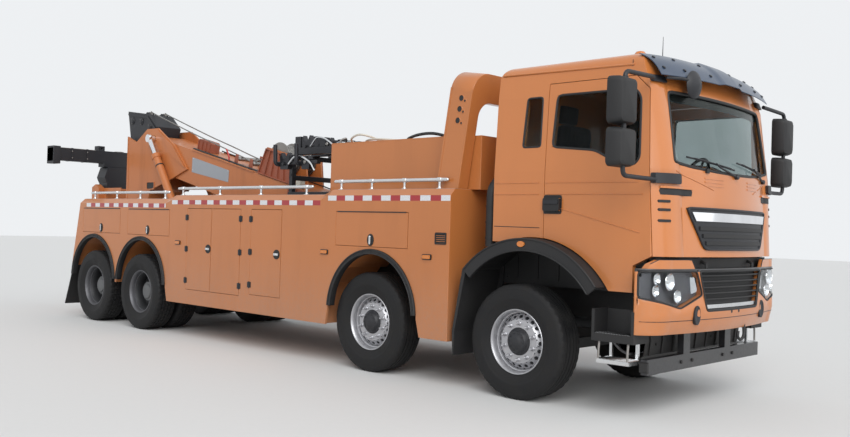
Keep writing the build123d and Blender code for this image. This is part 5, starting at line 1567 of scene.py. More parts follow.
    def door(self, side_name, side):
        """Pressed lines and the handle of a cab door."""
        door = Piece(f"door_details_{side_name}", "cab_paint")
        for start, end in DOOR_CREASES:
            door.tube(side_line(side, start, end, 12, 0.0005), 0.0055, 8)
        door.use("grained_black")
        face = side * DOOR_FACE
        x, z = ahead(DOOR_HANDLE[0]), DOOR_HANDLE[1]
        door.prism(rounded_box(0.098, 0.084, 0.020, (x, z)), face, face + side * 0.004)
        door.prism(rounded_box(0.089, 0.059, 0.018, (x, z)), face, face + side * 0.0345)
        door.use("satin_black")
        grip = rounded_box(0.080, 0.018, 0.012, (x, z + 0.021))
        door.prism(grip, face + side * 0.034, face + side * 0.042)
        door.done(f"cab_door_{side_name}", "cab_orange", bevel=0.0015)

    def wall(self, side_name, side):
        """Gutter, pressed lines, seam and a black duct of the cab's side behind the door; the duct is painted shade of
        the gap between cab and cabinet.
        """
        cab = Piece(f"cab_side_details_{side_name}", "cab_paint")
        gutter_y = side * (CAB.side_y(2.975) + 0.004)
        gutter = zip(spread(-0.30, 1.10, 20), spread(2.990, 2.962, 20))
        cab.tube([(ahead(x), gutter_y, z) for x, z in gutter], 0.009, 10)
        for z in PRESSED_LINES:
            cab.tube(side_line(side, (-0.31, z), (0.19, z), 6, 0.0005), 0.0055, 8)
        cab.use("seal_rubber")
        seam_y = side * (CAB.side_y(1.571) - 0.0005)
        seam = zip(spread(-0.315, 0.205, 6), spread(1.573, 1.569, 6))
        cab.tube([(ahead(x), seam_y, z) for x, z in seam], 0.0035, 6)
        up = [(ahead(1.082), side * CAB.side_y(2.95), 2.945), (ahead(1.082), side * 1.060, 3.005)]
        cab.tube(up, 0.0025, 6)
        # a black duct in the gap between cab and cabinet: painted shade of that gap
        cab.use("grained_black")
        shade_duct_x = ahead(-0.42)
        shade_duct_y = side * 1.04
        bend = [(shade_duct_x, shade_duct_y, 1.38), (shade_duct_x, shade_duct_y, 1.93), (shade_duct_x, side * 0.90, 2.05)]
        cab.tube(rounded_path(bend, 0.08), 0.050, 16)
        for z in (1.45, 1.60, 1.75):
            cab.turned([(0.054, 0.0), (0.054, 0.022)], (shade_duct_x, shade_duct_y, z), "Z", 20)
        cab.done("chassis", "cab_orange", merge=False)

    def wipers(self):
        """Two wipers at rest along the windscreen's foot."""
        piece = Piece("wipers", "satin_black")
        for pivot_y, tip_y in ((-0.02, -0.72), (0.74, 0.06)):
            pivot = CAB.spot(pivot_y, 2.068, 0.012)
            end = CAB.spot((pivot_y + tip_y) / 2, 2.168, 0.026)
            piece.turned([(0.022, -0.030), (0.022, 0.012), (0.016, 0.020)], pivot, "X", 20)
            middle = CAB.spot(pivot_y * 0.55 + tip_y * 0.45, 2.135, 0.034)
            piece.tube([pivot, middle, end], [0.011, 0.008, 0.007], 8)
            blade = zip(spread(pivot_y - 0.02, tip_y - 0.02, 12), spread(2.128, 2.198, 12))
            piece.tube([CAB.spot(y, z, 0.006) for y, z in blade], 0.008, 8)
            spine = zip(spread(pivot_y - 0.10, tip_y + 0.06, 8), spread(2.138, 2.193, 8))
            piece.tube([CAB.spot(y, z, 0.020) for y, z in spine], 0.005, 6)
        piece.done("chassis", "black_plastic", merge=False)


VISOR_HALF = 1.045
VISOR_HUMP_HALF = 0.16
VISOR_BOLT_ROWS = (0.30, 0.76)
VISOR_BOLT_PLACES = (-0.97, -0.70, -0.30, 0.30, 0.70, 0.97)
VISOR_STAYS = (-0.90, -0.45, 0.45, 0.90)
VISOR_OUT = Vector((0.62, 0, 0.78))
VISOR_ACROSS = Vector((0.78, 0, -0.62))
MIRROR_ASIDE = 1.565
MIRROR_POST_ASIDE = 1.560
MIRRORS = (
    # low and high end of each head
    (2.392, 2.768),
    (2.062, 2.368),
)
MIRROR_SHELL = ((1.236, 1.0), (1.262, 1.0), (1.320, 0.96), (1.358, 0.84), (1.373, 0.62))
VISOR_BOLT = ((0.017, -0.002), (0.017, 0.005), (0.012, 0.009), (0.003, 0.010))


def visor_edge(y, share):
    """A point of the visor: share 0 is its top edge and 1 its lower edge."""
    wide = abs(y) / VISOR_HALF
    top = Vector((ahead(1.205 - 0.075 * wide ** 2), y, 3.085 - 0.030 * wide ** 3))
    low = Vector((ahead(1.462 - 0.120 * wide ** 2), y, 2.872 - 0.012 * wide ** 2))
    place = top.lerp(low, share)
    bulge = 0.030 * math.sin(math.pi * share)
    beyond = max(0.0, abs(y) - VISOR_HUMP_HALF)
    hump = 0.016 * max(0.0, 1 - beyond / 0.05)
    return place + Vector((0.55, 0, 0.83)) * (bulge + hump)


class TOWTRUCK_OT_visor(bpy.types.Operator):
    """Smoked sun visor with its bolts, and the mirrors"""

    bl_idname = "towtruck.visor"
    bl_label = "Visor and mirrors"

    def execute(self, context):
        self.visor()
        for side_name, side in SIDES:
            self.mirrors(side_name, side)
        return {"FINISHED"}

    def visor(self):
        """A curved sheet with two rows of bolts and four stays."""
        piece = Piece("sun_visor", "smoked")
        ys = spread(-VISOR_HALF, VISOR_HALF, 56)
        rows = []
        for share in spread(0, 1, 10):
            upper = [visor_edge(y, share) for y in ys]
            lower = [place - Vector((0.0035, 0, 0.0055)) for place in reversed(upper)]
            rows.append(upper + lower)
        piece.rings(rows)
        piece.use("satin_black")
        for y in VISOR_BOLT_PLACES:
            for share in VISOR_BOLT_ROWS:
                piece.disc(visor_edge(y, share), VISOR_ACROSS, VISOR_OUT, VISOR_BOLT, 16)
        for y in VISOR_STAYS:
            spot = visor_edge(y, 0.35)
            foot = Vector((CAB.x(y, 2.93, -0.004), y, 2.93))
            piece.tube([foot, spot - Vector((0.004, 0, 0.008))], 0.011, 10)
        piece.done("chassis", "black_plastic", angle=50)

    def mirrors(self, side_name, side):
        """Two mirror heads on one bent post."""
        piece = Piece(f"mirror_{side_name}", "grained_black")
        for low, high in MIRRORS:
            centre = (side * MIRROR_ASIDE, (low + high) / 2)
            half = (high - low) / 2
            layers = []
            for x, size in MIRROR_SHELL:
                high_half = half * (1 - (1 - size) * 0.6)
                layers.append((rounded_box(0.133 * size, high_half, 0.045 * size, centre), ahead(x)))
            piece.use("grained_black")
            piece.stack(layers, "X")
            piece.use("mirror_face")
            glass = rounded_box(0.120, half - 0.014, 0.036, centre)
            piece.prism(glass, ahead(1.2345), ahead(1.2358), "X")
        piece.use("satin_black")
        post_x = ahead(1.310)
        post_y = side * MIRROR_POST_ASIDE
        path = rounded_path([
            (ahead(1.345), side * 1.085, 1.990), (post_x, side * 1.30, 1.992), (post_x, post_y, 1.995),
            (post_x, post_y, 2.815), (post_x, side * 1.30, 2.822), (ahead(1.290), side * 1.085, 2.835),
        ], 0.06)
        piece.tube(path, 0.019, 14)
        for z in (2.12, 2.31, 2.44, 2.72):
            piece.turned([(0.027, 0), (0.027, 0.05)], (post_x, post_y, z), "Z", 18)
        rows = [
            (1.960, 0.880, 1.115), (1.975, 0.868, 1.118), (2.030, 0.868, 1.118), (2.045, 0.880, 1.115),
        ]
        band(piece, CAB, rows, 0.0006, 0.030, 12, side)
        rows = [
            (2.806, 0.900, 1.060), (2.818, 0.890, 1.066), (2.852, 0.890, 1.062), (2.862, 0.900, 1.058),
        ]
        band(piece, CAB, rows, 0.0006, 0.026, 12, side)
        if side < 0:
            self.front_mirror(piece)
        piece.done("chassis", "black_plastic")

    def front_mirror(self, piece):
        """The round mirror above the right of the windscreen, on its own arm."""
        arm = [(ahead(1.335), -0.96, 2.842), (ahead(1.41), -0.80, 2.846), (ahead(1.435), -0.660, 2.836)]
        piece.tube(rounded_path(arm, 0.05), 0.013, 10)
        bowl = [
            (0.006, 0.052), (0.060, 0.040), (0.110, 0.012), (0.122, -0.006), (0.118, -0.012),
            (0.006, -0.012),
        ]
        piece.turned(bowl, (ahead(1.425), -0.640, 2.815), "X", 36)


LAMP = [(0.640, 1.240), (1.230, 1.240), (1.230, 1.020), (0.862, 0.934), (0.560, 1.040)]
LAMP_MIDDLE = (0.930, 1.100)
LAMP_BOWLS = (
    # y, z, radius
    (0.985, 1.155, 0.073),
    (1.118, 1.178, 0.050),
    (1.128, 1.082, 0.050),
    (0.885, 1.035, 0.058),
)
BOWL = (
    # share of the radius, depth
    (1.0, 0.0), (0.97, 0.004), (0.92, 0.0), (0.76, -0.014), (0.50, -0.026), (0.22, -0.034),
    (0.05, -0.036),
)
# The open door's heel swings just behind this gap.
LAMP_REAR = 1.264
LOWER_GRILLE = [(-0.600, 1.240), (0.600, 1.240), (0.492, 0.905), (-0.492, 0.905)]
LOWER_FOOT = 0.905
LOWER_FOOT_HALF = 0.492
LOWER_FLARE = 0.322
BUMPER_SEAM = 0.832
FRONT_BAR = 0.445


def shrunk(outline, middle):
    """The outline drawn in a little, to fit inside its own rim."""
    return [
        (middle[0] + (y - middle[0]) * 0.985, middle[1] + (z - middle[1]) * 0.97) for y, z in outline
    ]


class TOWTRUCK_OT_front(bpy.types.Operator):
    """Head lamps, fog lamps, lower grille and bumper fittings"""

    bl_idname = "towtruck.front"
    bl_label = "Bumper fittings"

    def execute(self, context):
        for side_name, side in SIDES:
            self.lamp(side_name, side)
            self.shoulder(side_name, side)
        self.lower()
        self.fittings()
        return {"FINISHED"}

    def lamp(self, side_name, side):
        """A head lamp: housing, four bowls, indicator and a clear cover."""
        piece = Piece(f"head_lamp_{side_name}", "rim_edge")
        outline = cut_corners(LAMP, 0.03)
        inner = shrunk(outline, LAMP_MIDDLE)
        band(piece, BUMPER, filled_rows(inner, 12), -0.062, -0.050, 24, side)
        piece.use("grained_black")
        piece.tube(on_skin(BUMPER, outline, -0.003, 0.03, side), 0.008, 8, loop=True)
        rows = [(1.232, 0.665, 1.215), (1.236, 0.665, 1.215)]
        band(piece, BUMPER, rows, -0.050, -0.006, 20, side)
        for y, z, radius in LAMP_BOWLS:
            spot = (BUMPER.x(y, z, -0.016), side * y, z)
            piece.use("chrome")
            bowl = [(radius * share, depth) for share, depth in BOWL]
            piece.turned(bowl, spot, "X", 40, cap=False)
            piece.use("lens_white")
            neck = radius * 0.22
            bulb = [(neck, -0.032), (neck, -0.012), (radius * 0.12, -0.004), (0.001, -0.002)]
            piece.turned(bulb, spot, "X", 20)
        piece.use("chrome")
        turn = [(0.625, 1.190), (0.715, 1.190), (0.700, 1.050), (0.615, 1.070)]
        band(piece, BUMPER, filled_rows(turn, 8), -0.050, -0.020, 8, side)
        piece.use("lens_clear")
        band(piece, BUMPER, filled_rows(outline, 16), -0.0055, -0.004, 30, side)
        for vertex in piece.mesh.verts:
            vertex.co.x = max(vertex.co.x, ahead(LAMP_REAR))
        piece.done("chassis", "lamp_lens", replaces=["lamps"])

    def shoulder(self, side_name, side):
        """The painted part between a head lamp and the cab."""
        piece = Piece(f"bumper_shoulder_{side_name}", "cab_paint")
        rows = [(1.2405, 0.650, 1.196), (1.246, 0.652, 1.196), (1.300, 0.688, 1.172), (1.333, 0.714, 1.120)]
        band(piece, BUMPER, rows, -0.040, -0.004, 30, side)
        piece.use("satin_black")
        edge = [(0.652, 1.246), (0.688, 1.300), (0.714, 1.333), (1.120, 1.333), (1.172, 1.300)]
        piece.tube([BUMPER.spot(side * y, z, -0.006) for y, z in edge], 0.004, 6)
        piece.done("chassis", "body_orange", merge=False)

    def lower(self):
        """The bumper's grille, a black band over it that is painted shade of the gap under the cab, and the bright bar
        along its foot.
        """
        piece = Piece("lower_grille", "grained_black")
        outline = cut_corners(LOWER_GRILLE, 0.03)
        piece.tube(on_skin(BUMPER, outline, -0.004), 0.012, 10, loop=True)
        inner = shrunk(outline, (0, 1.072))
        band(piece, BUMPER, filled_rows(inner, 10), -0.058, -0.046, 30)
        for z in (1.200, 1.150, 1.100, 1.050, 1.000):
            half = LOWER_FOOT_HALF + (z - LOWER_FOOT) * LOWER_FLARE - 0.012
            rows = [(z - 0.006, -half, half), (z + 0.004, -half, half)]
            band(piece, BUMPER, rows, -0.050, -0.012, 30)
            piece.tube([BUMPER.spot(y, z, -0.012) for y in spread(-half, half, 24)], 0.008, 8)
        # a black band set back behind the gap between bumper and cab: painted shade of that gap
        gap_shade_band = [(1.232, -1.120, 1.120), (1.290, -1.120, 1.120), (1.348, -1.060, 1.060)]
        band(piece, BUMPER, gap_shade_band, -0.085, -0.075, 40)
        for y in (-0.46, 0.46):
            bracket = ((1.236, -0.030), (1.300, -0.030), (1.318, -0.078))
            piece.tube([BUMPER.spot(y, z, out) for z, out in bracket], 0.014, 12)
        piece.use("bright_tube")
        bar = ((0.922, 0.475), (0.930, 0.478), (0.946, 0.482), (0.954, 0.485))
        band(piece, BUMPER, [(z, -half, half) for z, half in bar], -0.050, -0.010, 36)
        piece.done("chassis", "black_plastic", merge=False)

    def fittings(self):
        """Fog lamp dishes, plugs, the bumper's seam, the bar's end and the tow hook."""
        piece = Piece("bumper_fittings", "satin_black")
        dish = ((-0.02, 1.0), (0.004, 1.0), (0.007, 0.88), (0.002, 0.80), (0.0, 0.40))
        for side in (-1, 1):
            y, z = side * 0.640, 0.872
            x = BUMPER.x(y, z)
            layers = [(oval(0.056 * size, 0.082 * size, (y, z)), x + depth) for depth, size in dish]
            piece.stack(layers, "X")
            y, z = side * 0.07, 0.884
            plug = [(0.016, -0.010), (0.016, 0.0015), (0.008, 0.0015)]
            piece.turned(plug, (BUMPER.x(y, z), y, z), "X", 20)
        seam = [BUMPER.spot(y, BUMPER_SEAM, 0.0003) for y in spread(-1.225, 1.225, 60)]
        piece.tube(seam, 0.0028, 6)
        piece.use("frame_black")
        bar_end = [(ahead(1.27), y, FRONT_BAR) for y in (-1.092, -1.080)]
        piece.tube(bar_end, [0.05, 0.063], 4)
        hook = rounded_path([
            (ahead(1.490), 0.300, 0.800), (ahead(1.500), 0.300, 0.640), (ahead(1.500), 0.230, 0.600),
            (ahead(1.500), 0.160, 0.640), (ahead(1.500), 0.175, 0.690),
        ], 0.04)
        piece.tube(hook, 0.014, 12)
        for side in (-1, 1):
            for y in (0.30, 0.50):
                piece.hexagon((ahead(1.300), side * y, FRONT_BAR), 0.016, 0.012, "X")
        piece.done("chassis", "black_plastic", merge=False)


STEP_TROUGH = [
    # the step box's outline from the side, as (gap, z)
    (0.862, 0.640), (1.262, 0.640), (1.262, 0.905), (1.235, 0.905),
    (1.235, 0.708), (0.890, 0.708), (0.890, 0.905), (0.862, 0.905),
]
TEETH = 22


class TOWTRUCK_OT_steps(bpy.types.Operator):
    """Cab steps with their treads, and the fenders' lamps"""

    bl_idname = "towtruck.steps"
    bl_label = "Steps"

    def execute(self, context):
        piece = Piece("step_fittings", "bright_tube")
        inside = (ahead(0.893), ahead(1.232))
        for side in (-1, 1):
            piece.use("bright_tube")
            piece.box(inside, (side * 1.236, side * 1.046), (0.700, 0.703))
            self.teeth(piece, 0.900, 1.226, side * 1.241, side * 1.150, 0.703)
            self.teeth(piece, 0.915, 1.215, side * 1.236, side * 1.060, 0.490)
            piece.use("grained_black")
            piece.box(inside, sorted((side * 1.048, side * 1.044)), (0.706, 0.903))
            trough = [(ahead(x), z) for x, z in STEP_TROUGH]
            piece.prism(trough, side * 1.243, side * 1.000)
            piece.use("worn_steel")
            for x in (0.925, 1.200):
                leg = ((1.225, 0.476), (1.225, 0.56), (1.215, 0.642))
                piece.tube(rounded_path([(ahead(x), side * y, z) for y, z in leg], 0.03), 0.010, 10)
            piece.use("lens_amber")
            piece.prism(oval(0.040, 0.026, (ahead(0.105), 1.419)), side * 1.250, side * 1.262)
        piece.done("chassis", "plated_steel", merge=False)
        return {"FINISHED"}

    def teeth(self, piece, rear, front, outer, inner, z):
        """A serrated tread edge."""
        pitch = (front - rear) / TEETH
        outline = [(ahead(rear), z - 0.001)]
        for i in range(TEETH):
            for share, rise in ((0.15, 0.001), (0.50, 0.011), (0.85, 0.001)):
                outline.append((ahead(rear + pitch * (i + share)), z + rise))
        outline.append((ahead(front), z - 0.001))
        piece.prism(outline, outer, inner)


PORTAL_LEAN = math.radians(9)
PORTAL_FOOT = (-1.088, 1.927)
PORTAL_SIDE = 1.100
PORTAL_HOLES = (
    # rise, shift forwards
    (0.705, 0.0),
    (0.818, 0.003),
    (0.925, 0.006),
)
PORTAL_EDGES = (rectangle(0.270, 0.290, 0.05, 1.02), rectangle(0.0, 0.020, 0.05, 1.02))
CABINET_REAR = -2.880
CABINET_FRONT = -0.96
CABINET_HALF = 0.95
CABINET_TOP = 2.460
VENT_MIDDLE = (-0.871, 1.438)
VENT_FACE = 1.2502
VENT_SLATS = 5
HOSES = (
    # name, finish, radius, places as (gap, y, rise)
    ("hose_pale", "cream", 0.012, [
        (-2.66, -0.80, 0), (-2.62, -0.88, 0.045), (-2.48, -0.90, 0.085), (-2.34, -0.84, 0.06),
        (-2.30, -0.66, 0.002), (-2.42, -0.52, 0.0), (-2.56, -0.60, 0.004), (-2.50, -0.76, 0.028),
        (-2.20, -0.86, 0.026), (-1.90, -0.80, 0.004), (-1.60, -0.84, 0.002), (-1.36, -0.74, 0.002),
    ]),
    ("hose_black", "hose_rubber", 0.016, [
        (-1.80, -0.70, 0.0), (-1.74, -0.86, 0.0), (-1.55, -0.91, 0.032), (-1.35, -0.89, 0.040),
        (-1.15, -0.82, 0.0), (-1.05, -0.55, 0.0), (-1.20, -0.25, 0.0), (-1.50, -0.30, 0.0),
        (-1.62, -0.50, 0.0), (-1.46, -0.66, 0.0), (-1.26, -0.60, 0.0),
    ]),
)


def portal_point(depth, rise, y):
    """A point on the leaning portal, from its rear foot: forwards through it and up along it."""
    along = Vector((math.cos(PORTAL_LEAN), 0, -math.sin(PORTAL_LEAN)))
    up = Vector((math.sin(PORTAL_LEAN), 0, math.cos(PORTAL_LEAN)))
    return Vector((ahead(PORTAL_FOOT[0]), y, PORTAL_FOOT[1])) + along * depth + up * rise


class TOWTRUCK_OT_upper(bpy.types.Operator):
    """Portal holes, cabinet panels, side vents and the hoses on the cabinet"""

    bl_idname = "towtruck.upper"
    bl_label = "Portal and cabinet"

    def execute(self, context):
        piece = Piece("portal_fittings", "seal_rubber")
        for side in (-1, 1):
            for rise, shift in PORTAL_HOLES:
                for radius, forwards, lower in ((0.029, 0.0, 0.0), (0.012, 0.050, 0.022)):
                    self.hole(piece, side, radius, (0.152 + shift + forwards, rise - lower))
            piece.use("body_paint")
            for outline in PORTAL_EDGES:
                edge = [portal_point(a, b, side * PORTAL_SIDE) for a, b in outline]
                piece.plate(edge, (0, side * 0.003, 0))
            for low, high in ((2.00, 2.12), (2.20, 2.38)):
                depth = (ahead(CABINET_REAR - 0.006), ahead(CABINET_REAR))
                piece.box(depth, sorted((side * 0.15, side * 0.85)), (low, high))
            self.vent(piece, side)
        self.cabinet(piece)
        piece.done("chassis", "body_orange", bevel=0.0015, merge=False)
        self.hoses()
        return {"FINISHED"}

    def hole(self, piece, side, radius, centre):
        """A dark disc with a rim in body paint where the portal's leg is pierced; the disc is painted shade of the
        hole.
        """
        def ring(r, out):
            places = oval(r, r, centre, 24)
            return [portal_point(a, b, side * (PORTAL_SIDE + out)) for a, b in places]

        # dark disc in place of an open hole: painted shade of the hollow leg
        piece.use("seal_rubber")
        piece.plate(ring(radius, 0.0002), (0, side * 0.0006, 0))
        piece.use("body_paint")
        rim = ((0.0, 0.0003), (0.0, 0.0030), (0.005, 0.0030), (0.007, 0.0003))
        piece.rings([ring(radius + wider, out) for wider, out in rim], cap=False)

    def cabinet(self, piece):
        """Two front panels with their handles, and the raised edge of the roof."""
        for low, high in ((-0.60, -0.02), (0.02, 0.60)):
            middle = 0.5 * (low + high)
            piece.use("body_paint")
            panel = rounded_box(0.5 * (high - low), 0.19, 0.02, (middle, 2.16))
            piece.prism(panel, ahead(-0.640), ahead(-0.635), "X")
            piece.use("grained_black")
            piece.prism(oval(0.030, 0.012, (middle, 2.03)), ahead(-0.635), ahead(-0.628), "X")
        piece.use("body_paint")
        half, wall = CABINET_HALF, 0.015
        rim = rectangle(ahead(CABINET_REAR), ahead(CABINET_FRONT), -half, half)
        inner = rectangle(
            ahead(CABINET_REAR + wall), ahead(CABINET_FRONT - wall), wall - half, half - wall,
        )
        edge = CABINET_TOP + 0.012
        layers = ((rim, CABINET_TOP), (rim, edge), (inner, edge), (inner, CABINET_TOP + 0.0005))
        piece.stack(layers, "Z", cap=False)

    def vent(self, piece, side):
        """A slatted vent low on the locker side in front."""
        piece.use("grained_black")
        centre = (ahead(VENT_MIDDLE[0]), VENT_MIDDLE[1])
        outer = rounded_box(0.075, 0.058, 0.012, centre)
        inner = rounded_box(0.062, 0.045, 0.008, centre)
        layers = ((outer, 1.2495), (outer, 1.256), (inner, 1.256), (inner, VENT_FACE))
        piece.stack([(outline, side * y) for outline, y in layers], cap=False)
        for i in range(VENT_SLATS):
            z = 1.401 + 0.0185 * i
            slat = ((VENT_FACE, z - 0.007), (1.2555, z + 0.001), (VENT_FACE, z + 0.007))
            piece.prism([(side * y, level) for y, level in slat], ahead(-0.933), ahead(-0.809), "X")

    def hoses(self):
        """Loose hoses that lie on the upper cabinet."""
        top = CABINET_TOP + 0.002
        for name, kind, radius, places in HOSES:
            path = smooth_path([(ahead(x), y, top + radius + z) for x, y, z in places], 14)
            piece = Piece(name, kind)
            piece.tube(path, radius, 12)
            made = piece.done("chassis", "black_plastic", merge=False)
            length = sum((b - a).length for a, b in zip(path, path[1:]))
            route = [tuple(place) for place in path]
            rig.cord(made, route[0], length, 2 * radius, "bare", "medium", "loose", path=route)


def smooth_path(places, steps):
    """A smooth curve through the places."""
    places = [Vector(place) for place in places]
    ends = [places[0] * 2 - places[1], *places, places[-1] * 2 - places[-2]]
    path = []
    for a, b, c, d in zip(ends, ends[1:], ends[2:], ends[3:]):
        for i in range(steps):
            t = i / steps
            path.append(0.5 * (2 * b + (c - a) * t + (2 * a - 5 * b + 4 * c - d) * t**2
                               + (3 * b - a - 3 * c + d) * t**3))
    path.append(places[-1])
    return path


def on_boom(piece, outline, near, far, side=1):
    """A plate with a (u, v) outline along the boom, between two distances from its middle."""
    piece.rings([[boom_point(u, v, side * y) for u, v in outline] for y in (near, far)])


BARREL_RADIUS = 0.0625
BARREL_ASIDE = 0.382
ROPE_ASIDE = 0.128
BOOM_SIDE = 0.2852
SIGN_FACE = 0.2885
SIGN_PLATE = [(-6.828, 2.490), (-5.870, 2.272), (-5.883, 2.102), (-6.840, 2.268)]
SIGN_RIVETS = ((-6.80, 2.465), (-5.90, 2.260), (-5.91, 2.125), (-6.81, 2.295))
MAST_SIDE = 0.310
MAST_CHEEK = [(-7.80, 2.950), (-7.36, 2.700), (-6.985, 2.335), (-7.33, 2.500), (-7.56, 2.720)]
MAST_EDGE = [(-8.738, 0.95), (-8.690, 0.95), (-8.690, 2.30), (-8.720, 2.860), (-8.738, 2.870)]
MAST_WELD = ((-7.30, 2.676), (-6.935, 2.312), (-7.42, 2.155), (-7.995, 2.004))
PIVOT_CAP = [(0.105, 0), (0.105, 0.010), (0.096, 0.014), (0.066, 0.014), (0.066, 0.022), (0.0, 0.022)]
GUIDE_ROLLER = [
    (0.0, -0.204), (0.026, -0.204), (0.026, -0.17), (0.030, -0.165), (0.030, 0.165), (0.026, 0.17),
    (0.026, 0.204), (0.0, 0.204),
]
BOOM_HOSE = (
    (0.35, 0.262), (0.50, 0.272), (1.40, 0.276), (1.80, 0.272), (2.30, 0.275), (2.80, 0.272),
    (3.05, 0.274),
)
HEAD_PINS = ((4.46, 0.36), (4.74, 0.40), (5.02, 0.36))
HEAD_PIN_CAP = [
    (0.060, 0), (0.060, 0.006), (0.052, 0.010), (0.034, 0.010), (0.034, 0.016), (0.028, 0.019),
    (0.0, 0.019),
]
HEAD_RIB = [(4.28, 0.375), (4.555, 0.515), (5.190, 0.455), (5.175, 0.425), (4.565, 0.480), (4.30, 0.345)]
SHEAVE = [
    (0.0, -0.022), (0.030, -0.022), (0.040, -0.018), (0.034, -0.006), (0.034, 0.006), (0.040, 0.018),
    (0.030, 0.022), (0.0, 0.022),
]


class TOWTRUCK_OT_boom(bpy.types.Operator):
    """Boom flanges, gussets, blank sign plates, winch covers, rope guides and head fittings"""

    bl_idname = "towtruck.boom"
    bl_label = "Boom"

    def execute(self, context):
        self.plates()
        self.covers()
        self.head()
        self.cylinders()
        return {"FINISHED"}

    def plates(self):
        """Flanges, cheeks, welds, the blank badge and sign plates, and the pivot's caps."""
        piece = Piece("boom_plates", "boom_paint")
        for side in (-1, 1):
            flange = rectangle(0.270, 0.302, 0.250, 0.264)
            piece.rings([[boom_point(u, v, side * y) for y, v in flange] for u in (1.42, 3.02)])
            for outline, out in ((MAST_CHEEK, 0.014), (MAST_EDGE, 0.006)):
                places = [(ahead(x), z) for x, z in outline]
                piece.prism(places, side * MAST_SIDE, side * (MAST_SIDE + out))
            piece.use("boom_paint")
            weld = [(ahead(x), side * (MAST_SIDE + 0.001), z) for x, z in MAST_WELD]
            piece.tube(weld, 0.006, 8)
            piece.use("frame_black")
            badge = (ahead(-7.98), 2.075)
            inner = rounded_box(0.105, 0.050, 0.015, badge)
            piece.prism(inner, side * 0.3095, side * 0.3125)
            piece.use("boom_paint")
            outer = rounded_box(0.120, 0.065, 0.02, badge)
            layers = ((outer, 0.3098), (outer, 0.318), (inner, 0.318), (inner, 0.3098))
            piece.stack([(outline, side * y) for outline, y in layers], cap=False)
            piece.use("plate_blank")
            plate = [(ahead(x), z) for x, z in SIGN_PLATE]
            piece.prism(plate, side * BOOM_SIDE, side * SIGN_FACE)
            piece.use("bright_tube")
            for x, z in SIGN_RIVETS:
                rivet = [(0.009, 0), (0.008, 0.003), (0.003, 0.005)]
                piece.turned(rivet, (ahead(x), side * SIGN_FACE, z), "Y", 12, facing=side)
            piece.use("boom_paint")
            pivot = (BOOM_PIVOT.x, side * 0.285, BOOM_PIVOT.z)
            piece.turned(PIVOT_CAP, pivot, "Y", 40, facing=side)
        piece.done("boom_outer", "boom_orange", bevel=0.002, merge=False)

    def covers(self):
        """The ribbed red-brown winch covers, the rope guides and their frames."""
        piece = Piece("winch_covers", "cradle_paint")
        for side in (-1, 1):
            self.side_cover(piece, side)
        for u in (1.62, 1.98):
            piece.use("cradle_paint")
            ear = [(u - 0.045, 0.252), (u + 0.045, 0.252), (u + 0.028, 0.40), (u - 0.028, 0.40)]
            for side in (-1, 1):
                on_boom(piece, ear, 0.205, 0.217, side)
            piece.use("worn_steel")
            piece.turned(GUIDE_ROLLER, boom_point(u, 0.335), "Y", 28)
        piece.use("cradle_paint")
        box = [(2.86, 0.252), (3.24, 0.252), (3.24, 0.385), (3.20, 0.410), (2.90, 0.410), (2.86, 0.385)]
        on_boom(piece, box, -0.075, 0.075)
        for i in range(4):
            u = 2.885 + 0.105 * i
            for side in (-1, 1):
                on_boom(piece, rectangle(u, u + 0.012, 0.256, 0.385), 0.074, 0.088, side)
        piece.use("hook_red")
        handle = ((2.10, 0.255, -0.245), (2.12, 0.34, -0.25), (2.20, 0.43, -0.26))
        piece.tube(rounded_path([boom_point(*place) for place in handle], 0.04), 0.012, 10)
        piece.use("cream")
        spot = boom_point(0.44, 0.33)
        piece.box((spot.x - 0.045, spot.x + 0.045), (-0.285, -0.200), (spot.z - 0.080, spot.z + 0.055))
        piece.use("hose_rubber")
        for y, lift in ((-0.262, 0.0), (-0.246, 0.004), (0.250, 0.0)):
            line = [boom_point(u, v + lift, y) for u, v in BOOM_HOSE]
            piece.tube(smooth_path(line, 8), 0.009, 10)
        piece.done("boom_outer", "boom_orange", bevel=0.002, merge=False)

    def side_cover(self, piece, side):
        """One side's winch cover, with its ribs and edge strips, and the ribbed sheet below it."""
        foot, top = 0.262, 0.625
        sheet = [(0.60, foot), (1.32, foot), (1.225, top), (0.735, top)]
        on_boom(piece, sheet, 0.2715, 0.277, side)
        for i in range(6):
            low = 0.60 + 0.144 * i
            high = 0.735 + 0.098 * i
            half = 0.008
            rib = [(low - half, foot), (low + half, foot), (high + half, top), (high - half, top)]
            on_boom(piece, rib, 0.276, 0.300, side)
        for v, shift in ((foot, 0.0), (0.612, 0.12)):
            strip = rectangle(0.595 + shift, 1.325 - shift * 0.8, v, v + 0.014)
            on_boom(piece, strip, 0.270, 0.303, side)
        low, high = 0.085, 0.235
        on_boom(piece, rectangle(-0.05, 0.62, low, high), 0.2855, 0.290, side)
        for i in range(5):
            u = -0.04 + 0.155 * i
            on_boom(piece, rectangle(u, u + 0.014, low, high), 0.290, 0.306, side)

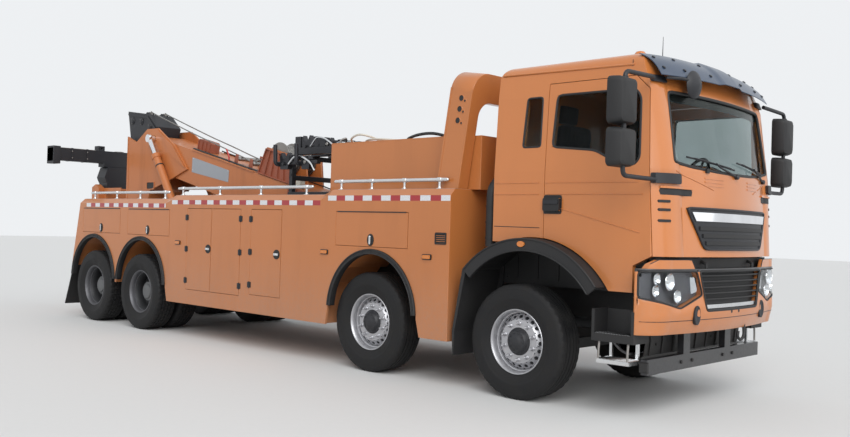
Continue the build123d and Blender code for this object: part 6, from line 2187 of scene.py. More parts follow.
    def head(self):
        """Sheave pins, keepers, wear pads and edges on the black boom head."""
        piece = Piece("head_fittings", "satin_black")
        for side in (-1, 1):
            for u, v in HEAD_PINS:
                centre = boom_point(u, v, side * 0.220)
                piece.use("satin_black")
                piece.turned(HEAD_PIN_CAP, centre, "Y", 28, facing=side)
                piece.use("worn_steel")
                for nut in spots_around(centre, 0.046, side * 0.010, 3, 0.3):
                    piece.hexagon(nut, 0.007, 0.006, "Y", side)
            piece.use("satin_black")
            on_boom(piece, HEAD_RIB, 0.219, 0.234, side)
            on_boom(piece, rectangle(4.29, 4.315, -0.17, 0.345), 0.219, 0.232, side)
            piece.use("worn_steel")
            for v in (-0.10, 0.0, 0.10):
                piece.hexagon(boom_point(4.235, v, side * 0.235), 0.012, 0.009, "Y", side)
        piece.use("worn_steel")
        for y in (-ROPE_ASIDE, ROPE_ASIDE):
            piece.turned(SHEAVE, boom_point(4.66, 0.540, y), "Y", 28)
        piece.use("satin_black")
        keeper = [(4.60, 0.52), (4.76, 0.505), (4.71, 0.565), (4.64, 0.572)]
        for y in (-0.165, -0.090, 0.090, 0.165):
            on_boom(piece, keeper, y - 0.006, y + 0.006)
        piece.done("boom_inner", "boom_black", bevel=0.0015, merge=False)

    def cylinders(self):
        """Glands, hose lines and pin plates on the lift cylinders."""
        base = joint_place("lift_barrel_swing")
        along = Vector(joint_of["lift_rod_slide"]["axis"]).normalized()
        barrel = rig.box("lift_barrels")[1].z
        reach = (barrel - base.z) / along.z - 0.015
        barrels = Piece("cylinder_glands", "boom_paint")
        for side in (-1, 1):
            centre = Vector((base.x, side * BARREL_ASIDE, base.z))

            def ring(profile):
                path = [centre + along * spot for spot, _ in profile]
                barrels.tube(path, [radius for _, radius in profile], 32)

            barrels.use("boom_paint")
            gland = ((-0.11, BARREL_RADIUS), (-0.105, 0.072), (-0.035, 0.072), (-0.030, BARREL_RADIUS))
            ring([(reach + back, radius) for back, radius in gland])
            ring(((0.125, BARREL_RADIUS), (0.130, 0.068), (0.155, 0.068), (0.160, BARREL_RADIUS)))
            barrels.use("worn_steel")
            across = along.cross(Vector((0, 1, 0)))
            pipe = (
                (0.22, 0.060), (0.22, 0.092), (0.40, 0.084), (reach - 0.16, 0.084), (reach - 0.07, 0.070),
            )
            path = [centre + along * a + across * b for a, b in pipe]
            barrels.tube(rounded_path(path, 0.04), 0.009, 10)
            barrels.use("frame_black")
            for spot in (0.45, reach - 0.25):
                ring([(spot + end, BARREL_RADIUS + 0.002) for end in (-0.012, 0.012)])
            cap = [(0.045, 0), (0.045, 0.006), (0.038, 0.010), (0.0, 0.010)]
            barrels.turned(cap, centre + Vector((0, side * 0.032, 0)), "Y", 24, facing=side)
        barrels.done("lift_barrels", "boom_orange", merge=False)


STEPS_PER_TURN = 30
DRUM_RADIUS = 0.150
ROPE_RUN = (
    (4.655, 0.586), (4.45, 0.560), (3.30, 0.462), (2.62, 0.418), (1.98, 0.372), (1.62, 0.374),
    (1.10, 0.715),
)


def winding(piece, centre, radius, low, high, wire, sides=10):
    """Rope laid in turns along a drum."""
    path = []
    for i in range(int((high - low) / wire) * STEPS_PER_TURN + 1):
        angle = math.tau * i / STEPS_PER_TURN
        along = low + wire * (i / STEPS_PER_TURN + 0.5)
        path.append(centre + Vector((radius * math.cos(angle), along, radius * math.sin(angle))))
    piece.tube(path, wire * 0.5, sides)


class TOWTRUCK_OT_ropes(bpy.types.Operator):
    """Rope turns on the drums, and the two taut ropes up to the head"""

    bl_idname = "towtruck.ropes"
    bl_label = "Ropes"

    def execute(self, context):
        wire = sizes().rope
        for name, side in SIDES:
            body = f"winch_drum_{name}"
            centre = joint_place(f"{body}_spin")
            centre.y = 0
            near, far = sorted((side * 0.034, side * 0.223))
            piece = Piece(f"rope_turns_{name}", "rope")
            winding(piece, centre, DRUM_RADIUS + wire * 0.48, near, far, wire)
            near, far = near + wire * 0.5, far - wire * 0.6
            winding(piece, centre, DRUM_RADIUS + wire * 1.34, near, far, wire)
            piece.use("worn_steel")
            for spot in spots_around(centre, 0.105, side * 0.239, 6):
                piece.hexagon(spot, 0.013, 0.005, "Y", side)
            piece.done(body, "winch_steel", merge=False)
        for y in (-ROPE_ASIDE, ROPE_ASIDE):
            path = [boom_point(u, v, y) for u, v in ROPE_RUN]
            piece = Piece("winch_rope", "rope")
            piece.tube(smooth_path(path, 10), wire * 0.5, 12)
            made = piece.done(None, "winch_steel", merge=False)
            head, foot = (tuple(boom_point(u, v, y)) for u, v in ((4.3, 0.5), (2.7, 0.42)))
            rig.blend(made, "boom_inner", "boom_outer", head, foot)
        return {"FINISHED"}


BAR_TOP = 2.680
BAR_HALF = 0.103
BAR_LEVELS = (2.466, 2.684)
ARM_BAND = (1.965, 2.049)
ARM_SIDE = 0.2995
ARM_BAND_SIDE = 0.312
CHAIN_TOP = 2.372
CHAIN_PITCH = 0.044
CHAIN_LINKS = 8
CHAIN_SPOT = (-8.790, -0.205)


class TOWTRUCK_OT_underlift(bpy.types.Operator):
    """Worn edges, bands and bolts of the folded lift arm, and the hook chain on the mast"""

    bl_idname = "towtruck.underlift"
    bl_label = "Lift arm"

    def execute(self, context):
        self.bar()
        self.arm()
        self.chain()
        return {"FINISHED"}

    def bar(self):
        """Worn top edges, end plates and clamps of the crossbar."""
        bar_low, bar_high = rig.box("underlift_crossbar")
        middle = (bar_low.x + bar_high.x) / 2
        bar = Piece("crossbar_fittings", "worn_steel")
        radius = 0.005
        for side in (-1, 1):
            for x in (middle - 0.0955, middle + 0.0955):
                edge = [
                    (x + radius * math.cos(a), BAR_TOP - 0.004 + radius * math.sin(a))
                    for a in (0, 1.57, 3.14, 4.71)
                ]
                bar.prism(edge, side * 0.46, side * 1.075)
            bar.prism(rounded_box(0.105, 0.11, 0.02, (middle, 2.56)), side * 1.199, side * 1.200)
            bar.use("satin_black")
            clamp = rectangle(middle - BAR_HALF, middle + BAR_HALF, *BAR_LEVELS)
            for y in (0.60, 0.86):
                bar.prism(clamp, side * y, side * (y + 0.030))
            bar.use("worn_steel")
            for y in (0.615, 0.875):
                for z in (2.52, 2.63):
                    for facing in (-1, 1):
                        bar.hexagon((middle + facing * BAR_HALF, side * y, z), 0.011, 0.008, "X", facing)
        bar.use("worn_steel")
        pin = [(0.085, 0), (0.085, 0.008), (0.075, 0.012), (0.058, 0.012)]
        bar.turned(pin, (middle, 0, BAR_TOP + 0.0003), "Z", 36)
        bar.done("underlift_crossbar", "boom_black", bevel=0.0015, merge=False)

    def arm(self):
        """Pads, the band round the head, pivot caps and bolts of the arm."""
        arm_low, arm_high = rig.box("underlift_arm")
        pivot = joint_place("underlift_fold")
        arm = Piece("arm_fittings", "boom_paint")
        band_side = rectangle(arm_low.x + 0.001, arm_high.x - 0.001, *ARM_BAND)
        for side in (-1, 1):
            for z in (1.05, 1.38, 1.71):
                pad = [
                    (arm_low.x + shift, z + 0.05 * math.cos(a))
                    for shift, a in ((0.06, 1.57), (0.17, 0.0), (0.28, 1.57), (0.17, 3.14))
                ]
                arm.prism(pad, side * ARM_SIDE, side * 0.304)
            arm.prism(band_side, side * ARM_SIDE, side * ARM_BAND_SIDE)
        band_face = rectangle(-ARM_BAND_SIDE, ARM_BAND_SIDE, *ARM_BAND)
        arm.prism(band_face, arm_low.x, arm_low.x + 0.0005, "X")
        arm.use("worn_steel")
        cap = [(0.062, 0), (0.062, 0.006), (0.052, 0.010), (0.0, 0.010)]
        for side in (-1, 1):
            arm.turned(cap, (pivot.x, side * 0.222, pivot.z), "Y", 28, facing=side)
            for z in (1.975, 2.035):
                arm.hexagon((arm_low.x + 0.17, side * ARM_BAND_SIDE, z), 0.012, 0.008, "Y", side)
        arm.done("underlift_arm", "boom_orange", merge=False)

    def chain(self):
        """A short chain with a hook, hung from the mast."""
        piece = Piece("tail_chain", "worn_steel")
        x, y = ahead(CHAIN_SPOT[0]), CHAIN_SPOT[1]
        piece.use("satin_black")
        tab = [(-8.750, -0.040), (-8.815, -0.022), (-8.815, 0.022), (-8.750, 0.040)]
        piece.prism([(ahead(a), y + b) for a, b in tab], 2.385, 2.400, "Z")
        piece.use("worn_steel")
        for i in range(CHAIN_LINKS):
            z = CHAIN_TOP - CHAIN_PITCH * i
            wide = oval(0.0165, 0.031, (0, 0), 16)
            link = [(x, y + a, z + b) if i % 2 else (x + a, y, z + b) for a, b in wide]
            piece.tube(link, 0.0055, 8, loop=True)
        piece.use("hook_red")
        low = CHAIN_TOP - CHAIN_PITCH * CHAIN_LINKS
        hook = (
            (0, 0.012), (0, -0.030), (0.028, -0.062), (0.020, -0.100), (-0.020, -0.108),
            (-0.040, -0.078), (-0.036, -0.058),
        )
        path = smooth_path([(x + a, y, low + b) for a, b in hook], 6)
        last = len(path) - 1
        radii = [0.009 + 0.006 * math.sin(math.pi * i / last) for i in range(last + 1)]
        piece.tube(path, radii, 12)
        piece.done("boom_outer", "winch_steel", merge=False)


TOOL_ROW = (-0.84, -0.56, -0.28, 0.0, 0.28, 0.56, 0.84)
SHACKLED = (1, 4)
SADDLE = [
    (-0.075, -0.12), (0.075, -0.12), (0.090, 0.030), (0.062, 0.085), (0.040, 0.040),
    (0.018, 0.012), (-0.018, 0.012), (-0.040, 0.040), (-0.062, 0.085), (-0.090, 0.030),
]
RECEIVER = [(0.0, -0.058), (0.020, -0.058), (0.020, 0.050), (0.030, 0.050), (0.030, 0.060), (0.0, 0.060)]
ROD_CAP = [(0.0, 0), (0.024, 0), (0.024, 0.012), (0.016, 0.018), (0.0, 0.018)]
SHACKLE_PIN = [(0.0, -0.06), (0.015, -0.06), (0.015, 0.06), (0.0, 0.06)]


class TOWTRUCK_OT_forks(bpy.types.Operator):
    """Stored forks, receivers and bent rods on the rack"""

    bl_idname = "towtruck.forks"
    bl_label = "Stored forks"

    def execute(self, context):
        low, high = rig.box("tow_forks")
        piece = Piece("stored_tools", "tool_steel")
        for i, y in enumerate(TOOL_ROW):
            x = low.x + 0.16 + 0.07 * (i % 3)
            is_end = y in (TOOL_ROW[0], TOOL_ROW[-1])
            z = high.z - (0.34 if is_end else 0.13) + 0.025 * (i % 2)
            self.tool(piece, x, y, z, 0.06 + 0.03 * (i % 2))
            if i in SHACKLED:
                self.shackle(piece, x + 0.66, y, z)
        piece.use("tool_steel")
        for side in (-1, 1):
            for x in (low.x + 0.05, low.x + 0.46):
                arm = ((0.66, -0.40), (0.92, -0.40), (0.93, -0.16))
                path = [(x, side * y, high.z + drop) for y, drop in arm]
                piece.tube(rounded_path(path, 0.05), 0.026, 14)
            beam = rounded_box(0.030, 0.022, 0.008, (side * 0.84, high.z - 0.385))
            piece.prism(beam, low.x + 0.02, low.x + 0.78, "X")
        for z in (2.15, 2.40):
            for side in (-1, 1):
                for x in (low.x + 0.04, high.x - 0.04):
                    piece.hexagon((x, side * 0.668, z), 0.014, 0.010, "Y", side)
        piece.done("chassis", "tool_black", bevel=0.003, merge=False)
        return {"FINISHED"}

    def tool(self, piece, x, y, z, rise):
        """A pair of saddles with their pin and a bent rod between them."""
        piece.use("tool_steel")
        piece.prism([(x + a, z + b) for a, b in SADDLE], y - 0.032, y + 0.032)
        small = [(x + 0.40 + a * 0.9, z - 0.03 + b * 0.8) for a, b in SADDLE]
        piece.prism(small, y - 0.028, y + 0.028)
        piece.turned(RECEIVER, (x, y, z - 0.055), "Y", 20)
        piece.use("bright_tube")
        rod = (
            (0.10, 0.045, -0.06), (0.22, 0.050, rise * 0.6), (0.36, 0.050, rise * 0.4),
            (0.52, 0.045, -0.05), (0.60, 0.045, -0.15),
        )
        path = [(x + a, y - aside, z + b) for a, aside, b in rod]
        piece.tube(rounded_path(path, 0.08), 0.011, 10)
        piece.use("worn_steel")
        piece.turned(ROD_CAP, (x + 0.40, y - 0.028, z - 0.04), "Y", 18, facing=-1)

    def shackle(self, piece, x, y, z):
        bow = [
            (x, y - 0.04, z - 0.10), (x, y - 0.045, z - 0.02), (x + 0.04, y, z + 0.015),
            (x, y + 0.045, z - 0.02), (x, y + 0.04, z - 0.10),
        ]
        piece.tube(smooth_path(bow, 6), 0.013, 12)
        piece.turned(SHACKLE_PIN, (x, y, z - 0.10), "Y", 16)


SEAM_WIDTH = 0.022
CAB_FLOOR = 1.530
SEAT_ASIDE = 0.56
FILL = 0.7


def cushion(name, centre, half, crown, tilt, channels=2):
    """A crowned pad: squared-off sides, a swollen face, stitched channels and a piped edge."""
    across, rings = 72, 40
    piece = Piece(name, "cloth")
    turn = Matrix.Rotation(tilt, 3, "Y")

    def power(value, exponent):
        return math.copysign(abs(value) ** exponent, value)

    def spot(u, v):
        flat = power(math.cos(v), 0.30)
        a = flat * power(math.cos(u), 0.22)
        b = flat * power(math.sin(u), 0.22)
        c = power(math.sin(v), 0.45)
        swell = crown * (1 - a * a) * (1 - b * b) * (1 if c > 0 else 0.3)
        middles = [2 * (k + 0.5) / channels - 1 for k in range(channels)]
        seam = sum(math.exp(-((b - middle) / SEAM_WIDTH) ** 2) for middle in middles)
        seam += math.exp(-((abs(b) - 0.74) / SEAM_WIDTH) ** 2) if abs(a) < 0.9 else 0
        c = c + (swell - 0.010 * min(1.0, seam) * max(0.0, c)) / half[2]
        return Vector(centre) + turn @ Vector((a * half[0], b * half[1], c * half[2]))

    def loop(v):
        return [spot(math.tau * i / across, v) for i in range(across)]

    piece.rings([loop(math.pi * (j / rings - 0.5) * 0.985) for j in range(rings + 1)])
    piece.use("seal_rubber")
    piece.tube(loop(0.0), 0.004, 8, loop=True)
    made = piece.done("chassis", "cab_lining", merge=False, angle=60)
    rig.padded(made, fill=FILL)


DASHBOARD = (
    # the dashboard's section as (gap, height over the cab's floor)
    (1.255, 0.19), (1.262, 0.44), (1.200, 0.515), (1.080, 0.545), (1.010, 0.500), (0.985, 0.400),
    (1.020, 0.300), (1.090, 0.230), (1.100, 0.02), (1.170, 0.02), (1.190, 0.19),
)
WHEEL_RADIUS = 0.225
WHEEL_HUB = ((0.030, -0.06), (0.055, -0.03), (0.058, 0.004), (0.045, 0.016), (0.010, 0.019))
SPOKE = (
    # distance from the hub's middle, height, radius
    (0.03, -0.02, 0.018),
    (0.13, -0.012, 0.013),
    (0.215, 0, 0.011),
)


class TOWTRUCK_OT_interior(bpy.types.Operator):
    """Seats, floor mat, dashboard, steering wheel and shift lever inside the cab"""

    bl_idname = "towtruck.interior"
    bl_label = "Interior"

    def execute(self, context):
        floor = CAB_FLOOR
        seat = ahead(0.260)
        for side in (-1, 1):
            y = side * SEAT_ASIDE
            pad = (seat + 0.165, y, floor + 0.330)
            cushion(f"seat_pad_{side}", pad, (0.255, 0.245, 0.070), 0.030, -0.06)
            back = (seat - 0.125, y, floor + 0.690)
            cushion(f"seat_back_{side}", back, (0.320, 0.235, 0.062), 0.026, math.radians(98))
            rest = (seat - 0.165, y, floor + 1.115)
            cushion(f"head_rest_{side}", rest, (0.085, 0.125, 0.045), 0.016, math.radians(96), 1)
        self.frames(floor, seat)
        self.dashboard(floor)
        return {"FINISHED"}

    def frames(self, floor, seat):
        """Seat bases with their bellows, stays and arm rests, and the floor mat."""
        piece = Piece("seat_frames", "satin_black")
        for side in (-1, 1):
            y = side * SEAT_ASIDE
            middle = (seat + 0.165, y)
            for low, high, wide in ((0.0, 0.06, 0.20), (0.20, 0.262, 0.235)):
                piece.prism(rounded_box(0.20, wide, 0.03, middle), floor + low, floor + high, "Z")
            for i in range(5):
                reach = 0.175 - 0.018 * (i % 2)
                fold = rounded_box(reach, reach, 0.03, middle)
                low = floor + 0.06 + 0.028 * i
                piece.prism(fold, low, low + 0.028, "Z")
            for step in (-1, 1):
                stay_y = y + step * 0.05
                stay = [(seat - 0.165, stay_y, floor + 0.96), (seat - 0.166, stay_y, floor + 1.10)]
                piece.tube(stay, 0.007, 10)
                arm_y = y + step * 0.275
                arm = [(seat - 0.115, arm_y, floor + 0.52), (seat + 0.20, arm_y, floor + 0.53)]
                piece.tube(arm, 0.026, 14)
        piece.use("lining")
        mat = rounded_box(0.13, 0.90, 0.03, (ahead(-0.10), 0))
        piece.prism(mat, floor + 0.001, floor + 0.008, "Z")
        piece.done("chassis", "cab_lining", bevel=0.004, merge=False)

    def dashboard(self, floor):
        """The dashboard with a hood over the dials, its vents, the wheel and the shift lever."""
        piece = Piece("dashboard", "lining")
        rows = []
        for y in spread(-0.99, 0.99, 40):
            hood = math.exp(-((y - SEAT_ASIDE) / 0.24) ** 4)
            rows.append([
                (ahead(x - 0.035 * hood * (z > 0.38)), y, floor + z + 0.045 * hood * (z > 0.48))
                for x, z in DASHBOARD
            ])
        piece.rings(rows)
        piece.use("satin_black")
        dials = ((0.952, 0.405), (0.964, 0.50), (0.972, 0.50), (0.960, 0.405))
        piece.prism([(ahead(x), floor + z) for x, z in dials], 0.36, 0.76)
        piece.use("grained_black")
        for y in (-0.62, -0.10, 0.12):
            vent = rounded_box(0.075, 0.030, 0.01, (y, floor + 0.445))
            piece.prism(vent, ahead(0.985), ahead(1.01), "X")
        piece.use("satin_black")
        self.steering(piece, floor)
        x = ahead(0.72)
        lever = [(x, 0.18, floor), (ahead(0.74), 0.18, floor + 0.30), (x, 0.19, floor + 0.46)]
        piece.tube(rounded_path(lever, 0.06), 0.011, 12)
        knob = [(0.0, -0.02), (0.020, -0.015), (0.030, 0.01), (0.022, 0.04), (0.0, 0.05)]
        piece.turned(knob, (x, 0.19, floor + 0.47), "Z", 18)
        piece.done("chassis", "cab_lining", bevel=0.003, replaces=("cab_interior",), merge=False)

    def steering(self, piece, floor):
        """Steering wheel, its spokes and hub, and the column."""
        hub = Vector((ahead(0.830), SEAT_ASIDE, floor + 0.560))
        tilt = Matrix.Rotation(math.radians(-62), 3, "Y")

        def at(a, b, c):
            return hub + tilt @ Vector((a, b, c))

        rim = [at(WHEEL_RADIUS * c, WHEEL_RADIUS * s, 0) for c, s in turns(48)]
        piece.tube(rim, 0.015, 12, loop=True)
        for angle in (0.0, math.pi, math.pi * 1.5):
            c, s = math.cos(angle), math.sin(angle)
            path = [at(reach * c, reach * s, high) for reach, high, _ in SPOKE]
            piece.tube(path, [radius for _, _, radius in SPOKE], 10)
        piece.rings([[at(radius * c, radius * s, high) for c, s in turns(24)] for radius, high in WHEEL_HUB])
        piece.tube([at(0, 0, -0.05), at(0, 0, -0.26)], [0.034, 0.040], 20)


TAIL_FOOT = -8.5934
TAIL_FOOT_HEIGHT = 0.9
TAIL_LEAN = 0.2275
REAR_PLATE = (-0.755, 1.100)
SILENCER_ASIDE = -0.18
TANKS = ((-3.05, -0.20), (-3.05, 0.20), (-4.00, -0.20), (-4.00, 0.20))
EXHAUST = (
    (-4.60, -0.18, 0.56), (-4.42, -0.18, 0.60), (-4.36, -0.27, 0.66), (-3.60, -0.36, 0.66),
    (-2.30, -0.36, 0.66),
)
BRAKE_CHAMBER = [
    (0.0, -0.09), (0.060, -0.09), (0.070, -0.07), (0.070, -0.01), (0.078, -0.01), (0.078, 0.01),
    (0.070, 0.01), (0.066, 0.06), (0.030, 0.075), (0.0, 0.075),
]
BRAKE_REAR, BRAKE_ASIDE = 0.20, 0.56
ARCH_SHADE_WALL = [
    (-0.620, 1.020), (0.740, 1.020), (0.660, 1.200), (0.500, 1.360), (0.300, 1.450),
    (0.050, 1.484), (-0.200, 1.460), (-0.400, 1.360), (-0.540, 1.200),
]
ARCH_SHADE_WALL_ASIDE = 0.690
GUARD_AND_SHADE = [(1.020, 0.500), (1.130, 0.480), (1.165, 0.510), (1.180, 0.640), (1.165, 0.790)]
GUARD_AND_SHADE_RIBS = 9


class TOWTRUCK_OT_underbody(bpy.types.Operator):
    """Air tanks, silencer, brake chambers, a sump guard that is partly painted shade, black arch walls that are
    painted shade, and the blank rear plate
    """

    bl_idname = "towtruck.underbody"
    bl_label = "Underbody"

    def execute(self, context):
        piece = Piece("air_tanks", "frame_black")
        for x, y in TANKS:
            self.tank(piece, ahead(x), y, 0.565, 0.115, 0.30)
        piece.use("cast_grey")
        self.tank(piece, ahead(-4.95), SILENCER_ASIDE, 0.560, 0.130, 0.34)
        piece.use("worn_steel")
        pipe = [(ahead(x), y, z) for x, y, z in EXHAUST]
        piece.tube(rounded_path(pipe, 0.10), 0.045, 16)
        for n in ALL_AXLES:
            axle = joint_place(f"wheel_{n}_right_spin")
            x = axle.x - BRAKE_REAR
            for side in (-1, 1):
                y = side * BRAKE_ASIDE
                piece.use("frame_black")
                piece.turned(BRAKE_CHAMBER, (x, y, axle.z + 0.06), "X", 28)
                piece.use("hose_rubber")
                hose = [
                    (x, y, axle.z + 0.13), (x, side * 0.52, axle.z + 0.22),
                    (x - 0.06, side * 0.44, axle.z + 0.28),
                ]
                piece.tube(rounded_path(hose, 0.05), 0.010, 10)
        piece.done("chassis", "frame_black", merge=False)
        self.guard_and_shade()
        for side_name, side in SIDES:
            self.arch_shade_wall(side_name, side)
        self.rear_plate()
        return {"FINISHED"}

    def rear_plate(self):
        """A blank plate on its holder, laid on the body's leaning rear wall."""
        tail = Piece("tail_plates", "satin_black")
        for look, half_width, half_height, out, thick in (
            ("satin_black", 0.200, 0.072, -0.002, 0.008), ("plate_blank", 0.190, 0.062, 0.006, 0.002),
        ):
            tail.use(look)
            laid = []
            for y, z in rounded_box(half_width, half_height, 0.010, REAR_PLATE):
                wall = ahead(TAIL_FOOT) + (z - TAIL_FOOT_HEIGHT) * TAIL_LEAN
                laid.append((wall - out, y, z))
            tail.plate(laid, (-thick, 0, 0))
        tail.done("chassis", "black_plastic", merge=False)

    def arch_shade_wall(self, side_name, side):
        """A black wall inside a front arch, with pressed ribs and bolts: painted shade of the arch's hollow."""
        # black wall put inside the arch: painted shade of the wheel house
        piece = Piece(f"arch_shade_wall_{side_name}", "grained_black")
        wall = [(ahead(x), z) for x, z in ARCH_SHADE_WALL]
        piece.prism(wall, *sorted((side * ARCH_SHADE_WALL_ASIDE, side * (ARCH_SHADE_WALL_ASIDE + 0.005))))
        face = ARCH_SHADE_WALL_ASIDE + 0.0045
        for x in (-0.36, -0.12, 0.12, 0.36):
            rib = rounded_box(0.020, 0.130, 0.018, (ahead(x), 1.200))
            piece.prism(rib, *sorted((side * face, side * (ARCH_SHADE_WALL_ASIDE + 0.013))))
        for x, z in ((-0.480, 1.080), (-0.240, 1.370), (0.240, 1.400), (0.560, 1.080)):
            piece.hexagon((ahead(x), side * face, z), 0.012, 0.009, facing=side)
        piece.done("chassis", "black_plastic", merge=False)

    def guard_and_shade(self):
        """The ribbed black sheet behind the front bar, under the radiator: partly a guard, partly painted shade of the
        dark underside.
        """
        # black sheet under the bumper: partly the dark parts behind it, partly painted shade of the underside
        piece = Piece("sump_guard_and_shade", "frame_black")
        back = [(x - 0.006, z + 0.005) for x, z in reversed(GUARD_AND_SHADE)]
        piece.prism([(ahead(x), z) for x, z in GUARD_AND_SHADE + back], -0.900, 0.900)
        front = GUARD_AND_SHADE[2:]
        rib = [(ahead(x + 0.012), z) for x, z in front]
        rib += [(ahead(x), z) for x, z in reversed(front)]
        for y in spread(-0.820, 0.820, GUARD_AND_SHADE_RIBS - 1):
            piece.prism(rib, y - 0.014, y + 0.014)
        for y in (-0.72, -0.31, 0.31, 0.72):
            piece.hexagon((ahead(1.176), y, 0.600), 0.012, 0.010, "X")
        piece.done("chassis", "frame_black", merge=False)

    def tank(self, piece, x, y, z, radius, half):
        """A tank with domed ends and two straps, along X."""
        bulge = radius * 0.4
        dome = [
            (radius * math.cos(a), half - bulge + bulge * math.sin(a))
            for a in (0, 0.3, 0.6, 0.9, 1.2, 1.45)
        ]
        profile = [(r, -w) for r, w in reversed(dome)] + dome
        piece.turned(profile, (x, y, z), "X", 40)
        outer = radius + 0.004
        for spot in (-0.5 * half, 0.5 * half):
            strap = [
                (radius, spot - 0.02), (outer, spot - 0.018), (outer, spot + 0.018), (radius, spot + 0.02),
            ]
            piece.turned(strap, (x, y, z), "X", 40)


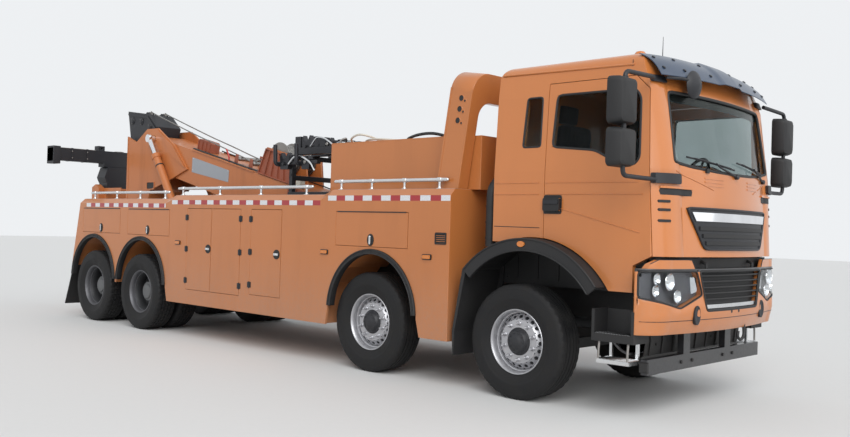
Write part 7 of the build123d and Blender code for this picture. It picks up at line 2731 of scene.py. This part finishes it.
class TOWTRUCK_OT_stage(bpy.types.Operator):
    """Floor, lights and the camera at the photograph's angle"""

    bl_idname = "towtruck.stage"
    bl_label = "Stage"

    floor_reach = 60.0
    floor_drop = 0.001
    camera_ahead = 5.0539
    camera_side = -7.7501
    camera_height = 1.5427
    yaw = 43.3761
    pitch = 0.5583
    roll = 1.7004
    lens = 38.387
    sensor = 36.0
    aim = (-3.0, 0, 1.2)
    lamps = (
        # name, kind, place (the first number is ahead of the front axle), power, spread
        ("sky_key", "SUN", (6.0, -9.0, 11.0), 2.0, 0.8),
        ("sky_fill", "SUN", (9.0, 6.0, 9.0), 0.5, 1.2),
        ("side_fill", "AREA", (10.0, -6.0, 5.0), 200.0, 8.0),
    )

    def execute(self, context):
        self.floor()
        self.camera(context)
        self.lights(context)
        return {"FINISHED"}

    def floor(self):
        data = bpy.data.meshes.new("studio_floor")
        reach = self.floor_reach
        corners = [(x, y, -self.floor_drop) for x, y in rectangle(-reach, reach, -reach, reach)]
        data.from_pydata(corners, [], [(0, 1, 2, 3)])
        floor = bpy.data.objects.new("studio_floor", data)
        bpy.context.scene.collection.objects.link(floor)
        shader = Shader("studio_floor")
        speckle = shader.noise(18, 3)
        colour = tuple(paints().floor)
        data.materials.append(shader.surface(shader.mix(speckle, shade(colour, 0.97), colour), 0.85))
        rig.stage(floor)

    def camera(self, context):
        yaw, pitch, roll = (math.radians(angle) for angle in (self.yaw, self.pitch, self.roll))
        forward = Vector((-math.sin(yaw) * math.cos(pitch), math.cos(yaw) * math.cos(pitch), math.sin(pitch)))
        level = Vector((math.cos(yaw), math.sin(yaw), 0))
        upright = level.cross(forward)
        right = level * math.cos(roll) + upright * math.sin(roll)
        up = upright * math.cos(roll) - level * math.sin(roll)
        data = bpy.data.cameras.new("camera")
        data.sensor_width = self.sensor
        data.lens = self.lens
        camera = bpy.data.objects.new("camera", data)
        rows = Matrix((right, up, -forward)).transposed().to_4x4()
        place = Matrix.Translation((ahead(self.camera_ahead), self.camera_side, self.camera_height))
        camera.matrix_world = place @ rows
        context.scene.collection.objects.link(camera)
        context.scene.camera = camera

    def lights(self, context):
        scene = context.scene
        scene.view_settings.view_transform = "Standard"
        world = bpy.data.worlds.new("studio")
        scene.world = world
        world.use_nodes = True
        tree = world.node_tree
        tree.nodes.clear()
        soft = add_node(tree, "ShaderNodeBackground", None, {"Color": (0.93, 0.96, 1.0), "Strength": 0.50})
        pale = add_node(tree, "ShaderNodeBackground", None, {"Color": (0.90, 0.92, 0.94), "Strength": 0.95})
        rays = add_node(tree, "ShaderNodeLightPath").outputs
        sharp = add_node(tree, "ShaderNodeMath", {"operation": "MAXIMUM"},
                         {0: rays["Is Camera Ray"], 1: rays["Is Glossy Ray"]})
        seen = add_node(tree, "ShaderNodeMath", {"operation": "MAXIMUM"},
                        {0: sharp.outputs[0], 1: rays["Is Transmission Ray"]})
        mixed = add_node(tree, "ShaderNodeMixShader", None,
                         {0: seen.outputs[0], 1: soft.outputs[0], 2: pale.outputs[0]})
        add_node(tree, "ShaderNodeOutputWorld", None, {"Surface": mixed.outputs[0]})
        aim = Vector((ahead(self.aim[0]), *self.aim[1:]))
        for name, kind, (gap, y, z), power, softness in self.lamps:
            data = bpy.data.lights.new(name, kind)
            data.energy = power
            if kind == "SUN":
                data.angle = softness
            else:
                data.size = softness
            lamp = bpy.data.objects.new(name, data)
            lamp.location = (ahead(gap), y, z)
            lamp.rotation_euler = (aim - lamp.location).to_track_quat("-Z", "Y").to_euler()
            scene.collection.objects.link(lamp)


class TOWTRUCK_PT_panel(bpy.types.Panel):
    """Lists the truck's pieces"""

    bl_idname = "TOWTRUCK_PT_panel"
    bl_label = "Tow Truck"
    bl_space_type = "VIEW_3D"
    bl_region_type = "UI"
    bl_category = "Tow Truck"

    def draw(self, context):
        for operator in OPERATORS:
            self.layout.operator(operator.bl_idname)
        for group in (context.scene.tow_truck_paints, context.scene.tow_truck_sizes):
            for name in type(group).__annotations__:
                self.layout.prop(group, name)


OPERATORS = (
    TOWTRUCK_OT_finishes,
    TOWTRUCK_OT_tyres,
    TOWTRUCK_OT_rims,
    TOWTRUCK_OT_body,
    TOWTRUCK_OT_cab,
    TOWTRUCK_OT_visor,
    TOWTRUCK_OT_front,
    TOWTRUCK_OT_steps,
    TOWTRUCK_OT_upper,
    TOWTRUCK_OT_boom,
    TOWTRUCK_OT_ropes,
    TOWTRUCK_OT_underlift,
    TOWTRUCK_OT_forks,
    TOWTRUCK_OT_interior,
    TOWTRUCK_OT_underbody,
    TOWTRUCK_OT_stage,
)
CLASSES = (TowTruckPaints, TowTruckSizes, *OPERATORS, TOWTRUCK_PT_panel)


def register():
    for made in CLASSES:
        bpy.utils.register_class(made)
    bpy.types.Scene.tow_truck_paints = bpy.props.PointerProperty(type=TowTruckPaints)
    bpy.types.Scene.tow_truck_sizes = bpy.props.PointerProperty(type=TowTruckSizes)


def unregister():
    del bpy.types.Scene.tow_truck_sizes
    del bpy.types.Scene.tow_truck_paints
    for made in reversed(CLASSES):
        bpy.utils.unregister_class(made)


def main():
    register()
    for operator in OPERATORS:
        group, name = operator.bl_idname.split(".")
        getattr(getattr(bpy.ops, group), name)()
    low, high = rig.bounds()
    measures = {"cad": [list(cad_low), list(cad_high)], "visual": [list(low), list(high)]}
    with open("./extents.json", "w") as out:
        json.dump(measures, out)


if __name__ == "__main__":
    main()
